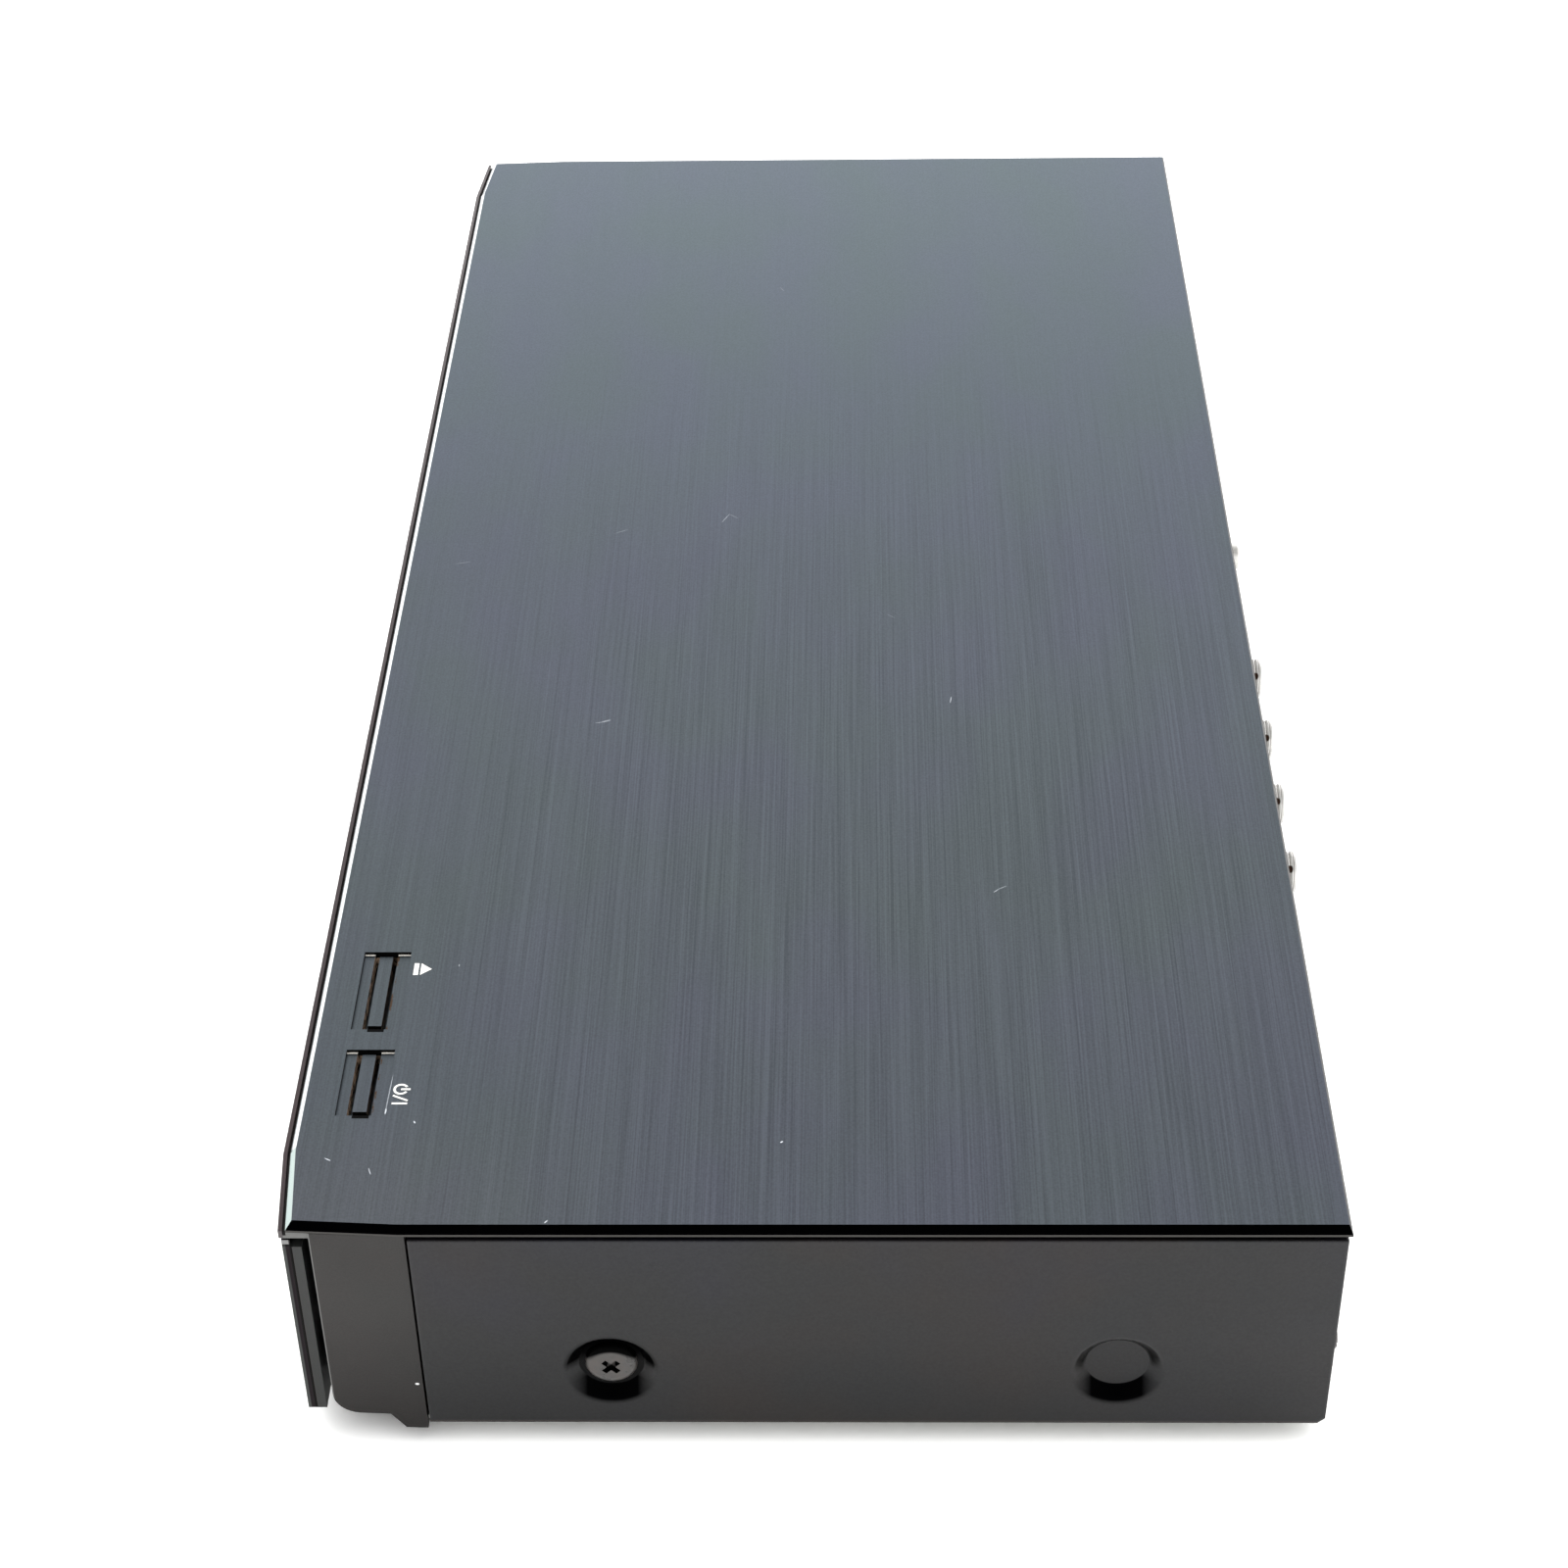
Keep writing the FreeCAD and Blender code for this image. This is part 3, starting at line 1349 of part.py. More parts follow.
def make_tact_switches(s, p):
    """One small switch under each button."""
    top = p.key_board_height + s.key_board_thickness
    y = p.front + s.bar_front_depth + s.bar_width / 2
    half_switch = s.switch_size / 2
    switches = []
    for left, length in button_places(s, p).values():
        x = left + length / 2
        case = box(x - half_switch, x + half_switch, y - half_switch, y + half_switch, top,
                   top + s.switch_body_height)
        plunger = rod(x, y, top + s.switch_body_height, s.plunger_radius, s.plunger_height)
        switches.append(join([case, plunger]))
    return node("tact_switches", group(switches))


# Front electronics

def make_front_board(s, p):
    """Upright board behind the front wall."""
    y = p.front + s.front_board_depth
    board = box(p.front_board_left, p.front_board_right, y, y + s.board_thickness, s.front_board_bottom,
                s.front_board_top)
    return node("front_board", board)


def make_display_module(s, p):
    """Display tube on the front board, close behind the window."""
    tube = box(p.display_left, p.display_left + s.display_width, p.wall_inner + s.fit_gap,
               p.front + s.front_board_depth, s.display_bottom, s.display_bottom + s.display_height)
    return node("display_module", tube)


def make_card_socket(s, p, name, x, width, height, length, mouth_width, mouth_height):
    """A flat card socket on the main board, its mouth in the front wall."""
    shell = box(x - width / 2, x + width / 2, p.wall, p.wall + length, p.board_top, p.board_top + height)
    middle = p.board_top + height / 2
    mouth = box(x - mouth_width / 2, x + mouth_width / 2, p.wall - CUT_OVERRUN,
                p.wall + length - s.socket_back, middle - mouth_height / 2, middle + mouth_height / 2)
    return node(name, cut(shell, [mouth]))


# Main board and rear sockets

def make_main_board(s, p):
    """L-shaped board: under the hard disk and along the rear sockets."""
    front = p.front + s.main_board_front_depth
    strip, rear = p.board_strip, p.main_board_rear
    left, right = p.main_board_left, p.main_board_right
    shape = [(left, front), (right, front), (right, strip), (p.main_board_strip_right, strip),
             (p.main_board_strip_right, rear), (p.main_board_strip_left, rear),
             (p.main_board_strip_left, strip), (left, strip)]
    holes = [Circle(x, y, s.rear_screw_radius + s.fit_gap) for x, y in board_screw_places(s, p)[:4]]
    body = new_body()
    pad(body, "XY", [shape] + holes, s.board_height, p.board_top)
    return node("main_board", body)


def make_main_chips(s, p):
    """The main processor, memory and drive controller on the main board."""
    middle = (p.main_board_left + p.main_board_right) / 2
    y = p.front + s.heat_sink_depth
    places = [(middle, y, s.processor_size), (middle + s.memory_shift, y, s.memory_size),
              (middle - s.memory_shift, y, s.memory_size), (middle, y + s.controller_shift, s.memory_size)]
    chips = [box(x - size / 2, x + size / 2, at - size / 2, at + size / 2, p.board_top,
                 p.board_top + s.chip_height) for x, at, size in places]
    return node("main_chips", group(chips))


def make_heat_sink(s, p):
    """Finned aluminium block on the main processor."""
    middle = (p.main_board_left + p.main_board_right) / 2
    y = p.front + s.heat_sink_depth
    half_sink = s.heat_sink_size / 2
    low = p.board_top + s.chip_height
    body = new_body()
    pad(body, "XY", [rect(middle - half_sink, middle + half_sink, y - half_sink, y + half_sink)],
        low, low + s.heat_sink_base)
    fin = pad(body, "XY", [rect(middle - half_sink, middle - half_sink + s.fin_thickness,
                                y - half_sink, y + half_sink)],
              low + s.heat_sink_base, low + s.heat_sink_height)
    repeat(body, fin, "X", FIN_COUNT, (s.heat_sink_size - s.fin_thickness) / (FIN_COUNT - 1))
    return node("heat_sink", body)


def antenna_places(s, p):
    """The X of each antenna connector."""
    return [p.antenna_first_x + s.antenna_pitch * i for i in range(ANTENNA_COUNT)]


def make_tuner_can(s, p):
    """Tin shield of the tuner, open below."""
    left, right = p.tuner_left, p.tuner_right
    front = p.front + s.tuner_front_depth
    wall = s.can_wall
    top = p.board_top + s.tuner_height
    body = new_body()
    pad(body, "XY", [rect(left, right, front, p.rear_inner)], p.board_top, top)
    pocket(body, "XY", [rect(left + wall, right - wall, front + wall, p.rear_inner - wall)],
           p.board_top - CUT_OVERRUN, top - wall)
    return node("tuner_can", body)


def make_antenna_sockets(s, p):
    """Four threaded antenna connectors that stand out of the rear panel."""
    reach = p.rear_edge + s.connector_reach - p.rear_inner
    root = s.antenna_radius - s.thread_depth
    plain = s.thread_start
    pitch = (reach - plain) / THREAD_COUNT
    face = reach - s.antenna_recess
    hole = s.antenna_hole_radius
    edge = [(s.antenna_bore_radius, reach), (s.antenna_bore_radius, face), (hole, face),
            (hole, s.antenna_hole_floor), (0, s.antenna_hole_floor), (0, 0), (s.antenna_radius, 0),
            (s.antenna_radius, plain)]
    for i in range(THREAD_COUNT):
        edge.append((root, plain + pitch * (i + 0.5)))
        if i < THREAD_COUNT - 1:
            edge.append((s.antenna_radius, plain + pitch * (i + 1)))
    edge.append((root, reach))
    sockets = []
    for x in antenna_places(s, p):
        body = new_body()
        spin(body, edge)
        place(body, x, p.rear_inner, s.antenna_height, "y")
        sockets.append(body)
    return node("antenna_sockets", group(sockets))


def make_av_jacks(s, p):
    """Block behind six round audio and video jacks, each a plated ring."""
    last = p.av_first_x + s.av_pitch * (AV_COUNT - 1)
    half_pitch = s.av_pitch / 2
    block = box(p.av_first_x - half_pitch, last + half_pitch, p.rear_inner - s.av_block_length,
                p.rear_inner, p.board_top, p.board_top + s.av_block_height)
    reach = p.rear_outer + s.av_reach - p.rear_inner
    rings = []
    for i in range(AV_COUNT):
        body = new_body()
        spin(body, [(s.av_bore_radius, 0), (s.av_ring_radius, 0), (s.av_ring_radius, reach),
                    (s.av_bore_radius, reach)])
        place(body, p.av_first_x + s.av_pitch * i, p.rear_inner, s.av_height, "y")
        rings.append(body)
    return node("av_jacks", group([block] + rings))


def make_hdmi_port(s, p):
    """Flat socket with a tongue, its mouth in the rear panel."""
    x_low, x_high = p.hdmi_x - s.hdmi_width / 2, p.hdmi_x + s.hdmi_width / 2
    y_low = p.rear_outer - s.hdmi_length
    wall = s.hdmi_wall
    shell = box(x_low, x_high, y_low, p.rear_outer, p.board_top, p.board_top + s.hdmi_height)
    mouth = box(x_low + wall, x_high - wall, y_low + wall * 2, p.rear_outer + CUT_OVERRUN,
                p.board_top + wall, p.board_top + s.hdmi_height - wall)
    middle = p.board_top + s.hdmi_height / 2
    tongue = box(x_low + s.tongue_inset, x_high - s.tongue_inset, y_low + wall, p.rear_outer - wall * 2,
                 middle - wall, middle + wall)
    return node("hdmi_port", join([cut(shell, [mouth]), tongue]))


def make_lan_port(s, p):
    """Network socket, its mouth in the rear panel."""
    x_low, x_high = p.lan_x - s.lan_width / 2, p.lan_x + s.lan_width / 2
    y_low = p.rear_outer - s.lan_length
    top = p.board_top + s.lan_height
    shell = box(x_low, x_high, y_low, p.rear_outer, p.board_top, top)
    half_mouth = s.lan_mouth_width / 2
    mouth_low = p.board_top + s.lan_wall
    mouth = box(p.lan_x - half_mouth, p.lan_x + half_mouth, y_low + s.lan_wall, p.rear_outer + CUT_OVERRUN,
                mouth_low, mouth_low + s.lan_mouth_height)
    half_notch = s.lan_notch_width / 2
    notch = box(p.lan_x - half_notch, p.lan_x + half_notch, y_low + s.lan_wall, p.rear_outer + CUT_OVERRUN,
                mouth_low, top - s.lan_wall)
    return node("lan_port", cut(shell, [mouth, notch]))


def make_ac_inlet(s, p):
    """Two-pin mains inlet, its mouth in the rear panel."""
    x_low, x_high = p.inlet_x - s.inlet_width / 2, p.inlet_x + s.inlet_width / 2
    y_low = p.rear_outer - s.inlet_length
    shell = box(x_low, x_high, y_low, p.rear_outer, p.board_top, p.board_top + s.inlet_height)
    middle = p.board_top + s.inlet_height / 2
    half_wide, half_high = s.inlet_mouth_width / 2, s.inlet_mouth_height / 2
    floor = p.rear_outer - s.inlet_mouth_length
    mouth = box(p.inlet_x - half_wide, p.inlet_x + half_wide, floor, p.rear_outer + CUT_OVERRUN,
                middle - half_high, middle + half_high)
    pins = [rod(p.inlet_x + side * s.inlet_pin_pitch / 2, floor - CUT_OVERRUN, middle, s.inlet_pin_radius,
                s.inlet_pin_length + CUT_OVERRUN, "y") for side in (-1, 1)]
    return node("ac_inlet", join([cut(shell, [mouth])] + pins))


# Power supply

def make_power_board(s, p):
    """Board of the power supply."""
    shape = rect(p.power_board_left, p.power_board_right, p.front + s.power_board_front_depth,
                 p.front + s.power_board_rear_depth)
    holes = [Circle(x, y, s.rear_screw_radius + s.fit_gap) for x, y in board_screw_places(s, p)[4:]]
    body = new_body()
    pad(body, "XY", [shape] + holes, s.board_height, p.board_top)
    return node("power_board", body)


def make_transformer(s, p):
    """Ferrite core with its winding on the power board."""
    x, y = p.transformer_x, p.front + s.transformer_depth
    half_wide, half_long = s.transformer_width / 2, s.transformer_length / 2
    low, high = p.board_top, p.board_top + s.transformer_height
    leg = s.core_leg
    block = box(x - half_wide, x + half_wide, y - leg, y + leg, low, high)
    window = box(x - half_wide + leg, x + half_wide - leg, y - leg - CUT_OVERRUN, y + leg + CUT_OVERRUN,
                 low + leg, high - leg)
    winding = box(x - half_wide + leg, x + half_wide - leg, y - half_long, y + half_long,
                  low + leg, high - leg)
    return node("transformer", group([cut(block, [window]), winding]))


def make_capacitors(s, p):
    """Three round capacitors on the power board."""
    y = p.front + s.capacitor_depth
    cans = []
    for i in range(CAPACITOR_COUNT):
        body = new_body()
        groove = s.can_groove
        waist = s.capacitor_radius - groove
        neck = s.can_neck
        top = s.capacitor_height
        spin(body, [(0, 0), (s.capacitor_radius, 0), (s.capacitor_radius, neck), (waist, neck + groove),
                    (s.capacitor_radius, neck + groove * 2), (s.capacitor_radius, top - groove),
                    (waist, top), (0, top)])
        place(body, p.capacitor_first_x + s.capacitor_pitch * i, y, p.board_top)
        cans.append(body)
    return node("capacitors", group(cans))


# Fan

def make_fan_frame(s, p):
    """Square fan housing behind the rear slots, with its motor mount."""
    half_fan = s.fan_size / 2
    low = p.rear_inner - s.fan_thickness
    x, z = p.fan_x, s.fan_height
    body = new_body()
    pad(body, "XZ", [rect(x - half_fan, x + half_fan, z - half_fan, z + half_fan),
                     Circle(x, z, s.fan_bore_radius)], low, p.rear_inner)
    half_strut = s.fan_strut_width / 2
    pad(body, "XZ", [rect(x - half_fan, x + half_fan, z - half_strut, z + half_strut)],
        low, low + s.fan_strut_thickness)
    pad(body, "XZ", [rect(x - half_strut, x + half_strut, z - half_fan, z + half_fan)],
        low, low + s.fan_strut_thickness)
    pad(body, "XZ", [Circle(x, z, s.fan_stator_radius)], low, low + s.fan_strut_thickness)
    pin_end = p.rear_inner - s.fan_hub_cap - s.fan_strut_thickness
    pad(body, "XZ", [Circle(x, z, s.shaft_radius)], low, pin_end)
    corner = half_fan - s.fan_hole_inset
    holes = [Circle(x + a * corner, z + b * corner, s.fan_hole_radius) for a in (-1, 1) for b in (-1, 1)]
    pocket(body, "XZ", holes, low - CUT_OVERRUN, p.rear_inner + CUT_OVERRUN)
    pad(body, "XZ", [rect(x - half_fan, x + half_fan, p.floor_top, z - half_fan)],
        low, low + s.fan_strut_thickness)
    return node("fan_frame", body)


def make_fan_rotor(s, p):
    """Hub with seven blades, turning on the frame's pin."""
    base = s.fan_strut_thickness + s.run_gap
    tip = s.fan_thickness - s.fan_hub_cap / 2
    bore = s.shaft_radius + s.hinge_bore_gap
    cap = s.fan_hub_cap
    body = new_body()
    spin(body, [(bore, base), (s.fan_hub_radius, base), (s.fan_hub_radius, tip), (0, tip),
                (0, tip - cap), (bore, tip - cap)])
    lean = s.fan_blade_lean
    thick = s.fan_blade_thickness
    blade_low, blade_high = base + s.run_gap, tip - s.run_gap
    blade = pad(body, "YZ", [[(-lean, blade_low), (thick - lean, blade_low), (thick + lean, blade_high),
                              (lean, blade_high)]],
                s.fan_hub_radius - s.fan_blade_root, s.fan_bore_radius - s.fan_blade_gap)
    around(body, blade, BLADE_COUNT)
    place(body, p.fan_x, p.rear_inner - s.fan_thickness, s.fan_height, "y")
    return node("fan_rotor", body)


# Disc drive

def make_drive_base(s, p):
    """Plastic loader frame with tray channels, gear pins and traverse pads."""
    body = new_body()
    x, front, rear = p.drive_x, p.front + s.drive_front_depth, p.front + s.drive_rear_depth
    half_drive, wall = s.drive_width / 2, s.drive_wall
    floor_top = s.board_height + wall
    opening = rect(x - s.opening_half_width, x + s.opening_half_width,
                   p.front + s.opening_front_depth, p.front + s.opening_rear_depth - wall)
    pad(body, "XY", [rect(x - half_drive, x + half_drive, front, rear), opening], s.board_height, floor_top)
    pad(body, "XY", [rect(x - half_drive, x + half_drive, front, rear),
                     rect(x - half_drive + wall, x + half_drive - wall, front + wall, rear - wall)],
        floor_top, s.drive_top)
    pocket(body, "XZ", [rect(x - half_drive + wall, x + half_drive - wall, s.drive_front_wall_top,
                             s.drive_top + CUT_OVERRUN)], front - CUT_OVERRUN, front + wall + CUT_OVERRUN)
    add_tray_channels(s, p, body)
    for px, py in traverse_pads(s, p):
        half_pad = s.pad_size / 2
        pad(body, "XY", [rect(px - half_pad, px + half_pad, py - half_pad, py + half_pad)],
            floor_top, s.frame_height - s.run_gap)
    for place_of, seat in ((tray_gear_place, s.tray_bottom - s.run_gap - s.gear_thickness),
                           (belt_wheel_place, s.belt_wheel_height)):
        gx, gy = place_of(s, p)
        pad(body, "XY", [Circle(gx, gy, s.shaft_radius)], floor_top, s.tray_bottom - s.run_gap)
        pad(body, "XY", [Circle(gx, gy, s.gear_post_radius)], floor_top, seat - s.run_gap)
    return node("drive_base", body)


def add_tray_channels(s, p, body):
    """A channel on each side that carries, guides and holds down the tray."""
    x, inner = p.drive_x, s.drive_width / 2 - s.drive_wall
    half_tray = s.tray_width / 2
    front, rear = p.front + s.drive_front_depth, p.front + s.drive_rear_depth - s.drive_wall
    ledge_top = s.tray_bottom - s.run_gap
    lip_low = s.tray_bottom + s.tray_rim + s.run_gap
    guide = half_tray + s.run_gap
    for side in (-1, 1):
        for reach, low, high in ((half_tray - s.ledge_width, ledge_top - s.ledge_thickness, ledge_top),
                                 (guide, ledge_top, lip_low),
                                 (half_tray - s.tray_rim_width, lip_low, lip_low + s.ledge_thickness)):
            ends = sorted((x + reach * side, x + inner * side), key=lambda size: size.value)
            pad(body, "XY", [rect(ends[0], ends[1], front, rear)], low, high)


def traverse_pads(s, p):
    """The four pads that the lowered traverse rests on."""
    x = s.frame_half_width - s.pad_size / 2
    front = p.front + s.frame_front_depth + s.pad_size
    rear = p.front + s.frame_rear_depth - s.pad_size
    return [(p.drive_x + side * x, y) for side in (-1, 1) for y in (front, rear)]


def tray_gear_place(s, p):
    """The axis of the gear that meets the rack."""
    rack_right = p.drive_x - s.tray_width / 2 + s.rack_inset + s.rack_width
    return rack_right + s.run_gap + s.tray_gear_radius, p.front + s.tray_gear_depth


def belt_wheel_place(s, p):
    """The axis of the belt wheel, whose pinion meets the tray gear."""
    x, y = tray_gear_place(s, p)
    return x + s.tray_gear_radius + s.run_gap + s.pinion_radius, y


def motor_place(s, p):
    """The axis of the loading motor."""
    x, y = belt_wheel_place(s, p)
    return x + s.belt_span, y


def make_drive_cover(s, p):
    """Steel lid of the drive with the clamper's hole and side flanges."""
    x, front, rear = p.drive_x, p.front + s.drive_front_depth, p.front + s.drive_rear_depth
    half_drive = s.drive_width / 2
    outer = half_drive + s.sheet
    body = new_body()
    pad(body, "XY", [rect(x - outer, x + outer, front, rear),
                     Circle(x, p.spindle_y, s.clamper_hole_radius)], s.drive_top, s.drive_top + s.sheet)
    for low, high in ((x - outer, x - half_drive), (x + half_drive, x + outer)):
        pad(body, "XY", [rect(low, high, front, rear)], s.drive_top - s.cover_flange_drop, s.drive_top)
    return node("drive_cover", body)


def make_disc_tray(s, p):
    """Tray with the disc recesses, the turntable opening and the rack."""
    x, half_tray = p.drive_x, s.tray_width / 2
    front = p.door_face + s.lid_thickness
    rear = p.front + s.tray_rear_depth
    body = new_body()
    pad(body, "XY", [rect(x - half_tray, x + half_tray, front, rear)], s.tray_bottom, p.tray_top)
    rim = s.tray_rim_width
    for low, high in ((x - half_tray, x - half_tray + rim), (x + half_tray - rim, x + half_tray)):
        pad(body, "XY", [rect(low, high, front, rear)], p.tray_top, s.tray_bottom + s.tray_rim)
    pocket(body, "XY", [Circle(x, p.spindle_y, s.disc_radius)], p.tray_top - s.disc_recess,
           s.tray_bottom + s.tray_rim + CUT_OVERRUN)
    pocket(body, "XY", [Circle(x, p.spindle_y, s.small_disc_radius)],
           p.tray_top - s.disc_recess - s.small_disc_recess, p.tray_top)
    pocket(body, "XY", [Circle(x, p.spindle_y, s.hub_opening_radius)],
           s.tray_bottom - CUT_OVERRUN, p.tray_top)
    pocket(body, "XY", [rect(x - s.slot_half_width, x + s.slot_half_width, p.spindle_y,
                             p.spindle_y + s.slot_length)], s.tray_bottom - CUT_OVERRUN, p.tray_top)
    add_rack(s, p, body, rear)
    return node("disc_tray", body)


def add_rack(s, p, body, rear):
    """The toothed strip under the tray's left side."""
    left = p.drive_x - s.tray_width / 2 + s.rack_inset
    right = left + s.rack_width
    front = p.front + s.rack_front_depth
    low = s.tray_bottom - s.rack_drop
    pad(body, "XY", [rect(left, right, front, rear)], low, s.tray_bottom)
    gap = pocket(body, "XY", [rect(right - s.tooth_depth, right + CUT_OVERRUN, front + s.rack_pitch / 2,
                                   front + s.rack_pitch)], low - CUT_OVERRUN, s.tray_bottom)
    repeat(body, gap, "Y", RACK_TOOTH_COUNT, s.rack_pitch)


def make_clamper(s, p):
    """Puck that hangs in the cover's hole and presses the disc down."""
    flange = s.drive_top + s.sheet + s.run_gap
    low = s.turntable_seat + s.traverse_lift + s.disc_thickness + s.run_gap
    hollow = s.turntable_cone_radius + s.run_gap
    body = new_body()
    spin(body, [(0, low + s.clamper_recess), (hollow, low + s.clamper_recess), (hollow, low),
                (s.clamper_hub_radius, low), (s.clamper_hub_radius, flange),
                (s.clamper_flange_radius, flange),
                (s.clamper_flange_radius, flange + s.clamper_flange_thickness),
                (0, flange + s.clamper_flange_thickness)])
    place(body, p.drive_x, p.spindle_y, 0)
    return node("clamper", body)


def make_spindle_motor(s, p):
    """Flat motor on the traverse, bored for the turntable's shaft."""
    low = s.frame_height + s.frame_thickness
    body = new_body()
    bore = s.shaft_radius + s.hinge_bore_gap
    spin(body, [(bore, low), (s.motor_radius, low), (s.motor_radius, s.motor_top), (bore, s.motor_top)])
    place(body, p.drive_x, p.spindle_y, 0)
    return node("spindle_motor", body)


def make_turntable(s, p):
    """Disc seat with a centring cone, on its shaft."""
    low = s.motor_top + s.run_gap
    shaft_low = s.frame_height + s.frame_thickness + s.run_gap
    body = new_body()
    spin(body, [(0, shaft_low), (s.shaft_radius, shaft_low), (s.shaft_radius, low),
                (s.turntable_radius, low), (s.turntable_radius, s.turntable_seat),
                (s.turntable_cone_radius, s.turntable_seat),
                (s.turntable_cone_radius - s.cone_narrowing, s.turntable_top), (0, s.turntable_top)])
    place(body, p.drive_x, p.spindle_y, 0)
    return node("turntable", body)


def make_traverse_frame(s, p):
    """Steel plate that carries the spindle motor, rods, lead screw and its motor."""
    x = p.drive_x
    front, rear = p.front + s.frame_front_depth, p.front + s.frame_rear_depth
    window = rect(x - s.window_half_width, x + s.window_half_width, p.front + s.window_front_depth,
                  p.front + s.rod_rear_depth)
    body = new_body()
    pad(body, "XY", [rect(x - s.frame_half_width, x + s.frame_half_width, front, rear), window],
        s.frame_height, s.frame_height + s.frame_thickness)
    half_tab = s.rod_radius * 2
    low = s.rod_height - half_tab
    rod_starts = (p.front + s.rod_front_depth, p.front + s.rod_rear_depth)
    for offset in (-s.rod_offset, s.rod_offset):
        for y in rod_starts:
            pad(body, "XZ", [rect(x + offset - half_tab, x + offset + half_tab, low, s.frame_height)],
                y, y + s.tab_thickness)
            pocket(body, "XZ", [Circle(x + offset, s.rod_height, s.rod_radius)],
                   y - CUT_OVERRUN, y + s.tab_thickness + CUT_OVERRUN)
    half_tab = s.sled_motor_radius
    motor_rear = p.front + s.lead_front_depth
    for y in (motor_rear, p.front + s.rod_rear_depth):
        pad(body, "XZ", [rect(x + s.screw_offset - half_tab, x + s.screw_offset + half_tab,
                              s.screw_height - half_tab, s.frame_height)], y, y + s.tab_thickness)
        pocket(body, "XZ", [Circle(x + s.screw_offset, s.screw_height, s.screw_radius + s.hinge_bore_gap)],
               y - CUT_OVERRUN, y + s.tab_thickness + CUT_OVERRUN)
    return node("traverse_frame", body)


def make_guide_rods(s, p):
    """Two polished rods that the pickup slides on."""
    y = p.front + s.rod_front_depth
    length = p.front + s.rod_rear_depth + s.tab_thickness - y
    rods = [rod(p.drive_x + side * s.rod_offset, y, s.rod_height, s.rod_radius, length, "y")
            for side in (-1, 1)]
    return node("guide_rods", group(rods))


def make_lead_screw(s, p):
    """Screw that drives the pickup along its rods."""
    start = p.front + s.lead_front_depth - s.run_gap
    length = p.front + s.rod_rear_depth + s.tab_thickness - start
    screw = rod(p.drive_x + s.screw_offset, start, s.screw_height, s.screw_radius, length, "y")
    return node("lead_screw", screw)


def make_sled_motor(s, p):
    """Small motor in line with the lead screw."""
    rear = p.front + s.lead_front_depth
    case = rod(p.drive_x + s.screw_offset, rear - s.sled_motor_length, s.screw_height, s.sled_motor_radius,
               s.sled_motor_length, "y")
    bore = rod(p.drive_x + s.screw_offset, rear - s.run_gap * 2, s.screw_height,
               s.screw_radius + s.hinge_bore_gap, s.run_gap * 2 + CUT_OVERRUN, "y")
    return node("sled_motor", cut(case, [bore]))


def make_pickup_sled(s, p):
    """Optical pickup body on the rods, with its fork over the lead screw."""
    x = p.drive_x
    front = p.spindle_y + s.motor_radius + s.sled_front_gap
    rear = front + s.sled_length
    lens_y = p.spindle_y + s.lens_start_radius
    body = new_body()
    pad(body, "XY", [rect(x - s.sled_half_width, x + s.sled_half_width, front, rear)],
        s.sled_bottom, s.sled_top)
    for offset in (-s.rod_offset, s.rod_offset):
        pocket(body, "XZ", [Circle(x + offset, s.rod_height, s.rod_radius + s.hinge_bore_gap)],
               front - CUT_OVERRUN, rear + CUT_OVERRUN)
    pocket(body, "XY", [Circle(x, lens_y, s.lens_radius + s.run_gap)],
           s.sled_top - s.lens_height, s.sled_top + CUT_OVERRUN)
    arm_front = lens_y
    arm_rear = arm_front + s.fork_length
    arm_low = s.screw_height + s.screw_radius + s.run_gap
    prong = s.fork_thickness
    pad(body, "XY", [rect(x + s.sled_half_width, x + s.screw_offset + s.screw_radius + s.run_gap + prong,
                          arm_front, arm_rear)], arm_low, s.frame_height - s.run_gap)
    for low in (x + s.screw_offset - s.screw_radius - s.run_gap - prong,
                x + s.screw_offset + s.screw_radius + s.run_gap):
        pad(body, "XY", [rect(low, low + prong, arm_front, arm_rear)], s.sled_bottom, arm_low)
    return node("pickup_sled", body)


def make_pickup_lens(s, p):
    """Lens in its holder, floating in the top of the pickup."""
    low = s.sled_top - s.lens_height + s.lens_float
    lens_y = p.spindle_y + s.lens_start_radius
    body = new_body()
    high = low + s.lens_height
    spin(body, [(0, low), (s.lens_radius, low), (s.lens_radius, high), (s.lens_radius / 2, high),
                (0, high + s.lens_crown)])
    place(body, p.drive_x, lens_y, 0)
    return node("pickup_lens", body)


# Loading mechanism

def toothed(body, radius, low, high, teeth, tooth_depth):
    """Cut equal tooth gaps round a wheel."""
    half_gap = TOOTH_GAP_SHARE * radius / teeth
    gap = pocket(body, "XY", [rect(radius - tooth_depth, radius + CUT_OVERRUN, -half_gap, half_gap)],
                 low, high)
    around(body, gap, teeth)


def make_tray_gear(s, p):
    """Gear between the belt wheel's pinion and the tray's rack."""
    x, y = tray_gear_place(s, p)
    high = s.tray_bottom - s.run_gap
    low = high - s.gear_thickness
    bore = s.shaft_radius + s.hinge_bore_gap
    body = new_body()
    pad(body, "XY", [Circle(0, 0, s.tray_gear_radius), Circle(0, 0, bore)], low, high)
    toothed(body, s.tray_gear_radius, low, high, TRAY_GEAR_TEETH, s.tooth_depth)
    place(body, x, y, 0)
    return node("tray_gear", body)


def grooved_outline(s, radius, bore, low, thickness):
    """Half section of a belt wheel whose rim has a groove."""
    groove = s.belt_size + s.run_gap
    edge = (thickness - groove) / 2
    deep = radius - s.belt_size - s.run_gap
    return [(bore, low), (radius, low), (radius, low + edge), (deep, low + edge),
            (deep, low + edge + groove), (radius, low + edge + groove), (radius, low + thickness),
            (bore, low + thickness)]


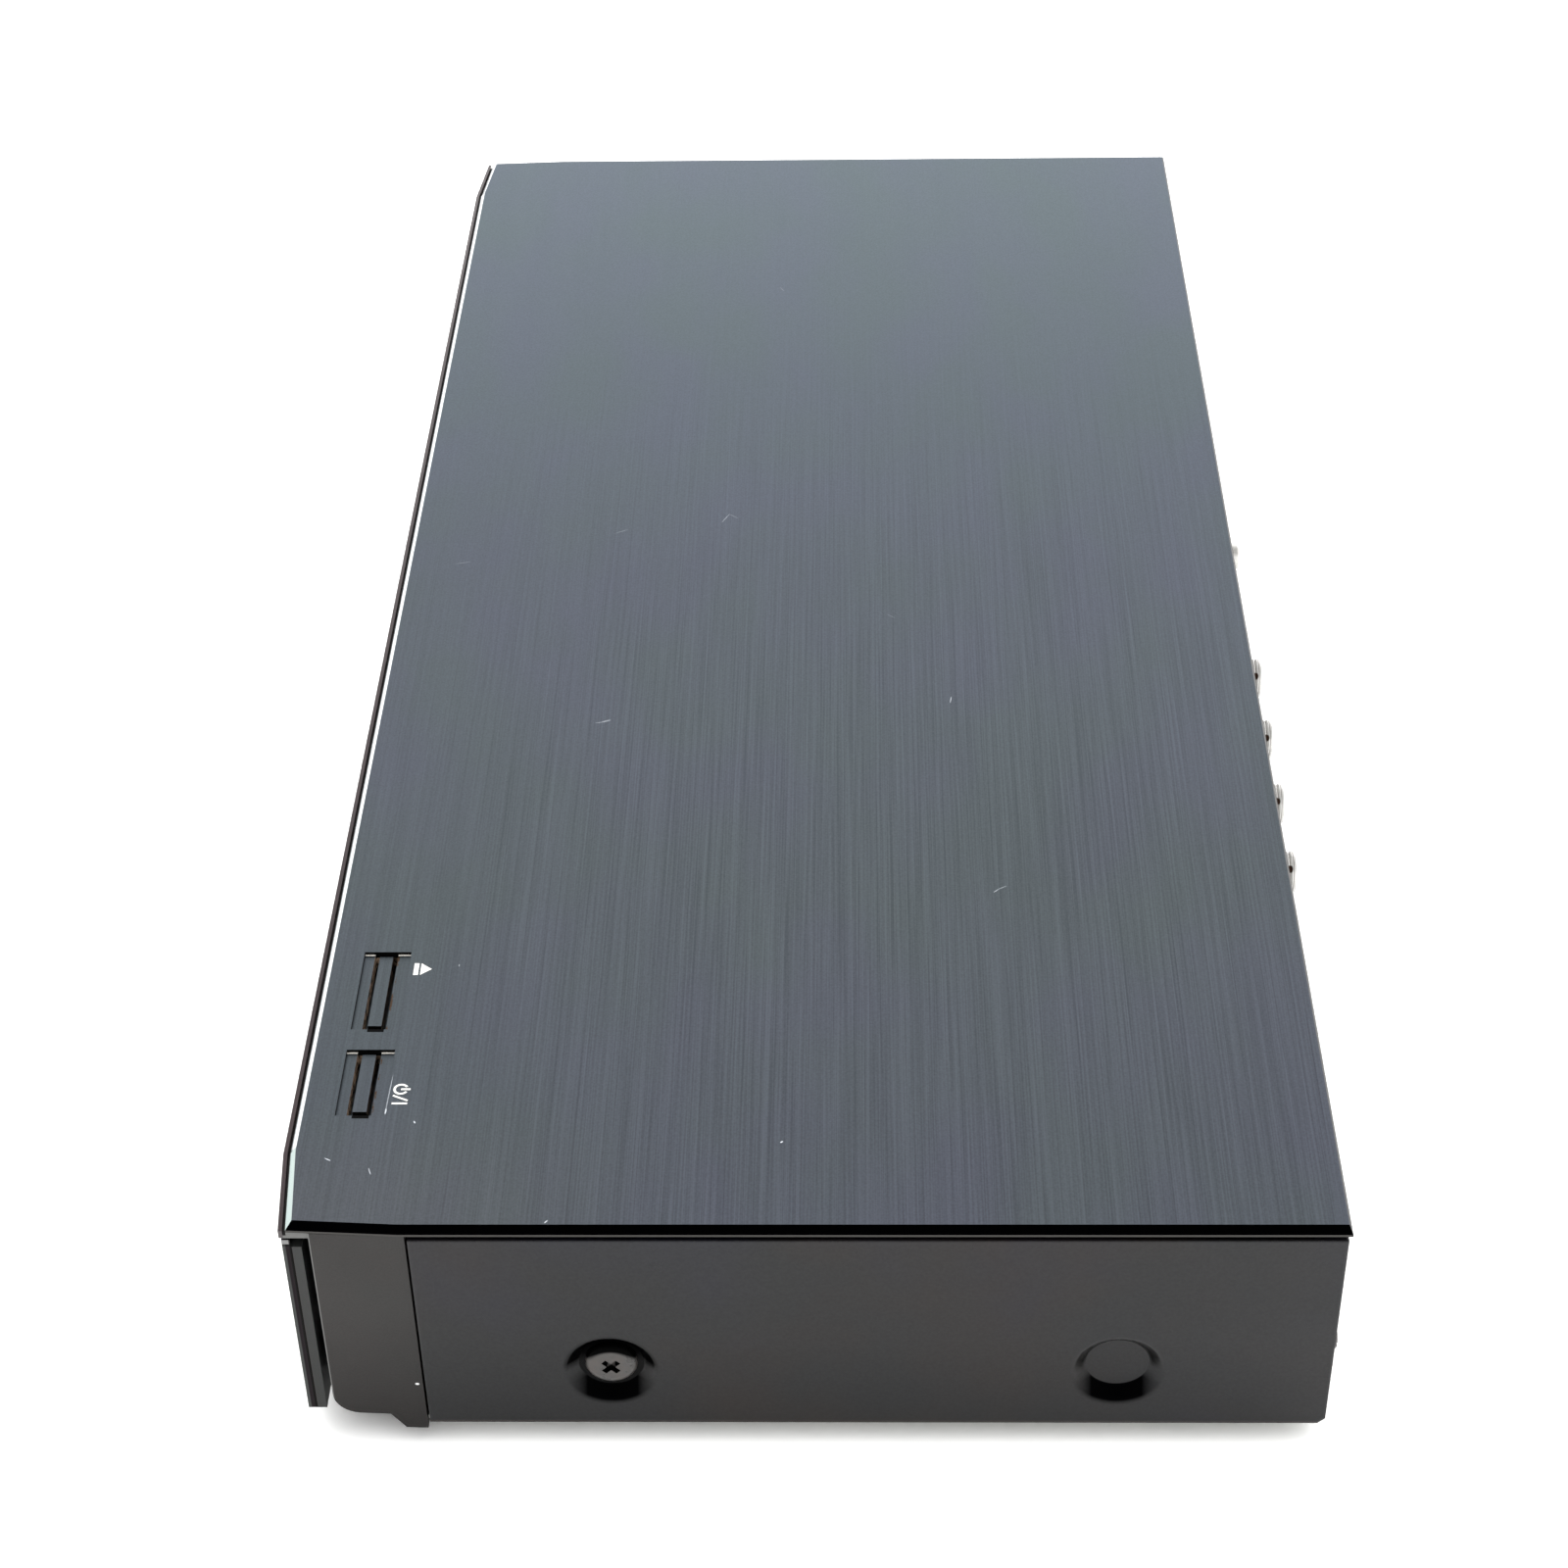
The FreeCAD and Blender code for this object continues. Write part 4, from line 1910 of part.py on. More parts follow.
def make_belt_gear(s, p):
    """Belt wheel with its pinion above."""
    x, y = belt_wheel_place(s, p)
    bore = s.shaft_radius + s.hinge_bore_gap
    wheel_high = s.belt_wheel_height + s.belt_wheel_thickness
    high = s.tray_bottom - s.run_gap
    body = new_body()
    spin(body, grooved_outline(s, s.belt_wheel_radius, bore, s.belt_wheel_height, s.belt_wheel_thickness))
    pad(body, "XY", [Circle(0, 0, s.pinion_radius), Circle(0, 0, bore)], wheel_high, high)
    toothed(body, s.pinion_radius, wheel_high, high, PINION_TEETH, s.tooth_depth)
    place(body, x, y, 0)
    return node("belt_gear", body)


def make_motor_pulley(s, p):
    """Small belt pulley on the loading motor's shaft."""
    x, y = motor_place(s, p)
    body = new_body()
    spin(body, grooved_outline(s, s.motor_pulley_radius, 0, s.belt_wheel_height, s.belt_wheel_thickness))
    shaft_low = s.belt_wheel_height - s.shaft_stub
    pad(body, "XY", [Circle(0, 0, s.shaft_radius)], shaft_low, s.belt_wheel_height)
    place(body, x, y, 0)
    return node("motor_pulley", body)


def make_loading_motor(s, p):
    """Motor that opens and closes the tray."""
    x, y = motor_place(s, p)
    low = s.board_height + s.drive_wall
    high = s.belt_wheel_height - s.run_gap
    case = rod(x, y, low, s.loading_motor_radius, high - low)
    bore = rod(x, y, s.belt_wheel_height - s.shaft_stub - s.run_gap, s.shaft_radius + s.hinge_bore_gap,
               s.shaft_stub + s.run_gap + CUT_OVERRUN)
    return node("loading_motor", cut(case, [bore]))


def root(size):
    """The square root of a size."""
    return Size(size.value ** 0.5, f"sqrt({size.text})")


def make_loading_belt(s, p):
    """Square rubber belt round the motor pulley and the belt wheel."""
    wheel_x, y = belt_wheel_place(s, p)
    motor_x = motor_place(s, p)[0]
    middle = s.belt_wheel_height + s.belt_wheel_thickness / 2
    low, high = middle - s.belt_size / 2, middle + s.belt_size / 2
    step = s.belt_wheel_radius - s.motor_pulley_radius
    slope = step / s.belt_span
    rise = root(1 - slope * slope)
    body = new_body()
    gap = s.run_gap / 2
    for lift, shape in ((-gap, pad), (-s.belt_size - gap, pocket)):
        big, small = s.belt_wheel_radius + lift, s.motor_pulley_radius + lift
        flanks = [(wheel_x + big * slope, y - big * rise), (motor_x + small * slope, y - small * rise),
                  (motor_x + small * slope, y + small * rise), (wheel_x + big * slope, y + big * rise)]
        for loop in (Circle(wheel_x, y, big), Circle(motor_x, y, small), flanks):
            shape(body, "XY", [loop], low, high)
    return node("loading_belt", body)


# Hard disk

def hdd_box(s, p):
    """The four sides of the hard disk in plan."""
    front = p.front + s.hdd_front_depth
    return p.hdd_left, p.hdd_left + s.hdd_width, front, front + s.hdd_length


def platter_place(s, p):
    """The axis of the platters."""
    y = p.front + s.hdd_front_depth + s.hdd_wall + s.platter_rim_gap + s.platter_radius
    return p.hdd_x, y


def make_hdd_base(s, p):
    """Cast base of the hard disk."""
    left, right, front, rear = hdd_box(s, p)
    wall = s.hdd_wall
    high = s.hdd_bottom + s.hdd_height - s.hdd_lid
    body = new_body()
    pad(body, "XY", [rect(left, right, front, rear)], s.hdd_bottom, high)
    pocket(body, "XY", [rect(left + wall, right - wall, front + wall, rear - wall)],
           s.hdd_bottom + s.hdd_floor, high)
    x, y = platter_place(s, p)
    pad(body, "XY", [Circle(x, y, s.shaft_radius * 2)], s.hdd_bottom + s.hdd_floor, platter_level(s, 0))
    ax, ay = arm_place(s, p)
    pad(body, "XY", [Circle(ax, ay, s.shaft_radius * 2)], s.hdd_bottom + s.hdd_floor, arm_level(s, 0))
    return node("hdd_base", body)


def platter_level(s, index):
    """The underside of one platter."""
    pitch = s.platter_thickness + s.platter_gap
    return s.hdd_bottom + s.hdd_floor + s.platter_gap + pitch * index


def arm_level(s, index):
    """The underside of one arm, midway below a platter."""
    return platter_level(s, index) - (s.platter_gap + s.arm_thickness) / 2


def arm_place(s, p):
    """The pivot of the arms."""
    return p.hdd_x - s.arm_pivot_shift, p.front + s.arm_pivot_depth


def make_hdd_cover(s, p):
    """Steel lid of the hard disk."""
    left, right, front, rear = hdd_box(s, p)
    high = s.hdd_bottom + s.hdd_height
    lid = box(left, right, front, rear, high - s.hdd_lid, high)
    return node("hdd_cover", lid)


def make_hdd_platters(s, p):
    """Two platters on their hub."""
    x, y = platter_place(s, p)
    low, upper = platter_level(s, 0), platter_level(s, 1)
    thick = s.platter_thickness
    bore = s.shaft_radius * 2 + s.hinge_bore_gap
    start = s.hdd_bottom + s.hdd_floor + s.run_gap
    body = new_body()
    hub, rim = s.platter_hub_radius, s.platter_radius
    spin(body, [(bore, start), (hub, start), (hub, low), (rim, low), (rim, low + thick),
                (hub, low + thick), (hub, upper), (rim, upper), (rim, upper + thick), (0, upper + thick),
                (0, low + s.run_gap), (bore, low + s.run_gap)])
    place(body, x, y, 0)
    return node("hdd_platters", body)


def make_hdd_arm(s, p):
    """Three arms and the coil on one pivot."""
    x, y = arm_place(s, p)
    body = new_body()
    bore = s.shaft_radius * 2 + s.hinge_bore_gap
    start = s.hdd_bottom + s.hdd_floor + s.run_gap
    top = arm_level(s, ARM_COUNT - 1) + s.arm_thickness
    spin(body, [(bore, start), (s.arm_pivot_radius, start), (s.arm_pivot_radius, top), (0, top),
                (0, arm_level(s, 0) + s.run_gap), (bore, arm_level(s, 0) + s.run_gap)])
    half_root, half_tip, half_coil = s.arm_width / 2, s.arm_tip_width / 2, s.coil_width / 2
    blade = [(-half_root, 0), (-half_tip, -s.arm_length), (half_tip, -s.arm_length), (half_root, 0)]
    coil = [(-half_root, 0), (half_root, 0), (half_coil, s.coil_length), (-half_coil, s.coil_length)]
    for i in range(ARM_COUNT):
        low = arm_level(s, i)
        pad(body, "XY", [blade], low, low + s.arm_thickness)
    low = arm_level(s, 1)
    pad(body, "XY", [coil], low, low + s.arm_thickness)
    place(body, x, y, 0)
    return node("hdd_arm", body)


def make_hdd_bracket(s, p):
    """Bent steel bracket that holds the hard disk above the main board."""
    left, right, front, rear = hdd_box(s, p)
    sheet_size = s.bracket_sheet
    low = s.hdd_bottom - sheet_size
    gap = s.bracket_leg_gap
    rim = s.bracket_rim
    body = new_body()
    pad(body, "XY", [rect(left - gap, right + gap, front, rear),
                     rect(left + rim, right - rim, front + rim, rear - rim)], low, s.hdd_bottom)
    for side, edge in ((-1, left - gap), (1, right + gap)):
        for y in (front + s.bracket_leg_inset, rear - s.bracket_leg_inset - s.bracket_foot):
            ends = sorted((edge, edge + sheet_size * side), key=lambda size: size.value)
            pad(body, "XY", [rect(*ends, y, y + s.bracket_foot)], p.floor_top, s.hdd_bottom)
            ends = sorted((edge, edge + s.bracket_toe * side), key=lambda size: size.value)
            pad(body, "XY", [rect(*ends, y, y + s.bracket_foot)], p.floor_top, p.floor_top + sheet_size)
    return node("hdd_bracket", body)


# Flat cables

def ribbon(s, plane, route, low, high):
    """A flat cable of even thickness that bends at 45 degrees, standing on its end."""
    thick = s.ribbon_thickness
    start_a, start_b, bend, end_a, end_b = route
    give = thick * (2 - root(as_size(2)))
    toward = 1 if as_size(end_a).value > as_size(start_a).value else -1
    bend = bend * toward
    thick_a = thick * toward
    give_a = give * toward / 2
    body = new_body()
    pad(body, plane, [[(start_a, start_b), (end_a - bend, start_b), (end_a, start_b - bend * toward),
                       (end_a, end_b), (end_a + thick_a, end_b),
                       (end_a + thick_a, start_b - bend * toward + give / 2),
                       (end_a - bend + give_a, start_b + thick), (start_a, start_b + thick)]], low, high)
    return body


def make_flat_cables(s, p):
    """Four flat cables between the boards, the drive and the hard disk."""
    board_y = p.front + s.front_board_depth + s.board_thickness
    drive_y = p.front + s.drive_rear_depth
    hdd_y = p.front + s.hdd_front_depth + s.hdd_length
    power_y = p.front + s.power_board_front_depth + s.ribbon_inset
    strip_y = p.board_strip + s.ribbon_inset
    rise = s.ribbon_rise
    bend = s.ribbon_bend
    runs = [
        (board_y, p.board_top + rise, bend, power_y, p.board_top, p.front_ribbon_x),
        (drive_y, s.board_height + s.drive_ribbon_rise, bend, strip_y, p.board_top, p.drive_ribbon_x),
        (hdd_y, s.hdd_bottom + s.hdd_floor, bend, hdd_y + s.ribbon_inset, p.board_top, p.hdd_ribbon_x),
    ]
    cables = [ribbon(s, "YZ", run[:5], run[5], run[5] + s.ribbon_width) for run in runs]
    cables.append(make_bridge_ribbon(s, p))
    return node("flat_cables", group(cables))


def make_bridge_ribbon(s, p):
    """The flat cable that arches from the main board to the power board."""
    left = p.main_board_right - s.ribbon_inset
    right = p.power_board_left + s.ribbon_inset
    thick, bend = s.ribbon_thickness, s.ribbon_bend
    low, high = p.board_top, p.board_top + s.bridge_rise
    y = p.front + s.bridge_depth
    body = new_body()
    give = thick * (2 - root(as_size(2))) / 2
    pad(body, "XZ", [[(left, low), (left, high - bend), (left + bend, high), (right - bend, high),
                      (right, high - bend), (right, low), (right + thick, low),
                      (right + thick, high - bend + give), (right - bend + give, high + thick),
                      (left + bend - give, high + thick), (left - thick, high - bend + give),
                      (left - thick, low)]], y, y + s.ribbon_width)
    return body


# Checks and files

def check_document():
    """Stop if anything in the document failed, or a sub-part is not sound."""
    for thing in doc.Objects:
        if "Invalid" in thing.State or "Error" in thing.State:
            raise RuntimeError(f"{thing.Name} failed: {thing.State}")
        if thing.TypeId in ("PartDesign::Pocket", "PartDesign::Groove"):
            before = thing.BaseFeature.Shape.Volume
            if before - thing.Shape.Volume < 0.001:
                raise RuntimeError(f"{thing.Name} in {thing.getParent().Label} takes nothing away")
    for name, thing in nodes:
        if thing.Shape.isNull() or not thing.Shape.isValid():
            raise RuntimeError(f"{name} has no sound shape")
    if len(nodes) > NODE_LIMIT:
        raise RuntimeError("too many nodes")


def write_nodes():
    """Write one file for each sub-part."""
    os.makedirs("parts", exist_ok=True)
    for name, thing in nodes:
        thing.Shape.exportStep(f"parts/{name}.step")
        print(f"{name}: {len(thing.Shape.Solids)} solids, {thing.Shape.Volume:.0f} mm3")


def build():
    """Build every sub-part."""
    s = fill_sheet()
    p = shared_places(s)
    for make in (make_top_panel, make_front_bezel, make_lip_trim, make_door_panel, make_door_backing,
                 make_hinge_pins, make_front_fascia, make_tray_lid, make_display_window, make_wrap_cover,
                 make_chassis_base, make_rear_panel, make_feet, make_side_screws, make_case_screws,
                 make_key_board, make_tact_switches, make_front_board, make_display_module, make_main_board,
                 make_main_chips, make_heat_sink, make_tuner_can, make_antenna_sockets, make_av_jacks,
                 make_hdmi_port, make_lan_port, make_ac_inlet, make_power_board, make_transformer,
                 make_capacitors, make_fan_frame, make_fan_rotor, make_drive_base, make_drive_cover,
                 make_disc_tray, make_clamper, make_spindle_motor, make_turntable, make_traverse_frame,
                 make_guide_rods, make_lead_screw, make_sled_motor, make_pickup_sled, make_pickup_lens,
                 make_tray_gear, make_belt_gear, make_motor_pulley, make_loading_motor, make_loading_belt,
                 make_hdd_base, make_hdd_cover, make_hdd_platters, make_hdd_arm, make_hdd_bracket,
                 make_flat_cables):
        make(s, p)
    for name in button_places(s, p):
        make_button(s, p, name)
    make_card_socket(s, p, "sd_slot", p.sd_slot_x, s.sd_slot_width, s.sd_slot_height, s.sd_slot_length,
                     s.sd_mouth_width, s.sd_mouth_height)
    make_card_socket(s, p, "card_reader", p.card_reader_x, s.card_reader_width, s.card_reader_height,
                     s.card_reader_length, s.card_mouth_width, s.card_mouth_height)
    doc.recompute()
    check_document()
    write_nodes()


build()
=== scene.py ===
"""Looks of a disc recorder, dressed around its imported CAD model."""
import logging
import math
from collections.abc import Callable
from dataclasses import dataclass
from enum import Enum

import bpy
from mathutils import Matrix, Vector


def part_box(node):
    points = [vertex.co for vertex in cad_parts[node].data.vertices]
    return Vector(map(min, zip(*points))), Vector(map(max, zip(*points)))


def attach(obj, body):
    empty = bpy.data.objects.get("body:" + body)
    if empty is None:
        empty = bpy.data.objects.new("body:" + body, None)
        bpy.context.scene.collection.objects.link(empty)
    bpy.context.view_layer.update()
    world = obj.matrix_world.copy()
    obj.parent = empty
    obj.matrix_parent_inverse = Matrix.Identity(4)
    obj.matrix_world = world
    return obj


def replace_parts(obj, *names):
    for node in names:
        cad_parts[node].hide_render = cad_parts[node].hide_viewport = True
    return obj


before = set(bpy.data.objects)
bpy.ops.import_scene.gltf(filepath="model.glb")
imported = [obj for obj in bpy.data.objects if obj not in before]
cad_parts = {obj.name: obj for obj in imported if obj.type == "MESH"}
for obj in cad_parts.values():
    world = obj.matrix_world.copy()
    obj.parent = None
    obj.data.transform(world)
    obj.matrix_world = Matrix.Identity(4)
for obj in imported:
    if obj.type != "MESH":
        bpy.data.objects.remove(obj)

logging.basicConfig(level=logging.INFO, format="%(message)s")
LOG = logging.getLogger("recorder")

Socket = bpy.types.NodeSocket
Colour = tuple

MM = 0.001
ORIGIN = (0.0, 0.0, 0.0)
PURE_WHITE = (1.0, 1.0, 1.0)
UNSCALED = (1.0, 1.0, 1.0)
PLATE_TOP = 0.059
MOTE_STRETCH = (420.0, 900.0, 900.0)
SPOT_RIM = (1.15, 0.85)


def lightened(colour: Colour, factor: float) -> Colour:
    """A colour with each part multiplied by a factor."""
    return tuple(part * factor for part in colour)


# Node graphs

class Graph:
    """The node tree of a material or of the world, built from its sources to its output."""

    def __init__(self, owner: bpy.types.ID) -> None:
        """Start an empty tree.

        Args:
            owner: The new material or world.
        """
        self.owner = owner
        owner.use_nodes = True
        self.tree = owner.node_tree
        self.tree.nodes.clear()
        self._place: Socket | None = None

    @classmethod
    def of_material(cls, name: str) -> "Graph":
        """The empty graph of a new material."""
        return cls(bpy.data.materials.new(name))

    def node(self, kind: str, inputs: dict | None = None, **settings) -> bpy.types.Node:
        """Add one node.

        Args:
            kind: Node type.
            inputs: Socket name or index to a value or a socket.
            settings: Properties of the node.

        Returns:
            The new node.
        """
        made = self.tree.nodes.new(kind)
        for key, value in settings.items():
            setattr(made, key, value)
        for key, value in (inputs or {}).items():
            self.feed(made.inputs[key], value)
        return made

    def feed(self, socket: Socket, value: object) -> None:
        """Link a socket into another, or set it to a value.

        Args:
            socket: The input.
            value: A socket, a number, or a colour of three or four numbers.
        """
        if isinstance(value, Socket):
            self.tree.links.new(value, socket)
        elif socket.type == "RGBA" and len(value) == 3:
            socket.default_value = (*value, 1.0)
        else:
            socket.default_value = value

    def place(self) -> Socket:
        """The object coordinates, in metres in the part's frame."""
        if self._place is None:
            self._place = self.node("ShaderNodeTexCoord").outputs["Object"]
        return self._place

    def split(self, vector: Socket) -> tuple:
        """The X, Y and Z sockets of a vector."""
        return tuple(self.node("ShaderNodeSeparateXYZ", {0: vector}).outputs)

    def axes(self) -> tuple:
        """The X, Y and Z sockets of the object coordinates."""
        return self.split(self.place())

    def facing(self) -> tuple:
        """The X, Y and Z sockets of the surface normal in the object's own frame."""
        return self.split(self.node("ShaderNodeTexCoord").outputs["Normal"])

    def stretch(self, scale: tuple, offset: tuple = ORIGIN) -> Socket:
        """The object coordinates scaled along each axis and then shifted."""
        values = {"Vector": self.place(), "Scale": scale, "Location": offset}
        return self.node("ShaderNodeMapping", values).outputs[0]

    def noise(self, scale: float, detail: float = 3.0, rough: float = 0.5,
              at: Socket | None = None) -> Socket:
        """A noise value from 0 to 1.

        Args:
            scale: Scale of the noise.
            detail: Number of octaves.
            rough: Weight of the finer octaves.
            at: Where to read it, instead of the object coordinates.

        Returns:
            The value socket.
        """
        where = self.place() if at is None else at
        values = {"Vector": where, "Scale": scale, "Detail": detail, "Roughness": rough}
        return self.node("ShaderNodeTexNoise", values).outputs["Fac"]

    def calc(self, operation: str, *values: object, clamp: bool = False) -> Socket:
        """One step of arithmetic.

        Args:
            operation: Name of the operation.
            values: Sockets or numbers, in order.
            clamp: Whether to keep the result from 0 to 1.

        Returns:
            The result socket.
        """
        inputs = dict(enumerate(values))
        return self.node("ShaderNodeMath", inputs, operation=operation, use_clamp=clamp).outputs[0]

    def chain(self, operation: str, values: list | tuple) -> Socket:
        """Several values taken together by one operation, each with the result so far.

        Args:
            operation: Name of the operation.
            values: Sockets or numbers, in order.

        Returns:
            The result socket.
        """
        result = values[0]
        for value in values[1:]:
            result = self.calc(operation, result, value)
        return result

    def times(self, *values: object) -> Socket:
        """Values multiplied together; of masks, 1 where all of them are 1."""
        return self.chain("MULTIPLY", values)

    def most(self, *values: object) -> Socket:
        """The largest of several values; of masks, 1 where any of them is 1."""
        return self.chain("MAXIMUM", values)

    def over(self, value: Socket, limit: float) -> Socket:
        """1 where a value is above a limit, and 0 elsewhere."""
        return self.calc("GREATER_THAN", value, limit)

    def under(self, value: Socket, limit: float) -> Socket:
        """1 where a value is below a limit, and 0 elsewhere."""
        return self.calc("LESS_THAN", value, limit)

    def within(self, value: Socket, low: float, high: float) -> Socket:
        """1 where a value lies between two limits, and 0 elsewhere."""
        return self.times(self.over(value, low), self.under(value, high))

    def span(self, value: Socket, low: float, high: float, start: float = 0.0, end: float = 1.0) -> Socket:
        """A value carried from one range to another, held at its ends.

        Args:
            value: The value socket.
            low: Value that gives start.
            high: Value that gives end.
            start: Result at low.
            end: Result at high.

        Returns:
            The result socket.
        """
        return self.node("ShaderNodeMapRange", dict(enumerate((value, low, high, start, end)))).outputs[0]

    def blend(self, factor: object, first: object, second: object, mode: str = "MIX") -> Socket:
        """Two colours mixed.

        Args:
            factor: Share of the second.
            first: First colour or socket.
            second: Second colour or socket.
            mode: Way to mix them.

        Returns:
            The colour socket.
        """
        values = {0: factor, 6: first, 7: second}
        return self.node("ShaderNodeMix", values, data_type="RGBA", blend_type=mode).outputs[2]

    def tinted(self, colour: object, tint: object) -> Socket:
        """A colour multiplied by another."""
        return self.blend(1.0, colour, tint, "MULTIPLY")

    def layered(self, colour: object, *layers: tuple) -> Socket:
        """A colour with others laid over it in turn.

        Args:
            colour: The lowest colour.
            layers: Pairs of a mask and the colour that it shows.

        Returns:
            The colour socket.
        """
        for mask, cover in layers:
            colour = self.blend(mask, colour, cover)
        return colour

    def ramp(self, value: Socket, stops: tuple | list) -> Socket:
        """A value turned into a colour.

        Args:
            value: The value socket.
            stops: Pairs of position and colour.

        Returns:
            The colour socket.
        """
        made = self.node("ShaderNodeValToRGB", {0: value})
        line = made.color_ramp
        while len(line.elements) < len(stops):
            line.elements.new(0.5)
        for element, (position, colour) in zip(line.elements, stops):
            element.position = position
            element.color = (*colour, 1.0)
        return made.outputs[0]

    def rounded(self, radius: float) -> Socket:
        """The surface normal with its edges rounded off, by a radius in metres."""
        return self.node("ShaderNodeBevel", {"Radius": radius}, samples=6).outputs[0]

    def bump(self, height: Socket, depth: float, radius: float | None = None) -> Socket:
        """A normal tilted by a height.

        Args:
            height: The height socket.
            depth: Depth in metres that a height of 1 stands for.
            radius: Radius in metres that the edges are rounded by.

        Returns:
            The normal socket.
        """
        values = {"Height": height, "Distance": depth, "Strength": 1.0}
        if radius is not None:
            values["Normal"] = self.rounded(radius)
        return self.node("ShaderNodeBump", values).outputs[0]

    def spot(self, centre: tuple, size: tuple, angle: float = 0.0) -> Socket:
        """A mask that is 1 inside an ellipsoid.

        Args:
            centre: Its centre in metres.
            size: Its half lengths in metres.
            angle: Turn about Z in degrees.

        Returns:
            The value socket.
        """
        turn = (0.0, 0.0, math.radians(angle))
        values = {"Vector": self.place(), "Location": centre, "Rotation": turn, "Scale": size}
        inside = self.node("ShaderNodeMapping", values, vector_type="TEXTURE").outputs[0]
        length = self.node("ShaderNodeVectorMath", {0: inside}, operation="LENGTH")
        return self.span(length.outputs["Value"], *SPOT_RIM)

    def close(self, kind: str, shader: Socket) -> bpy.types.ID:
        """Link the last shader into an output node of a kind, and give the material or world."""
        self.node(kind, {0: shader})
        return self.owner

    def finish(self, **values: object) -> bpy.types.Material:
        """End the tree in one shader.

        Args:
            values: Shader inputs, with underscores for the spaces in their names.

        Returns:
            The material.
        """
        inputs = {key.replace("_", " "): value for key, value in values.items()}
        shader = self.node("ShaderNodeBsdfPrincipled", inputs)
        return self.close("ShaderNodeOutputMaterial", shader.outputs[0])


# Finishes

@dataclass(frozen=True)
class Moulding:
    """Moulded plastic: a fine grain, slight clouds of colour and soft edges."""

    name: str
    colour: Colour
    cloud: Colour
    rough: float = 0.5
    grain: float = 0.00002
    coat: float = 0.0
    specular: float = 0.5
    coat_rough: float = 0.06
    cloud_scale: float = 26.0
    grain_scale: float = 2600.0
    wear_scale: float = 70.0
    edge: float = 0.00018

    def build(self) -> bpy.types.Material:
        """Make the material."""
        g = Graph.of_material(self.name)
        clouds = g.noise(self.cloud_scale, 4.0, 0.6)
        fine = g.noise(self.grain_scale, 2.0)
        wear = g.noise(self.wear_scale, 4.0)
        return g.finish(Base_Color=g.blend(g.span(clouds, 0.35, 0.68), self.colour, self.cloud),
                        Roughness=g.span(wear, 0.3, 0.7, self.rough - 0.05, self.rough + 0.06),
                        Normal=g.bump(fine, self.grain, self.edge), Specular_IOR_Level=self.specular,
                        Coat_Weight=self.coat, Coat_Roughness=self.coat_rough)


@dataclass(frozen=True)
class Metal:
    """Bare or plated metal with fine drawn lines along one axis."""

    name: str
    colour: Colour
    shade: Colour
    rough: float = 0.3
    lines: tuple = (12.0, 900.0, 900.0)
    depth: float = 0.000004
    edge: float = 0.00015
    share: float = 1.0
    cloud_scale: float = 34.0

    def build(self) -> bpy.types.Material:
        """Make the material."""
        g = Graph.of_material(self.name)
        lines = g.noise(1.0, 3.0, 0.6, g.stretch(self.lines))
        clouds = g.noise(self.cloud_scale, 4.0, 0.6)
        return g.finish(Base_Color=g.blend(g.span(clouds, 0.35, 0.7), self.colour, self.shade),
                        Metallic=self.share, Normal=g.bump(lines, self.depth, self.edge),
                        Roughness=g.span(lines, 0.3, 0.7, self.rough - 0.06, self.rough + 0.08))


@dataclass(frozen=True)
class DomedOxide:
    """Grey-black oxide of the side screws; the crown that faces up is painted black, a painted dark
    reflection.
    """

    name: str = "domed_oxide"
    colour: Colour = (0.060, 0.057, 0.055)
    warm: Colour = (0.078, 0.068, 0.062)
    # Painted dark reflection: the crown's colour where the head faces up.
    crown: Colour = (0.0010, 0.0010, 0.0010)
    dark_crown_slope: tuple = (0.16, 0.34)
    film_scale: float = 420.0
    shine: float = 0.55
    dark_crown_shine: float = 0.03
    edge: float = 0.00012

    def build(self) -> bpy.types.Material:
        """Make the material."""
        g = Graph.of_material(self.name)
        _, _, up = g.facing()
        film = g.noise(self.film_scale, 3.0)
        # Painted dark reflection: faces that look up are painted black and lose most of their shine.
        black = g.span(up, *self.dark_crown_slope)
        colour = g.layered(self.colour, (g.span(film, 0.35, 0.65), self.warm), (black, self.crown))
        shine = g.times(self.shine, g.span(black, 0.0, 1.0, 1.0, self.dark_crown_shine))
        return g.finish(Base_Color=colour, Roughness=g.span(film, 0.3, 0.7, 0.26, 0.36),
                        Specular_IOR_Level=shine, Normal=g.rounded(self.edge))


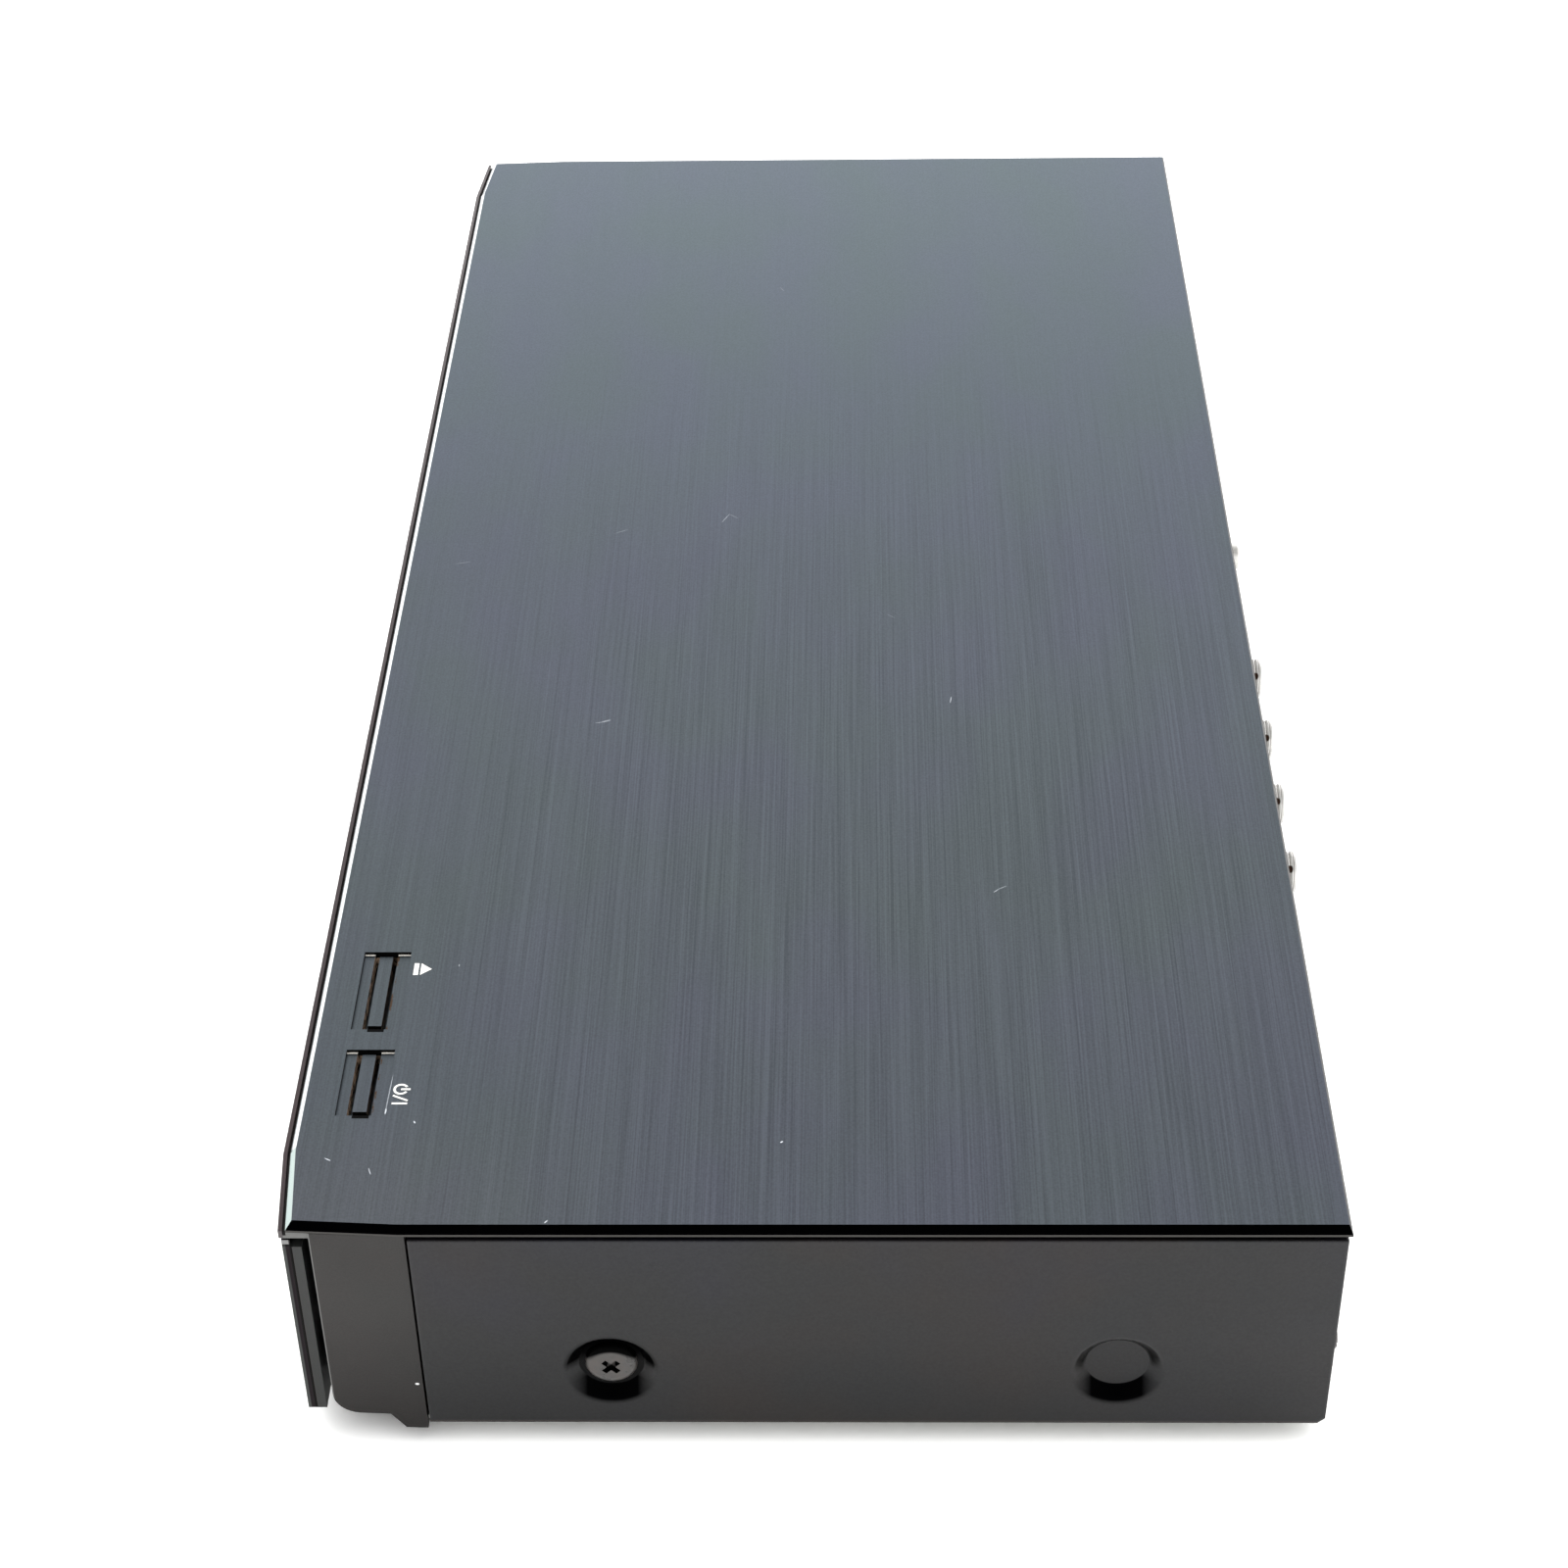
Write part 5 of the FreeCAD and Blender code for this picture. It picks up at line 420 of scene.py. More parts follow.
@dataclass(frozen=True)
class ThreadedNickel:
    """Bright nickel of the aerial sockets, with painted shade in the thread's grooves and a brown mark on
    each.
    """

    name: str = "threaded_nickel"
    colour: Colour = (0.90, 0.89, 0.86)
    # Painted shade in the thread's grooves.
    groove: Colour = (0.20, 0.18, 0.16)
    mark: Colour = (0.060, 0.034, 0.024)
    root: float = 0.09606
    pitch: float = 0.0008
    groove_span: tuple = (0.30, 0.62)
    groove_shade_strength: float = 0.75
    mouth: float = 0.9
    marks: tuple = ((-0.0066, 0.1028, 0.0226), (0.0185, 0.1028, 0.0226),
                    (0.0433, 0.1027, 0.0229), (0.0681, 0.1028, 0.0229))
    mark_size: tuple = (0.0009, 0.0006, 0.0009)
    film_scale: float = 300.0
    film_shade: float = 0.9
    share: float = 0.4
    edge: float = 0.0001

    def build(self) -> bpy.types.Material:
        """Make the material."""
        g = Graph.of_material(self.name)
        _, y, _ = g.axes()
        _, out, _ = g.facing()
        turn = g.calc("FRACT", g.calc("DIVIDE", g.calc("SUBTRACT", y, self.root), self.pitch))
        # Painted shade: a dark band in each turn of the thread, off the mouth's face.
        groove = g.times(g.within(turn, *self.groove_span), g.under(out, self.mouth))
        film = g.noise(self.film_scale, 3.0)
        colour = g.layered(self.colour,
                           (g.span(film, 0.3, 0.7), lightened(self.colour, self.film_shade)),
                           (g.times(groove, self.groove_shade_strength), self.groove),
                           (g.most(*[g.spot(mark, self.mark_size) for mark in self.marks]), self.mark))
        return g.finish(Base_Color=colour, Metallic=self.share, Normal=g.rounded(self.edge),
                        Roughness=g.span(film, 0.3, 0.7, 0.16, 0.26))


@dataclass(frozen=True)
class PaintedSteel:
    """Satin black paint on sheet steel: mottled, with finger marks, painted shade in the pressings and a
    painted highlight along its foot.
    """

    name: str = "satin_black_paint"
    colour: Colour = (0.0030, 0.0030, 0.0034)
    warm: Colour = (0.0095, 0.0066, 0.0056)
    cool: Colour = (0.0048, 0.0046, 0.0088)
    # A painted highlight along the cover's bottom edge.
    painted_edge_highlight: Colour = (0.0240, 0.0170, 0.0140)
    # Painted shade on the pressings' walls and painted shadow round the screw.
    pressing_shade_colour: Colour = (0.0002, 0.0002, 0.0003)
    plain_tint: Colour = (0.98, 0.985, 1.0)
    warm_tint: Colour = (0.97, 0.90, 0.87)
    cool_tint: Colour = (0.95, 0.96, 1.0)
    speckle: Colour = (0.86, 0.86, 0.86)
    warm_scale: float = 17.0
    cool_scale: float = 23.0
    cool_offset: tuple = (3.1, 1.7, 0.4)
    warm_cover: tuple = (0.46, 0.66)
    cool_cover: tuple = (0.48, 0.68)
    speckle_scale: float = 1700.0
    peel_scale: float = 900.0
    peel: float = 0.000012
    rough: float = 0.30
    edge: float = 0.0008
    shine: float = 0.45
    foot_highlight: tuple = (0.0068, 0.0062)
    foot_rise: tuple = (0.006, 0.030)
    foot_shine: float = 0.78
    rear_span: tuple = (0.0, 0.09)
    rear_cool: float = 0.8
    rear_fade: tuple = (0.040, 0.010)
    rear_shine: tuple = (0.96, 1.10)
    pressing_shade_shine: float = 0.02
    side_x: float = 0.205
    pressing_y: float = 0.00555
    pressing_half: float = 0.04825
    pressing_z: float = 0.0212
    floor_radius: float = 0.0062
    floor_blur: float = 0.0002
    crescent: tuple = (0.0100, 0.0087)
    crescent_top: tuple = (-0.0018, -0.0040)
    crescent_ends: tuple = (0.0086, 0.0048)
    outer_arc: tuple = (0.0093, 0.0083)
    inner_arc: tuple = (0.0079, 0.0069, 0.0, 0.75)
    arc_foot: tuple = (-0.0010, 0.0012)
    screw_shadow: tuple = (0.0, 0.0025, 0.82, 1.0)

    def pressing(self, g: Graph) -> Socket:
        """A mask of painted shade around each side pressing: a crescent below, thin arcs above, and painted
        shadow on the floor round the screw.

        Args:
            g: The graph of this paint.

        Returns:
            The value socket.
        """
        x, y, z = g.axes()
        along = g.calc("ABSOLUTE", g.calc("SUBTRACT", y, self.pressing_y))
        along = g.calc("SUBTRACT", along, self.pressing_half)
        height = g.calc("SUBTRACT", z, self.pressing_z)
        reach = g.calc("SQRT", g.calc("ADD", g.times(along, along), g.times(height, height)))
        low = g.times(g.span(reach, *self.crescent), g.span(height, *self.crescent_top),
                      g.span(g.calc("ABSOLUTE", along), *self.crescent_ends))
        screwed = g.under(y, 0.0)
        outer = g.times(g.span(reach, *self.outer_arc), screwed)
        high = g.times(g.most(outer, g.span(reach, *self.inner_arc)), g.span(height, *self.arc_foot))
        shaded_wall = g.times(g.most(low, high),
                       g.span(reach, self.floor_radius - self.floor_blur, self.floor_radius))
        around = g.times(screwed, g.span(reach, self.floor_radius + self.floor_blur, self.floor_radius),
                         g.span(height, *self.screw_shadow))
        return g.times(g.most(shaded_wall, around), g.over(g.calc("ABSOLUTE", x), self.side_x))

    def build(self) -> bpy.types.Material:
        """Make the material."""
        g = Graph.of_material(self.name)
        _, y, z = g.axes()
        broad = g.noise(self.warm_scale, 3.0, 0.55)
        other = g.noise(self.cool_scale, 3.0, 0.5, g.stretch(UNSCALED, self.cool_offset))
        speckle = g.span(g.noise(self.speckle_scale, 1.0), 0.3, 0.7)
        warm = g.span(broad, *self.warm_cover)
        cool = g.span(other, *self.cool_cover)
        # Painted shade in the pressings, with painted shadow on the floor round the screw.
        dark = self.pressing(g)
        # The colour carries a painted highlight along the bottom edge and the pressings' painted shade.
        colour = g.layered(self.colour, (warm, self.warm), (cool, self.cool),
                           (g.span(z, *self.foot_highlight), self.painted_edge_highlight), (dark, self.pressing_shade_colour))
        tint = g.layered(self.plain_tint, (warm, self.warm_tint),
                         (g.most(cool, g.span(y, *self.rear_span, 0.0, self.rear_cool)), self.cool_tint))
        tint = g.tinted(tint, g.blend(speckle, self.speckle, PURE_WHITE))
        # Painted shade and painted sheen: the shine is lowered towards the foot and raised low at the rear.
        foot = g.span(z, *self.foot_rise, self.shine * self.foot_shine, self.shine)
        rear = g.times(g.span(y, *self.rear_span), g.span(z, *self.rear_fade))
        shine = g.times(foot, g.span(rear, 0.0, 1.0, *self.rear_shine),
                        g.span(dark, 0.0, 1.0, 1.0, self.pressing_shade_shine))
        return g.finish(Base_Color=colour, Specular_Tint=tint, Specular_IOR_Level=shine,
                        Roughness=g.span(broad, 0.3, 0.7, self.rough - 0.03, self.rough + 0.06),
                        Normal=g.bump(g.noise(self.peel_scale, 2.0), self.peel, self.edge))


@dataclass(frozen=True)
class FrontMoulding:
    """Satin black moulding of the front: painted shade at its foot, a painted highlight along its front rim,
    and painted shade with dust in the slots by the buttons.
    """

    name: str = "satin_black_moulding"
    colour: Colour = (0.0222, 0.0222, 0.0208)
    cloud: Colour = (0.0285, 0.0238, 0.0224)
    # Painted shade towards the foot.
    foot: Colour = (0.0140, 0.0120, 0.0112)
    # A painted highlight along the front rim of the side faces.
    painted_edge_highlight: Colour = (0.16, 0.16, 0.155)
    speck: Colour = (0.85, 0.85, 0.85)
    faint: Colour = (0.11, 0.10, 0.09)
    # Painted shade in the slots by the buttons.
    slot: Colour = (0.004, 0.004, 0.004)
    dust: Colour = (0.42, 0.30, 0.21)
    grain_dark: Colour = (0.88, 0.88, 0.88)
    grain_light: Colour = (1.08, 1.08, 1.08)
    rim: float = -0.09668
    speck_spot: tuple = (0.215, -0.0801, 0.0170)
    speck_size: tuple = (0.0004, 0.0004, 0.0003)
    faint_spot: tuple = (0.215, -0.0955, 0.0335)
    faint_size: tuple = (0.0004, 0.00042, 0.0002)
    slot_x: tuple = (0.135, 0.188)
    slot_y: tuple = (-0.0946, -0.0880)
    slot_floor: float = 0.048
    slot_shade_shine: float = 0.1
    side_slope: float = 0.7
    foot_shade_fade: tuple = (0.004, 0.040, 1.0, 0.0)
    shine_rise: tuple = (0.004, 0.035, 0.20, 0.30)
    dust_cover: tuple = (0.40, 0.54)
    dust_fade: tuple = (-0.0925, -0.0915, 1.0, 0.25)
    grain: float = 0.00002
    edge: float = 0.00018

    def build(self) -> bpy.types.Material:
        """Make the material."""
        g = Graph.of_material(self.name)
        x, y, z = g.axes()
        side, _, _ = g.facing()
        clouds = g.noise(26.0, 4.0, 0.6)
        fine = g.noise(2600.0, 2.0)
        motes = g.noise(1.0, 3.0, 0.7, g.stretch(MOTE_STRETCH))
        # Painted highlight on the side faces at the front rim.
        painted_edge_highlight = g.times(g.over(g.calc("ABSOLUTE", side), self.side_slope), g.under(y, self.rim))
        # Painted shade in the slots by the buttons, with dust laid over it.
        slots = g.times(g.within(x, *self.slot_x), g.within(y, *self.slot_y), g.over(z, self.slot_floor))
        dust = g.times(slots, g.span(motes, *self.dust_cover), g.span(y, *self.dust_fade))
        # Painted shade: darker towards the foot.
        colour = g.layered(self.colour, (g.span(clouds, 0.35, 0.68), self.cloud),
                           (g.span(z, *self.foot_shade_fade), self.foot))
        colour = g.tinted(colour, g.blend(g.span(fine, 0.3, 0.7), self.grain_dark, self.grain_light))
        colour = g.layered(colour, (painted_edge_highlight, self.painted_edge_highlight), (g.spot(self.speck_spot, self.speck_size), self.speck),
                           (g.spot(self.faint_spot, self.faint_size), self.faint), (slots, self.slot),
                           (dust, self.dust))
        # Painted shade: shine lower towards the foot and in the slots by the buttons.
        shine = g.times(g.span(z, *self.shine_rise), g.span(slots, 0.0, 1.0, 1.0, self.slot_shade_shine))
        return g.finish(Base_Color=colour, Roughness=g.span(g.noise(70.0, 4.0), 0.3, 0.7, 0.37, 0.48),
                        Normal=g.bump(fine, self.grain, self.edge), Specular_IOR_Level=shine)


@dataclass(frozen=True)
class DoorSkin:
    """Glossy skin of the door; its cut end shows a clear layer, a dark layer and a painted highlight along
    its top.
    """

    name: str = "door_skin_gloss"
    gloss: Colour = (0.006, 0.006, 0.007)
    clear: Colour = (0.030, 0.034, 0.032)
    dark: Colour = (0.010, 0.006, 0.008)
    # Painted highlight along the top of the cut end.
    cap: Colour = (0.26, 0.26, 0.26)
    line: Colour = (0.001, 0.001, 0.001)
    cloud_lift: float = 1.3
    split: float = -0.10150
    split_blur: float = 0.0001
    glue: float = -0.10078
    highlight_foot: float = 0.0540
    cap_line: float = 0.0006
    end_slope: float = 0.6
    shine: float = 0.5
    end_shine: float = 0.18
    inner_shine: float = 0.24
    coat: float = 0.6
    edge: float = 0.0002

    def build(self) -> bpy.types.Material:
        """Make the material."""
        g = Graph.of_material(self.name)
        _, y, z = g.axes()
        side, _, _ = g.facing()
        end = g.over(side, self.end_slope)
        clouds = g.noise(60.0, 4.0, 0.6)
        line = g.most(g.within(z, self.highlight_foot - self.cap_line, self.highlight_foot), g.over(y, self.glue))
        # The cut end's layers, with a painted highlight along its top.
        layers = g.layered(self.clear, (g.span(y, self.split - self.split_blur, self.split + self.split_blur),
                                        self.dark), (g.over(z, self.highlight_foot), self.cap), (line, self.line))
        face = g.blend(g.span(clouds, 0.35, 0.68), self.gloss, lightened(self.gloss, self.cloud_lift))
        inner = g.times(end, g.over(y, self.split), g.under(z, self.highlight_foot))
        shine = g.calc("SUBTRACT", g.calc("SUBTRACT", self.shine, g.times(end, self.end_shine)),
                       g.times(inner, self.inner_shine))
        return g.finish(Base_Color=g.blend(end, face, layers), Specular_IOR_Level=shine,
                        Roughness=g.calc("ADD", g.span(clouds, 0.3, 0.7, 0.13, 0.19), g.times(end, 0.20)),
                        Normal=g.rounded(self.edge), Coat_Roughness=0.06,
                        Coat_Weight=g.calc("SUBTRACT", self.coat, g.times(end, self.coat)))


@dataclass(frozen=True)
class DoorBacking:
    """Satin backing of the door, with the dark seam where the skin is glued on."""

    name: str = "door_backing_satin"
    colour: Colour = (0.0196, 0.0216, 0.0208)
    cloud: Colour = (0.0262, 0.0268, 0.0253)
    glue: Colour = (0.003, 0.0012, 0.0012)
    seam: float = -0.10032
    end_slope: float = 0.6
    edge: float = 0.0002

    def build(self) -> bpy.types.Material:
        """Make the material."""
        g = Graph.of_material(self.name)
        _, y, z = g.axes()
        side, _, _ = g.facing()
        clouds = g.noise(40.0, 4.0, 0.6)
        seam = g.times(g.over(g.calc("ABSOLUTE", side), self.end_slope), g.under(y, self.seam))
        colour = g.layered(self.colour, (g.span(clouds, 0.35, 0.68), self.cloud), (seam, self.glue))
        dulled = g.calc("SUBTRACT", 1.0, g.times(seam, 0.9))
        return g.finish(Base_Color=colour, Roughness=g.span(clouds, 0.3, 0.7, 0.34, 0.42),
                        Normal=g.rounded(self.edge),
                        Specular_IOR_Level=g.times(g.span(z, 0.010, 0.050, 0.26, 0.34), dulled))


@dataclass(frozen=True)
class Fleck:
    """A speck, fibre or scratch on the plate, placed in millimetres."""

    x: float
    y: float
    length: float
    width: float
    angle: float = 0.0
    strength: float = 0.6
    width_share: float = 0.33
    reach: float = 0.0005

    def mask(self, g: Graph, height: float) -> Socket:
        """Its mask on the plate.

        Args:
            g: The graph of the plate's finish.
            height: The plate's height in metres.

        Returns:
            The value socket.
        """
        size = (self.length * MM / 2, self.width * MM * self.width_share, self.reach)
        return g.times(g.spot((self.x * MM, self.y * MM, height), size, self.angle), self.strength)


FLECKS = (
    Fleck(196.6, -95.3, 1.4, 0.30, 61.0, 0.80), Fleck(199.7, -87.0, 1.8, 0.28, 19.0, 0.60),
    Fleck(186.6, -80.0, 0.7, 0.40, 25.0, 0.80), Fleck(141.5, -75.9, 0.8, 0.30, 5.0, 0.45),
    Fleck(212.7, -52.9, 0.9, 0.35, 141.0, 0.75), Fleck(59.9, -52.6, 2.1, 0.45, 102.0, 0.28),
    Fleck(59.4, -51.2, 2.1, 0.75, 111.0, 0.36), Fleck(-22.7, -27.1, 4.2, 0.32, 154.0, 0.34),
    Fleck(-23.6, -25.1, 3.0, 0.32, 50.0, 0.22), Fleck(118.5, 33.3, 1.5, 0.26, 135.0, 0.55),
    Fleck(117.5, 34.6, 2.2, 0.24, 120.0, 0.42), Fleck(51.9, 25.7, 2.4, 0.26, 173.0, 0.62),
    Fleck(192.0, -9.9, 0.6, 0.45, 125.0, 0.90), Fleck(-17.2, -52.1, 3.4, 0.30, 119.0, 0.28),
    Fleck(-136.4, -15.2, 2.2, 0.40, 27.0, 0.24), Fleck(-3.9, -89.4, 3.8, 0.28, 103.0, 0.28),
    Fleck(19.1, 12.7, 2.6, 0.30, 48.0, 0.20), Fleck(178.9, -85.75, 10.6, 0.30, -1.7, 0.45),
    Fleck(183.6, -85.85, 1.6, 0.45, -1.7, 0.75),
)


@dataclass(frozen=True)
class BrushedPlate:
    """The top plate: dark brushed sheet lightened towards either end by a painted reflection, a polished
    front bevel, a painted dark reflection on the other bevels, button slots with dust, painted shade and
    painted highlights, and flecks.
    """

    name: str = "brushed_dark_plate"
    dark: Colour = (0.158, 0.184, 0.212)
    light: Colour = (0.240, 0.280, 0.322)
    score: Colour = (0.055, 0.060, 0.070)
    green: Colour = (0.97, 1.0, 0.96)
    violet: Colour = (1.0, 0.975, 1.03)
    corner_tint: Colour = (1.10, 1.09, 0.99)
    flank: Colour = (0.066, 0.064, 0.061)
    # Painted shade on the slots' walls.
    shaded_wall: Colour = (0.003, 0.003, 0.003)
    ledge_dust: Colour = (0.16, 0.105, 0.07)
    # Painted highlight at the far and near end of each slot.
    rim: Colour = (0.50, 0.48, 0.44)
    # Painted shade: a dark line past each slot's near end.
    shade_brink: Colour = (0.002, 0.002, 0.002)
    wall_dust: Colour = (0.34, 0.24, 0.17)
    bevel: Colour = (0.88, 0.93, 0.95)
    corner_bevel: Colour = (0.40, 0.475, 0.46)
    # Painted dark reflection on the side and rear bevels.
    edge: Colour = (0.002, 0.002, 0.0025)
    fleck: Colour = (0.72, 0.76, 0.80)
    # Painted reflection: lighter towards either end of the plate, darker in the middle.
    painted_end_sheen: tuple = ((0.0, (0.975, 1.03, 1.03)), (0.3, (0.86, 0.885, 0.90)), (0.5, (0.84, 0.83, 0.85)),
                   (0.78, (0.90, 0.885, 0.86)), (1.0, (1.02, 0.975, 0.985)))
    brushing: tuple = (((20.0, 3100.0, 40.0), ORIGIN, 2.0, 0.6, 0.54),
                       ((11.0, 1500.0, 40.0), (0.3, 0.1, 0.0), 3.0, 0.7, 0.38),
                       ((5.0, 360.0, 40.0), (0.7, 0.4, 0.0), 2.0, 0.6, 0.08))
    score_stretch: tuple = (16.0, 2300.0, 40.0)
    score_offset: tuple = (5.3, 2.1, 0.0)
    patch_stretch: tuple = (22.0, 40.0, 30.0)
    speckle_scale: float = 2300.0
    cloud_lift: tuple = (0.3, 0.7, -0.02, 0.02)
    speckle_lift: tuple = (0.25, 0.75, -0.22, 0.22)
    line_x: tuple = (-0.12, 0.06, 0.8, 3.4)
    line_y: tuple = (-0.085, -0.04, 0.60, 1.0)
    score_cover: tuple = (0.30, 0.22)
    score_x: tuple = (-0.02, 0.06, 0.0, 0.26)
    score_y: tuple = (-0.06, 0.02, 0.2, 1.0)
    patch_cover: tuple = (0.35, 0.65)
    corner_x: tuple = (0.180, 0.207)
    corner_y: tuple = (-0.03, -0.08)
    corner_strength: float = 0.8
    depth: float = 0.000005
    top: float = PLATE_TOP
    half_width: float = 0.215
    corner: float = 0.1932
    bevel_depth: float = 0.0012
    bevel_slope: tuple = (0.3, 0.95)
    front_slope: float = -0.3
    slots: tuple = ((0.1374, 0.1605), (0.1664, 0.1848))
    slot_margin: float = 0.004
    slot_end: float = 0.19
    slot_front: float = -0.08
    slot_rear: float = -0.0887
    level_slope: float = 0.9
    ledge: tuple = (0.0009, 0.0005)
    far_highlight: tuple = (0.0001, 0.00042)
    near_highlight: tuple = (0.00025, 0.0001)
    near_strength: float = 0.6
    ledge_dust_y: tuple = (0.0001, 0.0004)
    ledge_cover: tuple = (0.48, 0.56)
    wall_cover: tuple = (0.42, 0.56)
    brink_width: float = 0.0008
    brink_y: tuple = (-0.0922, -0.0889)
    dust_front: float = -0.0945
    dust_fade: tuple = (-0.0925, -0.0915, 1.0, 0.22)
    flecks: tuple = FLECKS

    def grain(self, g: Graph) -> Socket:
        """The height of the brushing: short fine lines along X over a fine speckle."""
        return g.chain("ADD", [g.times(g.noise(1.0, detail, rough, g.stretch(scale, offset)), weight)
                               for scale, offset, detail, rough, weight in self.brushing])

    def sheen(self, g: Graph, lines: Socket) -> Socket:
        """The plate's colour, with lines, speckle, faint patches of green and violet, and a painted
        reflection that makes it lighter towards either end.

        Args:
            g: The graph of the plate's finish.
            lines: The height of the brushing.

        Returns:
            The colour socket.
        """
        x, y, _ = g.axes()
        clouds = g.noise(7.0, 3.0, 0.5)
        value = g.calc("ADD", g.calc("SUBTRACT", lines, 0.5), g.span(clouds, *self.cloud_lift))
        strength = g.times(g.span(x, *self.line_x), g.span(y, *self.line_y))
        speckle = g.span(g.noise(self.speckle_scale, 1.0), *self.speckle_lift)
        value = g.calc("ADD", g.times(value, strength), speckle)
        scores = g.noise(1.0, 1.0, at=g.stretch(self.score_stretch, self.score_offset))
        scores = g.times(g.span(scores, *self.score_cover), g.span(x, *self.score_x),
                         g.span(y, *self.score_y))
        colour = g.blend(g.calc("ADD", value, 0.5, clamp=True), self.dark, self.light)
        colour = g.blend(scores, colour, self.score)
        patches = g.span(g.noise(1.0, 2.0, at=g.stretch(self.patch_stretch)), *self.patch_cover)
        colour = g.tinted(colour, g.blend(patches, self.green, self.violet))
        # Painted reflection: a ramp along X lightens either end.
        colour = g.tinted(colour, g.ramp(g.span(x, -self.half_width, self.half_width), self.painted_end_sheen))
        corner = g.times(g.span(x, *self.corner_x), g.span(y, *self.corner_y))
        return g.blend(g.times(corner, self.corner_strength), colour, g.tinted(colour, self.corner_tint))

    def slot_masks(self, g: Graph) -> tuple:
        """Masks of the button slots.

        Args:
            g: The graph of the plate's finish.

        Returns:
            Sockets for the walls in painted shade, the painted highlights at the slots' far and near end, the
            dark lines of painted shade past their near end, and the dust on ledges and walls.
        """
        x, y, z = g.axes()
        _, out, up = g.facing()
        motes = g.noise(1.0, 3.0, 0.7, g.stretch(MOTE_STRETCH))
        by_slots = g.times(g.under(y, self.slot_front),
                           g.within(x, self.slots[0][0] - self.slot_margin, self.slot_end))
        # Painted shade: the slots' walls are painted near black.
        shaded_wall = g.times(g.under(up, self.bevel_slope[0]), by_slots)
        deep, shallow = self.ledge
        sunk = g.times(by_slots, g.within(z, self.top - deep, self.top - shallow),
                       g.over(up, self.level_slope))
        # Painted highlights at each slot's far and near end.
        rim_highlights, shade_brinks = [], []
        for left, right in self.slots:
            near = g.times(g.within(x, right - self.near_highlight[0], right + self.near_highlight[1]),
                           g.under(y, self.slot_rear), self.near_strength)
            rim_highlights.append(g.most(g.within(x, left - self.far_highlight[0], left + self.far_highlight[1]), near))
            shade_brinks.append(g.within(x, right, right + self.brink_width))
        rim = g.times(g.most(*rim_highlights), sunk)
        # Painted shade: a dark line on the top just past each slot's near end.
        shade_brink = g.times(g.most(*shade_brinks), g.within(y, *self.brink_y), g.over(z, self.top - 0.0001))
        before, beyond = self.ledge_dust_y
        ledge_dust = g.times(sunk, g.within(y, self.slot_rear - before, self.slot_rear + beyond),
                             g.span(motes, *self.ledge_cover))
        wall_dust = g.times(shaded_wall, g.over(out, 0.5), g.over(y, self.dust_front),
                            g.span(motes, *self.wall_cover), g.span(y, *self.dust_fade))
        return shaded_wall, rim, shade_brink, ledge_dust, wall_dust

    def build(self) -> bpy.types.Material:
        """Make the material."""
        g = Graph.of_material(self.name)
        x, _, z = g.axes()
        _, out, up = g.facing()
        lines = self.grain(g)
        shaded_wall, rim, shade_brink, ledge_dust, wall_dust = self.slot_masks(g)
        slanted = g.times(g.within(up, *self.bevel_slope), g.over(z, self.top - self.bevel_depth))
        bevel = g.times(slanted, g.under(out, self.front_slope))
        polish = g.blend(g.over(x, self.corner), self.bevel, self.corner_bevel)
        # Painted dark reflection: bevels that do not face the front are painted near black.
        edge = g.times(slanted, g.over(out, self.front_slope))
        flecks = g.times(g.most(*[fleck.mask(g, self.top) for fleck in self.flecks]), g.over(up, 0.98))
        colour = g.layered(self.sheen(g, lines), (g.under(up, self.bevel_slope[0]), self.flank),
                           (shaded_wall, self.shaded_wall), (ledge_dust, self.ledge_dust), (rim, self.rim),
                           (shade_brink, self.shade_brink), (wall_dust, self.wall_dust), (bevel, polish),
                           (edge, self.edge), (flecks, self.fleck))
        bare = g.most(flecks, rim, g.times(shaded_wall, 0.95), shade_brink)
        rough = g.calc("SUBTRACT", g.span(lines, 0.3, 0.7, 0.33, 0.43), g.times(bevel, 0.28))
        rough = g.calc("ADD", rough, g.times(flecks, 0.3), clamp=True)
        # Shine lowered in the painted shade of the slots' walls and near ends.
        shine = g.span(g.most(shaded_wall, shade_brink), 0.0, 1.0, 0.5, 0.05)
        return g.finish(Base_Color=colour, Metallic=g.calc("SUBTRACT", 1.0, bare), Roughness=rough,
                        Specular_IOR_Level=shine, Normal=g.bump(lines, self.depth))


@dataclass(frozen=True)
class Board:
    """Circuit board: solder mask over traces, with small pads."""

    name: str = "green_circuit_board"
    mask: Colour = (0.010, 0.085, 0.030)
    trace: Colour = (0.022, 0.150, 0.055)
    pad: Colour = (0.62, 0.60, 0.55)
    pad_scale: float = 260.0
    pad_size: float = 0.13
    trace_scale: float = 180.0
    trace_bend: float = 5.0
    trace_gap: float = 0.62

    def build(self) -> bpy.types.Material:
        """Make the material."""
        g = Graph.of_material(self.name)
        cells = g.node("ShaderNodeTexVoronoi", {"Vector": g.place(), "Scale": self.pad_scale},
                       distance="CHEBYCHEV")
        rows = g.node("ShaderNodeTexWave", {"Vector": g.place(), "Scale": self.trace_scale,
                                            "Distortion": self.trace_bend}, bands_direction="DIAGONAL")
        trace = g.over(rows.outputs["Fac"], self.trace_gap)
        pads = g.under(cells.outputs["Distance"], self.pad_size)
        colour = g.layered(self.mask, (trace, self.trace), (pads, self.pad))
        return g.finish(Base_Color=colour, Roughness=0.32, Normal=g.bump(g.calc("ADD", trace, pads), 0.00002))


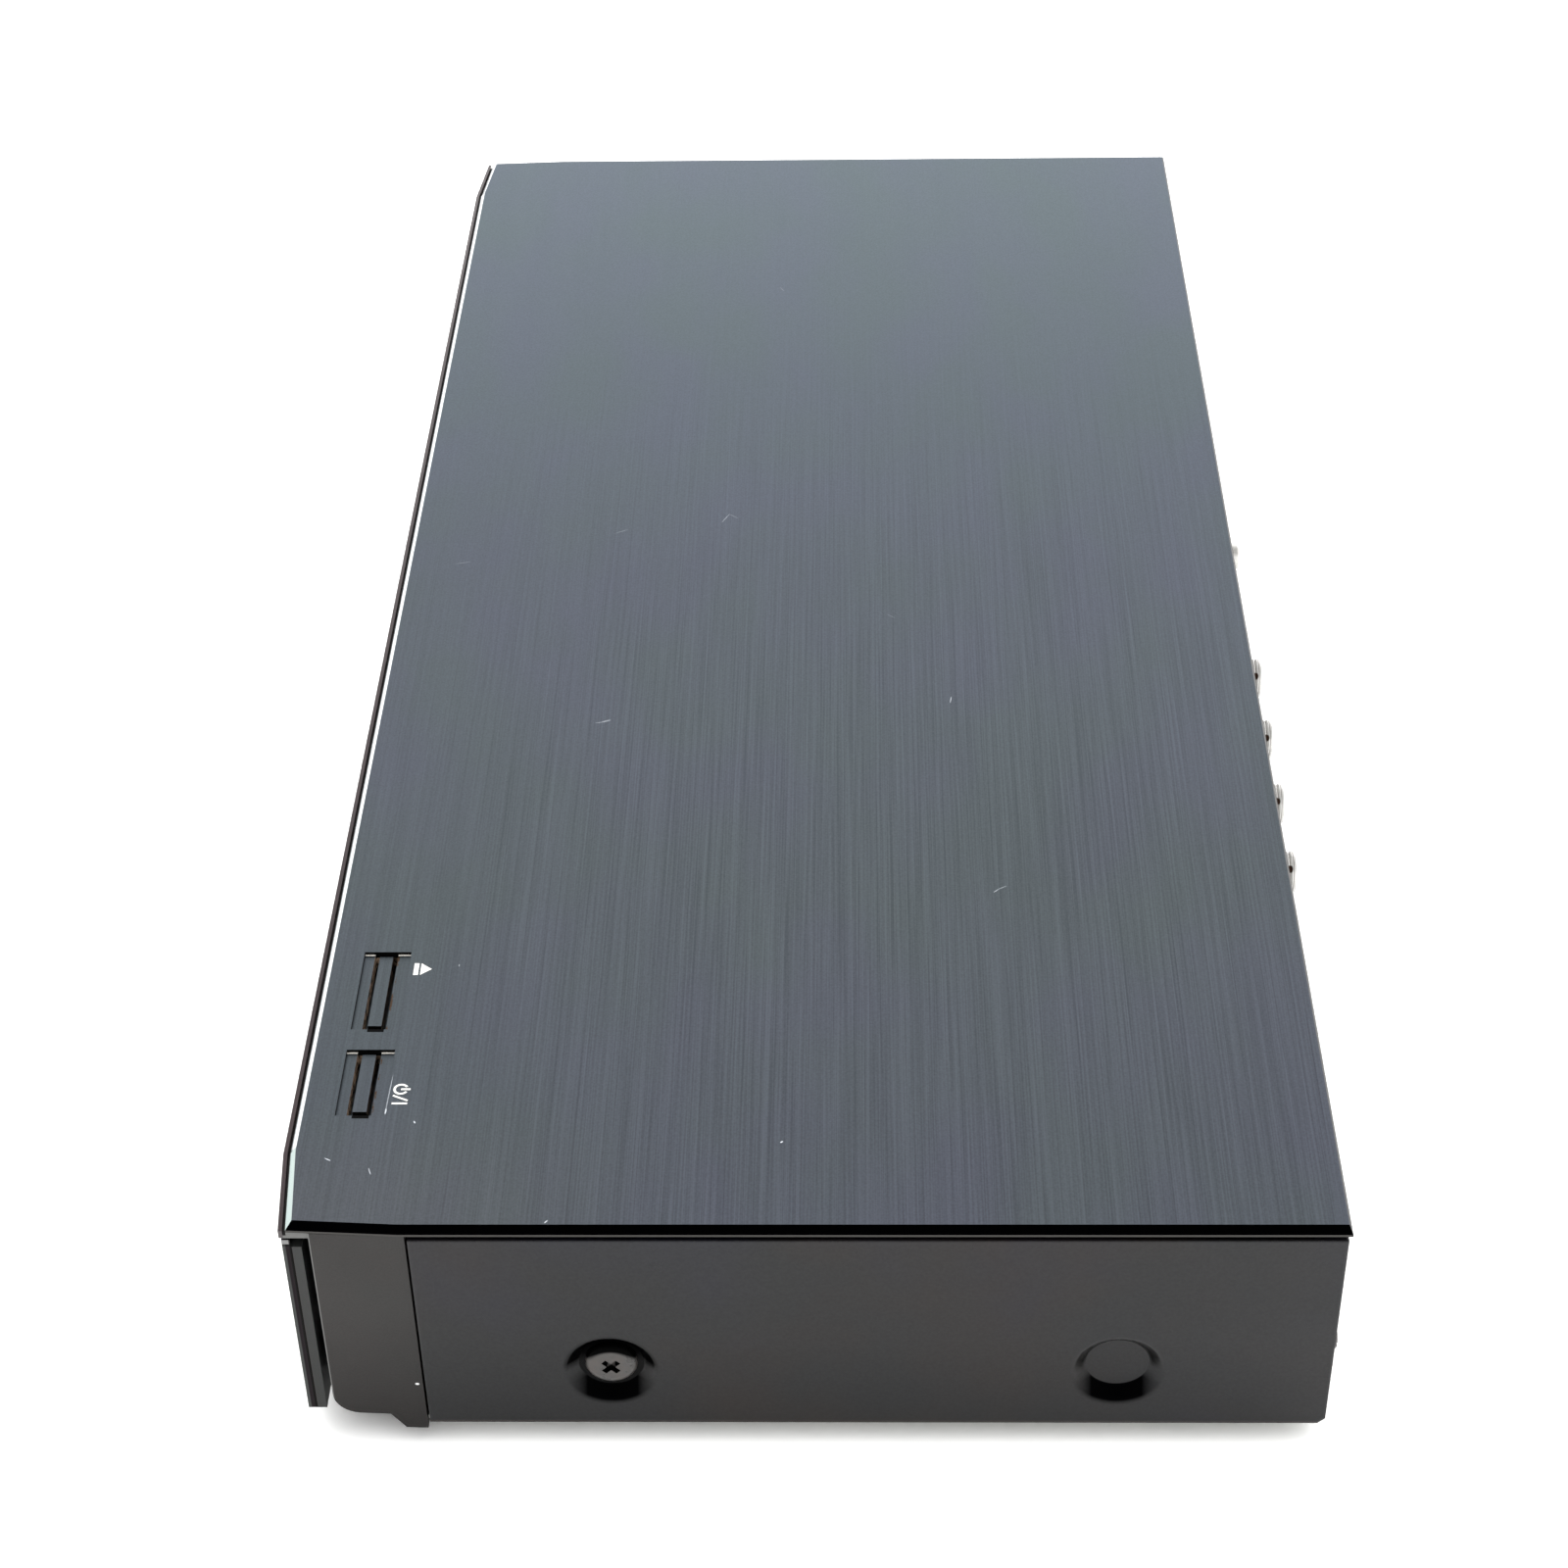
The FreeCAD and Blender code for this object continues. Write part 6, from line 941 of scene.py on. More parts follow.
@dataclass(frozen=True)
class Clear:
    """A see-through part: smoked window or coated lens."""

    name: str
    colour: Colour
    through: float
    rough: float = 0.05
    film_lift: float = 1.5

    def build(self) -> bpy.types.Material:
        """Make the material."""
        g = Graph.of_material(self.name)
        film = g.noise(120.0, 3.0)
        cover = g.span(film, 0.3, 0.7, 0.0, 0.4)
        return g.finish(Base_Color=g.blend(cover, self.colour, lightened(self.colour, self.film_lift)),
                        Roughness=g.span(film, 0.3, 0.7, self.rough, self.rough + 0.05),
                        Transmission_Weight=self.through)


@dataclass(frozen=True)
class Print:
    """White printing ink with slightly uneven cover."""

    name: str = "white_print"
    colour: Colour = (0.80, 0.80, 0.76)
    thin: float = 0.86
    rough: float = 0.55

    def build(self) -> bpy.types.Material:
        """Make the material."""
        g = Graph.of_material(self.name)
        grain = g.noise(5200.0, 2.0)
        colour = g.blend(g.span(grain, 0.35, 0.7), self.colour, lightened(self.colour, self.thin))
        return g.finish(Base_Color=colour, Roughness=self.rough, Normal=g.bump(grain, 0.000008))


class Finish(Enum):
    """Every finish on the recorder."""

    BRUSHED = BrushedPlate()
    PAINT = PaintedSteel()
    SATIN = FrontMoulding()
    DOOR = DoorSkin()
    BACKING = DoorBacking()
    GLOSS = Moulding("gloss_black_moulding", (0.006, 0.006, 0.007), (0.009, 0.008, 0.009), 0.16,
                     grain=0.000002, coat=0.6)
    TRIM = Moulding("gloss_edge_trim", (0.030, 0.020, 0.022), (0.044, 0.030, 0.031), 0.2,
                    grain=0.000002, coat=0.5)
    BLACK = Moulding("black_plastic", (0.020, 0.020, 0.021), (0.028, 0.027, 0.027), 0.5)
    GREY = Moulding("grey_plastic", (0.105, 0.108, 0.112), (0.130, 0.130, 0.132), 0.46)
    WHITE = Moulding("white_plastic", (0.66, 0.65, 0.61), (0.72, 0.71, 0.67), 0.42)
    YELLOW = Moulding("yellow_plastic", (0.62, 0.44, 0.03), (0.70, 0.50, 0.05), 0.4)
    RED = Moulding("red_plastic", (0.42, 0.02, 0.02), (0.50, 0.03, 0.03), 0.4)
    RUBBER = Moulding("black_rubber", (0.018, 0.018, 0.018), (0.028, 0.027, 0.026), 0.78, grain=0.00004)
    BELT = Moulding("belt_rubber", (0.014, 0.014, 0.014), (0.022, 0.021, 0.021), 0.7, grain=0.00003)
    CHIP = Moulding("chip_resin", (0.020, 0.020, 0.021), (0.030, 0.030, 0.031), 0.6)
    FERRITE = Moulding("ferrite_core", (0.035, 0.033, 0.031), (0.050, 0.047, 0.044), 0.65, grain=0.00005)
    RIBBON = Moulding("cable_ribbon", (0.66, 0.66, 0.65), (0.58, 0.59, 0.60), 0.38)
    ZINC = Metal("zinc_plated_steel", (0.60, 0.60, 0.57), (0.50, 0.51, 0.49), 0.34)
    NICKEL = Metal("nickel_plate", (0.78, 0.76, 0.71), (0.68, 0.66, 0.61), 0.14, (300.0, 300.0, 300.0))
    AERIAL = ThreadedNickel()
    DOMED = DomedOxide()
    BRIGHT = Metal("bright_nickel", (0.86, 0.85, 0.81), (0.76, 0.75, 0.71), 0.20, (300.0, 300.0, 300.0),
                   share=0.5)
    ALLOY = Metal("cast_alloy", (0.62, 0.63, 0.64), (0.52, 0.53, 0.54), 0.42, (700.0, 700.0, 700.0))
    POLISHED = Metal("polished_steel", (0.74, 0.74, 0.74), (0.68, 0.68, 0.69), 0.10, (400.0, 400.0, 400.0))
    OXIDE = Metal("black_oxide_screw", (0.085, 0.080, 0.080), (0.120, 0.110, 0.108), 0.24,
                  (500.0, 500.0, 500.0))
    BRASS = Metal("gold_contact", (0.78, 0.58, 0.26), (0.68, 0.50, 0.22), 0.2, (500.0, 500.0, 500.0))
    BOARD = Board()
    SMOKED = Clear("smoked_window", (0.035, 0.033, 0.036), 0.6)
    LENS = Clear("coated_lens", (0.30, 0.36, 0.62), 0.8)
    PRINT = Print()


class Paintbox:
    """Builds each finish once and puts it on objects."""

    def __init__(self) -> None:
        """Start with no finish made."""
        self._made: dict = {}

    def get(self, finish: Finish) -> bpy.types.Material:
        """The material of a finish, made when it is first asked for."""
        if finish not in self._made:
            self._made[finish] = finish.value.build()
        return self._made[finish]

    def dress(self, thing: bpy.types.Object, finish: Finish) -> None:
        """Put one finish all over an object.

        Args:
            thing: The object.
            finish: Its finish.
        """
        material = self.get(finish)
        if not thing.material_slots:
            thing.data.materials.append(material)
        for slot in thing.material_slots:
            slot.material = material


NODE_FINISHES = {
    Finish.BRUSHED: ["top_panel", "eject_button", "power_button"],
    Finish.SATIN: ["front_bezel"],
    Finish.DOOR: ["door_panel"],
    Finish.BACKING: ["door_backing"],
    Finish.TRIM: ["lip_trim"],
    Finish.GLOSS: ["front_fascia", "tray_lid"],
    Finish.POLISHED: ["hinge_pins", "guide_rods", "lead_screw", "hdd_platters"],
    Finish.SMOKED: ["display_window"],
    Finish.PAINT: ["wrap_cover", "rear_panel"],
    Finish.ZINC: ["chassis_base", "drive_cover", "spindle_motor", "traverse_frame", "sled_motor",
                  "loading_motor", "hdd_bracket", "hdd_cover"],
    Finish.RUBBER: ["feet"],
    Finish.OXIDE: ["side_screws", "case_screws"],
    Finish.BOARD: ["key_board", "front_board", "main_board", "power_board"],
    Finish.BLACK: ["tact_switches", "card_reader", "av_jacks", "ac_inlet", "capacitors", "fan_frame",
                   "fan_rotor", "turntable", "pickup_sled"],
    Finish.GREY: ["display_module", "drive_base", "disc_tray"],
    Finish.NICKEL: ["sd_slot", "tuner_can", "antenna_sockets", "hdmi_port", "lan_port"],
    Finish.CHIP: ["main_chips"],
    Finish.ALLOY: ["heat_sink", "hdd_base", "hdd_arm"],
    Finish.FERRITE: ["transformer"],
    Finish.WHITE: ["clamper", "motor_pulley", "belt_gear", "tray_gear"],
    Finish.LENS: ["pickup_lens"],
    Finish.BELT: ["loading_belt"],
    Finish.RIBBON: ["flat_cables"],
}


# Shaping with the modelling operators

class Pick(Enum):
    """What an edit works on, as the operators call it."""

    FACES = "FACE"
    CORNERS = "VERT"


class Shaper:
    """Holds the object that is being modelled and drives the operators on it."""

    def __init__(self, thing: bpy.types.Object) -> None:
        """Take up an object that was just added."""
        self.thing = thing

    @staticmethod
    def clear() -> None:
        """Deselect everything, out of edit mode."""
        if bpy.context.object and bpy.context.object.mode != "OBJECT":
            bpy.ops.object.mode_set(mode="OBJECT")
        bpy.ops.object.select_all(action="DESELECT")

    @classmethod
    def disc(cls, name: str, sides: int, radius: float, height: float = 0.0,
             place: tuple = (0.0, 0.0)) -> "Shaper":
        """A flat disc facing up.

        Args:
            name: Name of the piece.
            sides: Number of sides.
            radius: Radius in metres.
            height: Its height in metres.
            place: Its centre along X and Y in metres.

        Returns:
            The shaper that holds it.
        """
        cls.clear()
        bpy.ops.mesh.primitive_circle_add(vertices=sides, radius=radius, location=(*place, height),
                                          fill_type="NGON")
        bpy.context.object.name = name
        return cls(bpy.context.object)

    @classmethod
    def sheet(cls, name: str, width: float, length: float, spot: tuple) -> "Shaper":
        """A flat rectangle facing up.

        Args:
            name: Name of the piece.
            width: Size along X in metres.
            length: Size along Y in metres.
            spot: Centre in metres.

        Returns:
            The shaper that holds it.
        """
        cls.clear()
        bpy.ops.mesh.primitive_plane_add(size=1.0, location=spot)
        thing = bpy.context.object
        thing.name = name
        thing.scale = (width, length, 1.0)
        bpy.ops.object.transform_apply(location=False, rotation=False, scale=True)
        return cls(thing)

    def focus(self) -> None:
        """Make the held object the only selected and active one."""
        self.clear()
        self.thing.select_set(True)
        bpy.context.view_layer.objects.active = self.thing

    def choose(self, kind: Pick, rule: Callable[[Vector], bool]) -> None:
        """Enter edit mode with the faces or corners that a rule picks.

        Args:
            kind: What is picked.
            rule: Called with each one's middle in the object's frame.
        """
        self.focus()
        bpy.ops.object.mode_set(mode="EDIT")
        bpy.ops.mesh.select_mode(type=kind.value)
        bpy.ops.mesh.select_all(action="DESELECT")
        bpy.ops.object.mode_set(mode="OBJECT")
        mesh = self.thing.data
        if kind is Pick.FACES:
            for face in mesh.polygons:
                face.select = rule(face.center)
        else:
            for corner in mesh.vertices:
                corner.select = rule(corner.co)
        bpy.ops.object.mode_set(mode="EDIT")

    def everything(self) -> None:
        """Enter edit mode with everything selected."""
        self.focus()
        bpy.ops.object.mode_set(mode="EDIT")
        bpy.ops.mesh.select_all(action="SELECT")

    def rest(self) -> None:
        """Leave edit mode."""
        bpy.ops.object.mode_set(mode="OBJECT")

    def draw_out(self, rise: float) -> None:
        """Extrude what is selected upwards as one region, or downwards where the rise is negative."""
        bpy.ops.mesh.extrude_region_move(TRANSFORM_OT_translate={"value": (0.0, 0.0, rise)})

    def inset(self, thickness: float, depth: float = 0.0) -> None:
        """Inset the selected faces as one region, by a rim's width and a rise of the middle in metres."""
        bpy.ops.mesh.inset(thickness=thickness, depth=depth)

    def shrink(self, factor: float) -> None:
        """Scale what is selected about the Z axis, across it."""
        bpy.ops.transform.resize(value=(factor, factor, 1.0), center_override=ORIGIN)

    def tidy(self) -> None:
        """Merge doubles and turn every normal outwards."""
        self.everything()
        bpy.ops.mesh.remove_doubles(threshold=1e-6)
        bpy.ops.mesh.normals_make_consistent(inside=False)
        self.rest()

    def raise_all(self, height: float) -> None:
        """Give a flat shape a thickness in metres."""
        self.everything()
        self.draw_out(height)
        self.rest()
        self.tidy()

    def carve(self, tool: "Shaper") -> None:
        """Cut another shape out of this one and remove it.

        Args:
            tool: The shape to cut with.
        """
        self.focus()
        cut = self.thing.modifiers.new("cut", "BOOLEAN")
        cut.operation = "DIFFERENCE"
        cut.solver = "EXACT"
        cut.object = tool.thing
        bpy.ops.object.modifier_apply(modifier=cut.name)
        bpy.data.objects.remove(tool.thing)

    def merge(self, others: list) -> None:
        """Join the shapes of other shapers into this one."""
        self.focus()
        for other in others:
            other.thing.select_set(True)
        bpy.ops.object.join()

    def settle(self) -> None:
        """Put the object at the origin, unturned and unscaled, with its place in its mesh."""
        self.focus()
        bpy.ops.object.transform_apply(location=True, rotation=True, scale=True)

    def move(self, way: tuple) -> None:
        """Move the whole mesh, by metres along X, Y and Z."""
        self.thing.data.transform(Matrix.Translation(Vector(way)))

    def copy(self, name: str, way: tuple) -> "Shaper":
        """A copy with its own mesh, moved.

        Args:
            name: Name of the copy.
            way: How far, in metres.

        Returns:
            The shaper that holds the copy.
        """
        twin = self.thing.copy()
        twin.data = self.thing.data.copy()
        twin.name = name
        bpy.context.scene.collection.objects.link(twin)
        made = Shaper(twin)
        made.settle()
        made.move(way)
        return made

    def turn(self, angle: float, axis: str, centre: tuple = ORIGIN) -> None:
        """Turn the whole mesh about an axis through a point.

        Args:
            angle: Angle in degrees, by the right-hand rule; the operator itself counts clockwise.
            axis: "X", "Y" or "Z".
            centre: The point in metres.
        """
        self.settle()
        self.everything()
        bpy.ops.transform.rotate(value=-math.radians(angle), orient_axis=axis, center_override=centre)
        self.rest()

    def smooth(self, angle: float) -> None:
        """Shade smooth up to an angle in degrees."""
        self.focus()
        bpy.ops.object.shade_smooth_by_angle(angle=math.radians(angle))

    def face_back(self, place: tuple, angle: float) -> None:
        """Turn a shape that faces up to the back and stand it at its place.

        Args:
            place: Where its origin goes, in metres.
            angle: Angle in degrees that it is shaded smooth up to.
        """
        self.turn(-90.0, "X")
        self.move(place)
        self.smooth(angle)

    def done(self, paints: Paintbox, finish: Finish, body: str, slot: str) -> bpy.types.Object:
        """Finish the piece: settle, dress and let it ride.

        Args:
            paints: The finishes.
            finish: Finish of the piece.
            body: CAD body that carries it.
            slot: Material slot of the record; not used.

        Returns:
            The finished object.
        """
        self.settle()
        paints.dress(self.thing, finish)
        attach(self.thing, body)
        LOG.info("piece %s on %s, %d faces", self.thing.name, body, len(self.thing.data.polygons))
        return self.thing


# Sub-assemblies

@dataclass
class Casing:
    """Every CAD node, each with its finish."""

    paints: Paintbox

    def build(self) -> None:
        """Dress the nodes."""
        for finish, names in NODE_FINISHES.items():
            for name in names:
                self.paints.dress(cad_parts[name], finish)
        LOG.info("dressed %d nodes", sum(len(names) for names in NODE_FINISHES.values()))


@dataclass
class ButtonMarks:
    """White signs printed beside the two buttons: eject, power and on."""

    paints: Paintbox
    level: float = PLATE_TOP
    gap: float = 0.000005
    ink: float = 0.00003
    low: float = -0.08496
    stroke_width: float = 0.00048
    eject_x: float = 0.14264
    bar_length: float = 0.00356
    bar_width: float = 0.00100
    triangle_base: float = -0.08356
    triangle_height: float = 0.00226
    ring_x: float = 0.17758
    ring_y: float = -0.08358
    ring_radius: float = 0.00150
    ring_sides: int = 48
    ring_opening: float = 0.00058
    tick_reach: float = 0.00184
    slash_x: float = 0.18002
    slash_angle: float = 25.5
    slash_width_share: float = 0.9
    slash_length_share: float = 1.1
    line_x: float = 0.18150
    sign_height: float = 0.00300

    def stroke(self, name: str, x: float, y: float, width: float, length: float,
               angle: float = 0.0) -> Shaper:
        """A straight line of ink.

        Args:
            name: Name of the piece.
            x: Middle along X in metres.
            y: Middle along Y in metres.
            width: Size along X in metres.
            length: Size along Y in metres.
            angle: Turn about Z in degrees.

        Returns:
            The shaper that holds it.
        """
        line = Shaper.sheet(name, width, length, (x, y, self.level + self.gap))
        line.raise_all(self.ink)
        line.turn(angle, "Z", (x, y, self.level))
        return line

    def triangle(self) -> Shaper:
        """The eject sign's triangle, its point to the back."""
        middle = self.triangle_base + self.triangle_height / 2
        sign = Shaper.sheet("eject_point", self.bar_length, self.triangle_height,
                            (self.eject_x, middle, self.level + self.gap))
        sign.choose(Pick.CORNERS, lambda place: place.y > 0)
        bpy.ops.transform.resize(value=(0.0, 1.0, 1.0))
        sign.rest()
        sign.raise_all(self.ink)
        return sign

    def ring(self) -> Shaper:
        """The power sign's ring, open to the back."""
        ring = Shaper.disc("power_mark", self.ring_sides, self.ring_radius, self.level + self.gap,
                           (self.ring_x, self.ring_y))
        ring.everything()
        ring.inset(self.stroke_width)
        bpy.ops.mesh.delete(type="FACE")
        ring.rest()
        ring.choose(Pick.FACES, lambda middle: middle.y > 0 and abs(middle.x) < self.ring_opening)
        bpy.ops.mesh.delete(type="FACE")
        ring.rest()
        ring.raise_all(self.ink)
        return ring

    def build(self) -> None:
        """Print the signs."""
        bar = self.stroke("eject_mark", self.eject_x, self.low + self.bar_width / 2, self.bar_length,
                          self.bar_width)
        bar.merge([self.triangle()])
        bar.done(self.paints, Finish.PRINT, "case", "white_plastic")
        middle = self.low + self.sign_height / 2
        tick = self.stroke("power_tick", self.ring_x, self.ring_y + self.tick_reach / 2, self.stroke_width,
                           self.tick_reach)
        slash = self.stroke("power_slash", self.slash_x, middle, self.stroke_width * self.slash_width_share,
                            self.sign_height * self.slash_length_share, -self.slash_angle)
        line = self.stroke("power_line", self.line_x, middle, self.stroke_width, self.sign_height)
        ring = self.ring()
        ring.merge([tick, slash, line])
        ring.done(self.paints, Finish.PRINT, "case", "white_plastic")


@dataclass
class SideScrews:
    """The two black pan-head screws in the cover's front pressings, their crosses turned."""

    paints: Paintbox
    sides: int = 56
    height: float = 0.0017
    turn: float = 45.0
    spread: float = 1.07
    lift: float = 0.0003
    foot_share: float = 0.16
    dome_share: float = 0.94
    crown_share: float = 0.55
    shoulder: float = 0.0019
    rounds: int = 7
    slot_length: float = 0.0042
    slot_width: float = 0.00125
    slot_depth: float = 0.0013
    slot_taper: float = 0.72
    slot_above: float = 0.2
    smooth_angle: float = 30.0

    def cross_cut(self) -> Shaper:
        """The cutter of one slot of the cross, wide above and narrow below."""
        cutter = Shaper.sheet("cross_cut", self.slot_length, self.slot_width,
                              (0.0, 0.0, self.height * (1.0 + self.slot_above)))
        cutter.everything()
        cutter.draw_out(-self.slot_depth - self.height * self.slot_above)
        cutter.shrink(self.slot_taper)
        cutter.rest()
        cutter.tidy()
        return cutter

    def head(self, name: str, radius: float) -> Shaper:
        """One domed head with its cross, facing up at the origin.

        Args:
            name: Name of the piece.
            radius: Radius of the head in metres.

        Returns:
            The shaper that holds it.
        """
        head = Shaper.disc(name, self.sides, radius)
        head.everything()
        foot = self.height * self.foot_share
        head.draw_out(foot)
        width, rise = radius, foot
        for step in range(1, self.rounds + 1):
            turn = math.radians(90.0 * step / self.rounds)
            wide = radius - self.shoulder * (1.0 - math.cos(turn))
            tall = foot + (self.height * self.dome_share - foot) * math.sin(turn)
            head.draw_out(tall - rise)
            head.shrink(wide / width)
            width, rise = wide, tall
        head.draw_out(self.height - rise)
        head.shrink(self.crown_share)
        head.rest()
        head.tidy()
        for angle in (self.turn, self.turn + 90.0):
            cutter = self.cross_cut()
            cutter.turn(angle, "Z")
            head.carve(cutter)
        return head

    def build(self) -> None:
        """Make both screws where the CAD has them."""
        low, high = (Vector(corner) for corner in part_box("side_screws"))
        middle = (low + high) / 2
        radius = (high.z - low.z) / 2
        for side, name in ((1, "side_screw_right"), (-1, "side_screw_left")):
            screw = self.head(name, radius * self.spread)
            screw.turn(90.0 * side, "Y")
            outer = high.x if side > 0 else low.x
            screw.move((outer - self.height * side, middle.y, middle.z + self.lift))
            screw.smooth(self.smooth_angle)
            piece = screw.done(self.paints, Finish.DOMED, "case", "black_screw")
            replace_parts(piece, "side_screws")


@dataclass
class RearCap:
    """The tall round head of the screw high on the rear panel."""

    paints: Paintbox
    spot: tuple = (-0.0200, 0.0940, 0.049)
    sides: int = 40
    radius: float = 0.0031
    height: float = 0.0038
    wall_share: float = 0.84
    crown: tuple = ((0.08, 0.97), (0.05, 0.94), (0.03, 0.90))
    rim: float = 0.0007
    dish: float = 0.0001
    socket: float = 0.0013
    socket_depth: float = 0.0014
    cutter_height: float = 0.002
    smooth_angle: float = 30.0

    def build(self) -> None:
        """Turn the head, hollow its hexagon and stand it on the panel."""
        cap = Shaper.disc("rear_cap_screw", self.sides, self.radius)
        cap.everything()
        cap.draw_out(self.height * self.wall_share)
        for rise, factor in self.crown:
            cap.draw_out(self.height * rise)
            cap.shrink(factor)
        cap.inset(self.rim, -self.dish)
        cap.rest()
        cap.tidy()
        cutter = Shaper.disc("cap_hexagon", 6, self.socket, self.height - self.socket_depth)
        cutter.raise_all(self.cutter_height)
        cap.carve(cutter)
        cap.face_back(self.spot, self.smooth_angle)
        cap.done(self.paints, Finish.BRIGHT, "case", "plated_steel")


@dataclass
class JackFaces:
    """Coloured faces on the six rear jacks: yellow, white and red, twice."""

    paints: Paintbox
    first: tuple = (-0.186, 0.10139, 0.0195)
    pitch: float = 0.013
    count: int = 6
    hues: tuple = (Finish.YELLOW, Finish.WHITE, Finish.RED)
    sides: int = 40
    outer: float = 0.00404
    thickness: float = 0.00025
    wall_share: float = 0.7
    bevel_share: float = 0.3
    bevel: float = 0.97
    bore_sides: int = 24
    bore: float = 0.0016
    bore_start: float = -0.001
    bore_height: float = 0.003
    smooth_angle: float = 35.0

    def face(self) -> Shaper:
        """One coloured face with the hole for the plug's pin."""
        face = Shaper.disc("jack_face_1", self.sides, self.outer)
        face.everything()
        face.draw_out(self.thickness * self.wall_share)
        face.draw_out(self.thickness * self.bevel_share)
        face.shrink(self.bevel)
        face.rest()
        face.tidy()
        pin = Shaper.disc("jack_bore", self.bore_sides, self.bore, self.bore_start)
        pin.raise_all(self.bore_height)
        face.carve(pin)
        return face

    def build(self) -> None:
        """Make one face, copy it along the row and colour them all."""
        first = self.face()
        first.face_back(self.first, self.smooth_angle)
        row = [(index, first.copy(f"jack_face_{index + 1}", (self.pitch * index, 0.0, 0.0)))
               for index in range(1, self.count)]
        for index, face in (*row, (0, first)):
            face.done(self.paints, self.hues[index % len(self.hues)], "case", "white_plastic")


@dataclass
class AerialSockets:
    """Four threaded aerial sockets with white insulators and gold contacts."""

    paints: Paintbox
    count: int = 4
    pitch: float = 0.025
    barrel_sides: int = 48
    plain_share: float = 0.26
    thread_share: float = 0.70
    thread: float = 0.00040
    groove: float = 0.92
    mouth: float = 0.96
    bore: float = 0.0036
    recess: float = 0.0012
    insulator_sides: int = 40
    insulator_fit: float = 0.985
    insulator_base: float = 0.0003
    insulator_step: float = 0.0002
    insulator_rim: float = 0.0004
    hole_share: float = 1.5
    contact_sides: int = 24
    contact: float = 0.0006
    contact_share: float = 1.4
    contact_wall: float = 0.5
    contact_height: float = 0.00045
    contact_depth: float = 0.0004
    contact_lift: float = 0.00005
    smooth_angle: float = 40.0

    def barrel(self, radius: float, length: float) -> Shaper:
        """One threaded barrel, facing up at the origin, with a plain root and a hollow mouth.

        Args:
            radius: Outer radius in metres.
            length: Length in metres.

        Returns:
            The shaper that holds it.
        """
        barrel = Shaper.disc("aerial_barrel_1", self.barrel_sides, radius)
        barrel.everything()
        barrel.draw_out(length * self.plain_share)
        steps = int(length * self.thread_share / self.thread / 2)
        for _ in range(steps):
            for factor in (self.groove, 1.0 / self.groove):
                barrel.draw_out(self.thread)
                barrel.shrink(factor)
        barrel.draw_out(length * (1.0 - self.plain_share) - steps * self.thread * 2)
        barrel.shrink(self.mouth)
        barrel.inset(radius * self.mouth - self.bore)
        barrel.draw_out(-self.recess)
        barrel.rest()
        barrel.tidy()
        return barrel

    def insulator(self, height: float) -> Shaper:
        """The white disc in a barrel's mouth, with a hole for the wire.

        Args:
            height: Height of its underside in metres.

        Returns:
            The shaper that holds it.
        """
        radius = self.bore * self.insulator_fit
        disc = Shaper.disc("aerial_insulator_1", self.insulator_sides, radius, height)
        disc.everything()
        disc.draw_out(self.insulator_base)
        disc.inset(self.insulator_rim)
        disc.draw_out(self.insulator_step)
        disc.inset(radius - self.insulator_rim - self.contact * self.hole_share)
        disc.draw_out(-self.insulator_step)
        disc.rest()
        disc.tidy()
        return disc

    def wire_grip(self, height: float) -> Shaper:
        """The gold tube that grips the wire.

        Args:
            height: Height of its underside in metres.

        Returns:
            The shaper that holds it.
        """
        grip = Shaper.disc("aerial_contact_1", self.contact_sides, self.contact * self.contact_share, height)
        grip.everything()
        grip.draw_out(self.contact_height)
        grip.inset(self.contact * self.contact_wall)
        grip.draw_out(-self.contact_depth)
        grip.rest()
        grip.tidy()
        return grip

    def build(self) -> None:
        """Make the first socket, stand it on the panel and copy it along."""
        low, high = (Vector(corner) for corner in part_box("antenna_sockets"))
        radius = (high.z - low.z) / 2
        length = high.y - low.y
        first = (low.x + radius, low.y, (low.z + high.z) / 2)
        inside = length - self.recess
        parts = (
            (self.barrel(radius, length), Finish.AERIAL, "nickel", "aerial_barrel"),
            (self.insulator(inside), Finish.WHITE, "white_plastic", "aerial_insulator"),
            (self.wire_grip(inside + self.contact_lift), Finish.BRASS, "nickel", "aerial_contact"),
        )
        for part, finish, slot, name in parts:
            part.face_back(first, self.smooth_angle)
            for index in range(1, self.count):
                twin = part.copy(f"{name}_{index + 1}", (self.pitch * index, 0.0, 0.0))
                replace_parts(twin.done(self.paints, finish, "case", slot), "antenna_sockets")
            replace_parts(part.done(self.paints, finish, "case", slot), "antenna_sockets")


# Stage

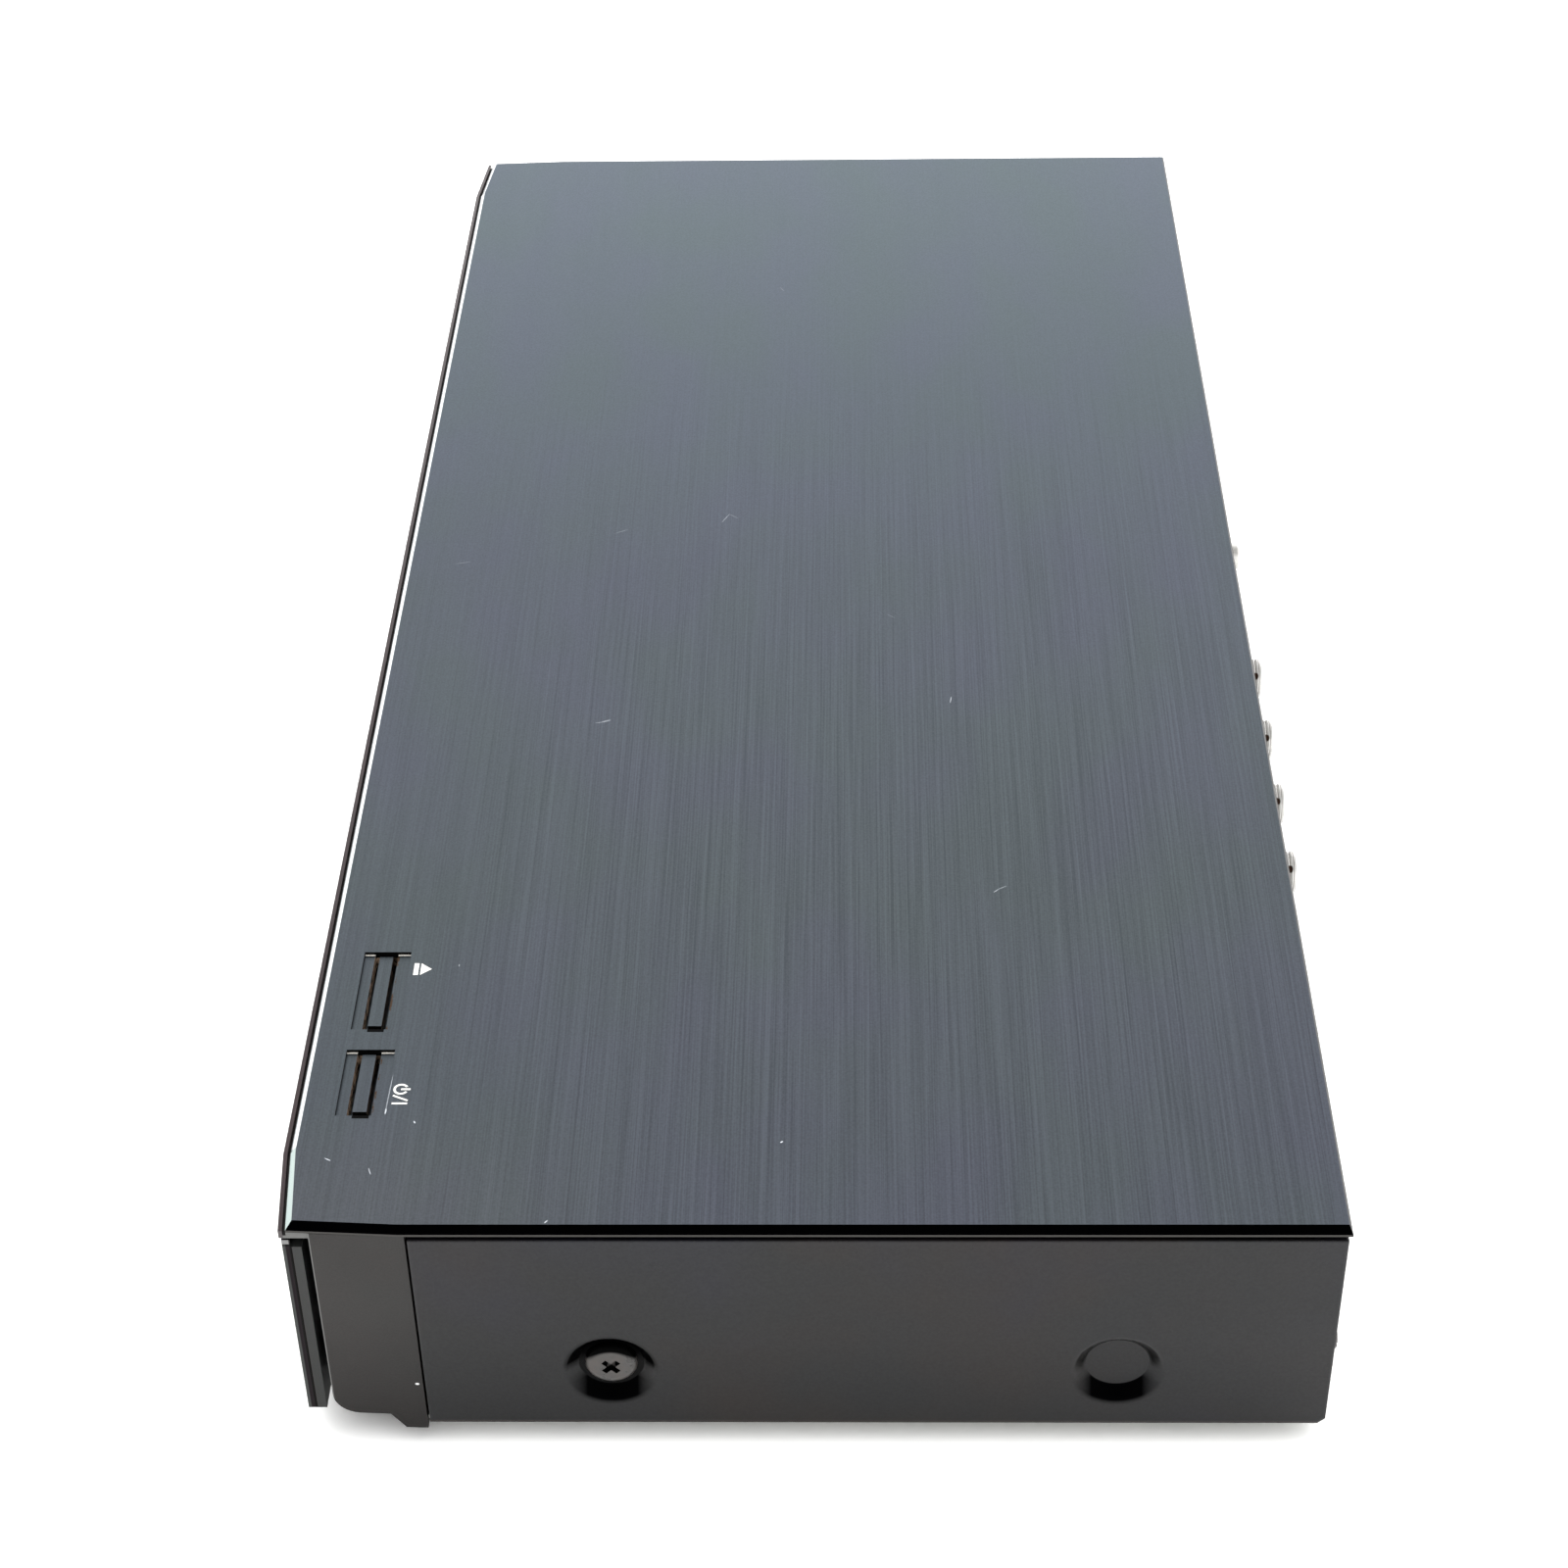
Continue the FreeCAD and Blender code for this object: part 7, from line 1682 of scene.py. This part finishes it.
@dataclass
class Stage:
    """Floor, world, lamp and the camera at the photograph's place."""

    spot: tuple = (0.610161, 0.004033, 0.471853)
    right: tuple = (-0.01592546, 0.99973697, -0.01650346)
    down: tuple = (0.61616227, -0.00318651, -0.78761279)
    ahead: tuple = (-0.78745822, -0.02271191, -0.61594945)
    lens: float = 71.03
    sensor: float = 36.0
    reach: tuple = (0.02, 60.0)
    floor_side: float = 14.0
    floor_level: float = -0.0002
    floor_colours: tuple = ((0.93, 0.93, 0.92), (0.90, 0.90, 0.895))
    glow: float = 0.02
    gain: float = 1.32
    low_sky: float = 0.08
    overhead: float = 1.76
    daylight: float = 1.75
    horizon: float = 1.4
    blue: float = 1.01
    room: tuple = ((0.0, 1.0), (0.38, 1.0), (0.46, 0.90), (0.52, 0.70), (0.58, 0.50), (0.66, 0.40),
                   (0.74, 0.35), (0.82, 0.17), (0.90, 0.0), (1.0, 0.0))
    lamp_spot: tuple = (-1.5, -0.5, 1.3)
    lamp_side: float = 1.4
    lamp_watts: float = 12.0

    def floor(self) -> None:
        """A wide pale floor, white to the camera, that keeps the object's shadow."""
        pad = Shaper.sheet("floor", self.floor_side, self.floor_side, ORIGIN)
        pad.thing.location.z = self.floor_level
        g = Graph.of_material("pale_floor")
        seen = g.node("ShaderNodeLightPath").outputs["Is Camera Ray"]
        colour = g.blend(g.span(g.noise(3.0, 2.0), 0.35, 0.65), *self.floor_colours)
        colour = g.blend(seen, colour, g.tinted(colour, (self.gain, self.gain, self.gain)))
        plain = g.node("ShaderNodeBsdfDiffuse", {"Color": colour})
        glow = g.node("ShaderNodeEmission", {"Color": PURE_WHITE})
        shaders = {0: g.times(seen, self.glow), 1: plain.outputs[0], 2: glow.outputs[0]}
        mix = g.node("ShaderNodeMixShader", shaders)
        pad.thing.data.materials.append(g.close("ShaderNodeOutputMaterial", mix.outputs[0]))

    def world(self) -> None:
        """A world that differs by ray.

        Reflections see the room, white at the horizon and dark overhead. Soft light comes from a sky that is
        dark low down and bright overhead, which darkens the floor beside the case. The camera sees white.
        """
        world = bpy.data.worlds.new("studio")
        bpy.context.scene.world = world
        world.cycles.sampling_method = "NONE"
        g = Graph(world)
        _, _, up = g.split(g.node("ShaderNodeTexCoord").outputs["Generated"])
        room = g.ramp(up, [(height, (value, value, value * self.blue)) for height, value in self.room])
        mirrored = g.node("ShaderNodeBackground", {"Color": room, "Strength": self.horizon})
        path = g.node("ShaderNodeLightPath").outputs
        seen = path["Is Camera Ray"]
        sky = g.calc("MULTIPLY_ADD", g.times(up, up), self.daylight * self.overhead,
                     self.daylight * self.low_sky)
        strength = g.calc("MULTIPLY_ADD", sky, g.calc("SUBTRACT", 1.0, seen), seen)
        soft = g.node("ShaderNodeBackground", {"Color": PURE_WHITE, "Strength": strength})
        mix = g.node("ShaderNodeMixShader",
                     {0: path["Is Glossy Ray"], 1: soft.outputs[0], 2: mirrored.outputs[0]})
        g.close("ShaderNodeOutputWorld", mix.outputs[0])

    def lamp(self) -> None:
        """One square soft lamp behind the recorder, aimed at it and left out of reflections."""
        data = bpy.data.lights.new("back_lamp", "AREA")
        data.shape = "SQUARE"
        data.size = self.lamp_side
        data.energy = self.lamp_watts
        thing = bpy.data.objects.new("back_lamp", data)
        thing.location = self.lamp_spot
        thing.rotation_euler = (-Vector(self.lamp_spot)).to_track_quat("-Z", "Y").to_euler()
        thing.visible_glossy = False
        bpy.context.scene.collection.objects.link(thing)

    def camera(self) -> None:
        """The camera that took the photograph, as fitted to the case's edges."""
        data = bpy.data.cameras.new("camera")
        data.sensor_width = self.sensor
        data.lens = self.lens
        data.clip_start, data.clip_end = self.reach
        thing = bpy.data.objects.new("camera", data)
        turn = Matrix((self.right, tuple(-v for v in self.down), tuple(-v for v in self.ahead))).transposed()
        thing.matrix_world = Matrix.Translation(Vector(self.spot)) @ turn.to_4x4()
        bpy.context.scene.collection.objects.link(thing)
        bpy.context.scene.camera = thing

    def build(self) -> None:
        """Set up the whole stage."""
        bpy.context.scene.view_settings.view_transform = "Standard"
        self.floor()
        self.world()
        self.lamp()
        self.camera()


def main() -> None:
    """Build the stage, the finishes and every piece, in order."""
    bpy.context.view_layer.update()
    paints = Paintbox()
    Stage().build()
    Casing(paints).build()
    ButtonMarks(paints).build()
    SideScrews(paints).build()
    RearCap(paints).build()
    AerialSockets(paints).build()
    JackFaces(paints).build()


if __name__ == "__main__":
    main()
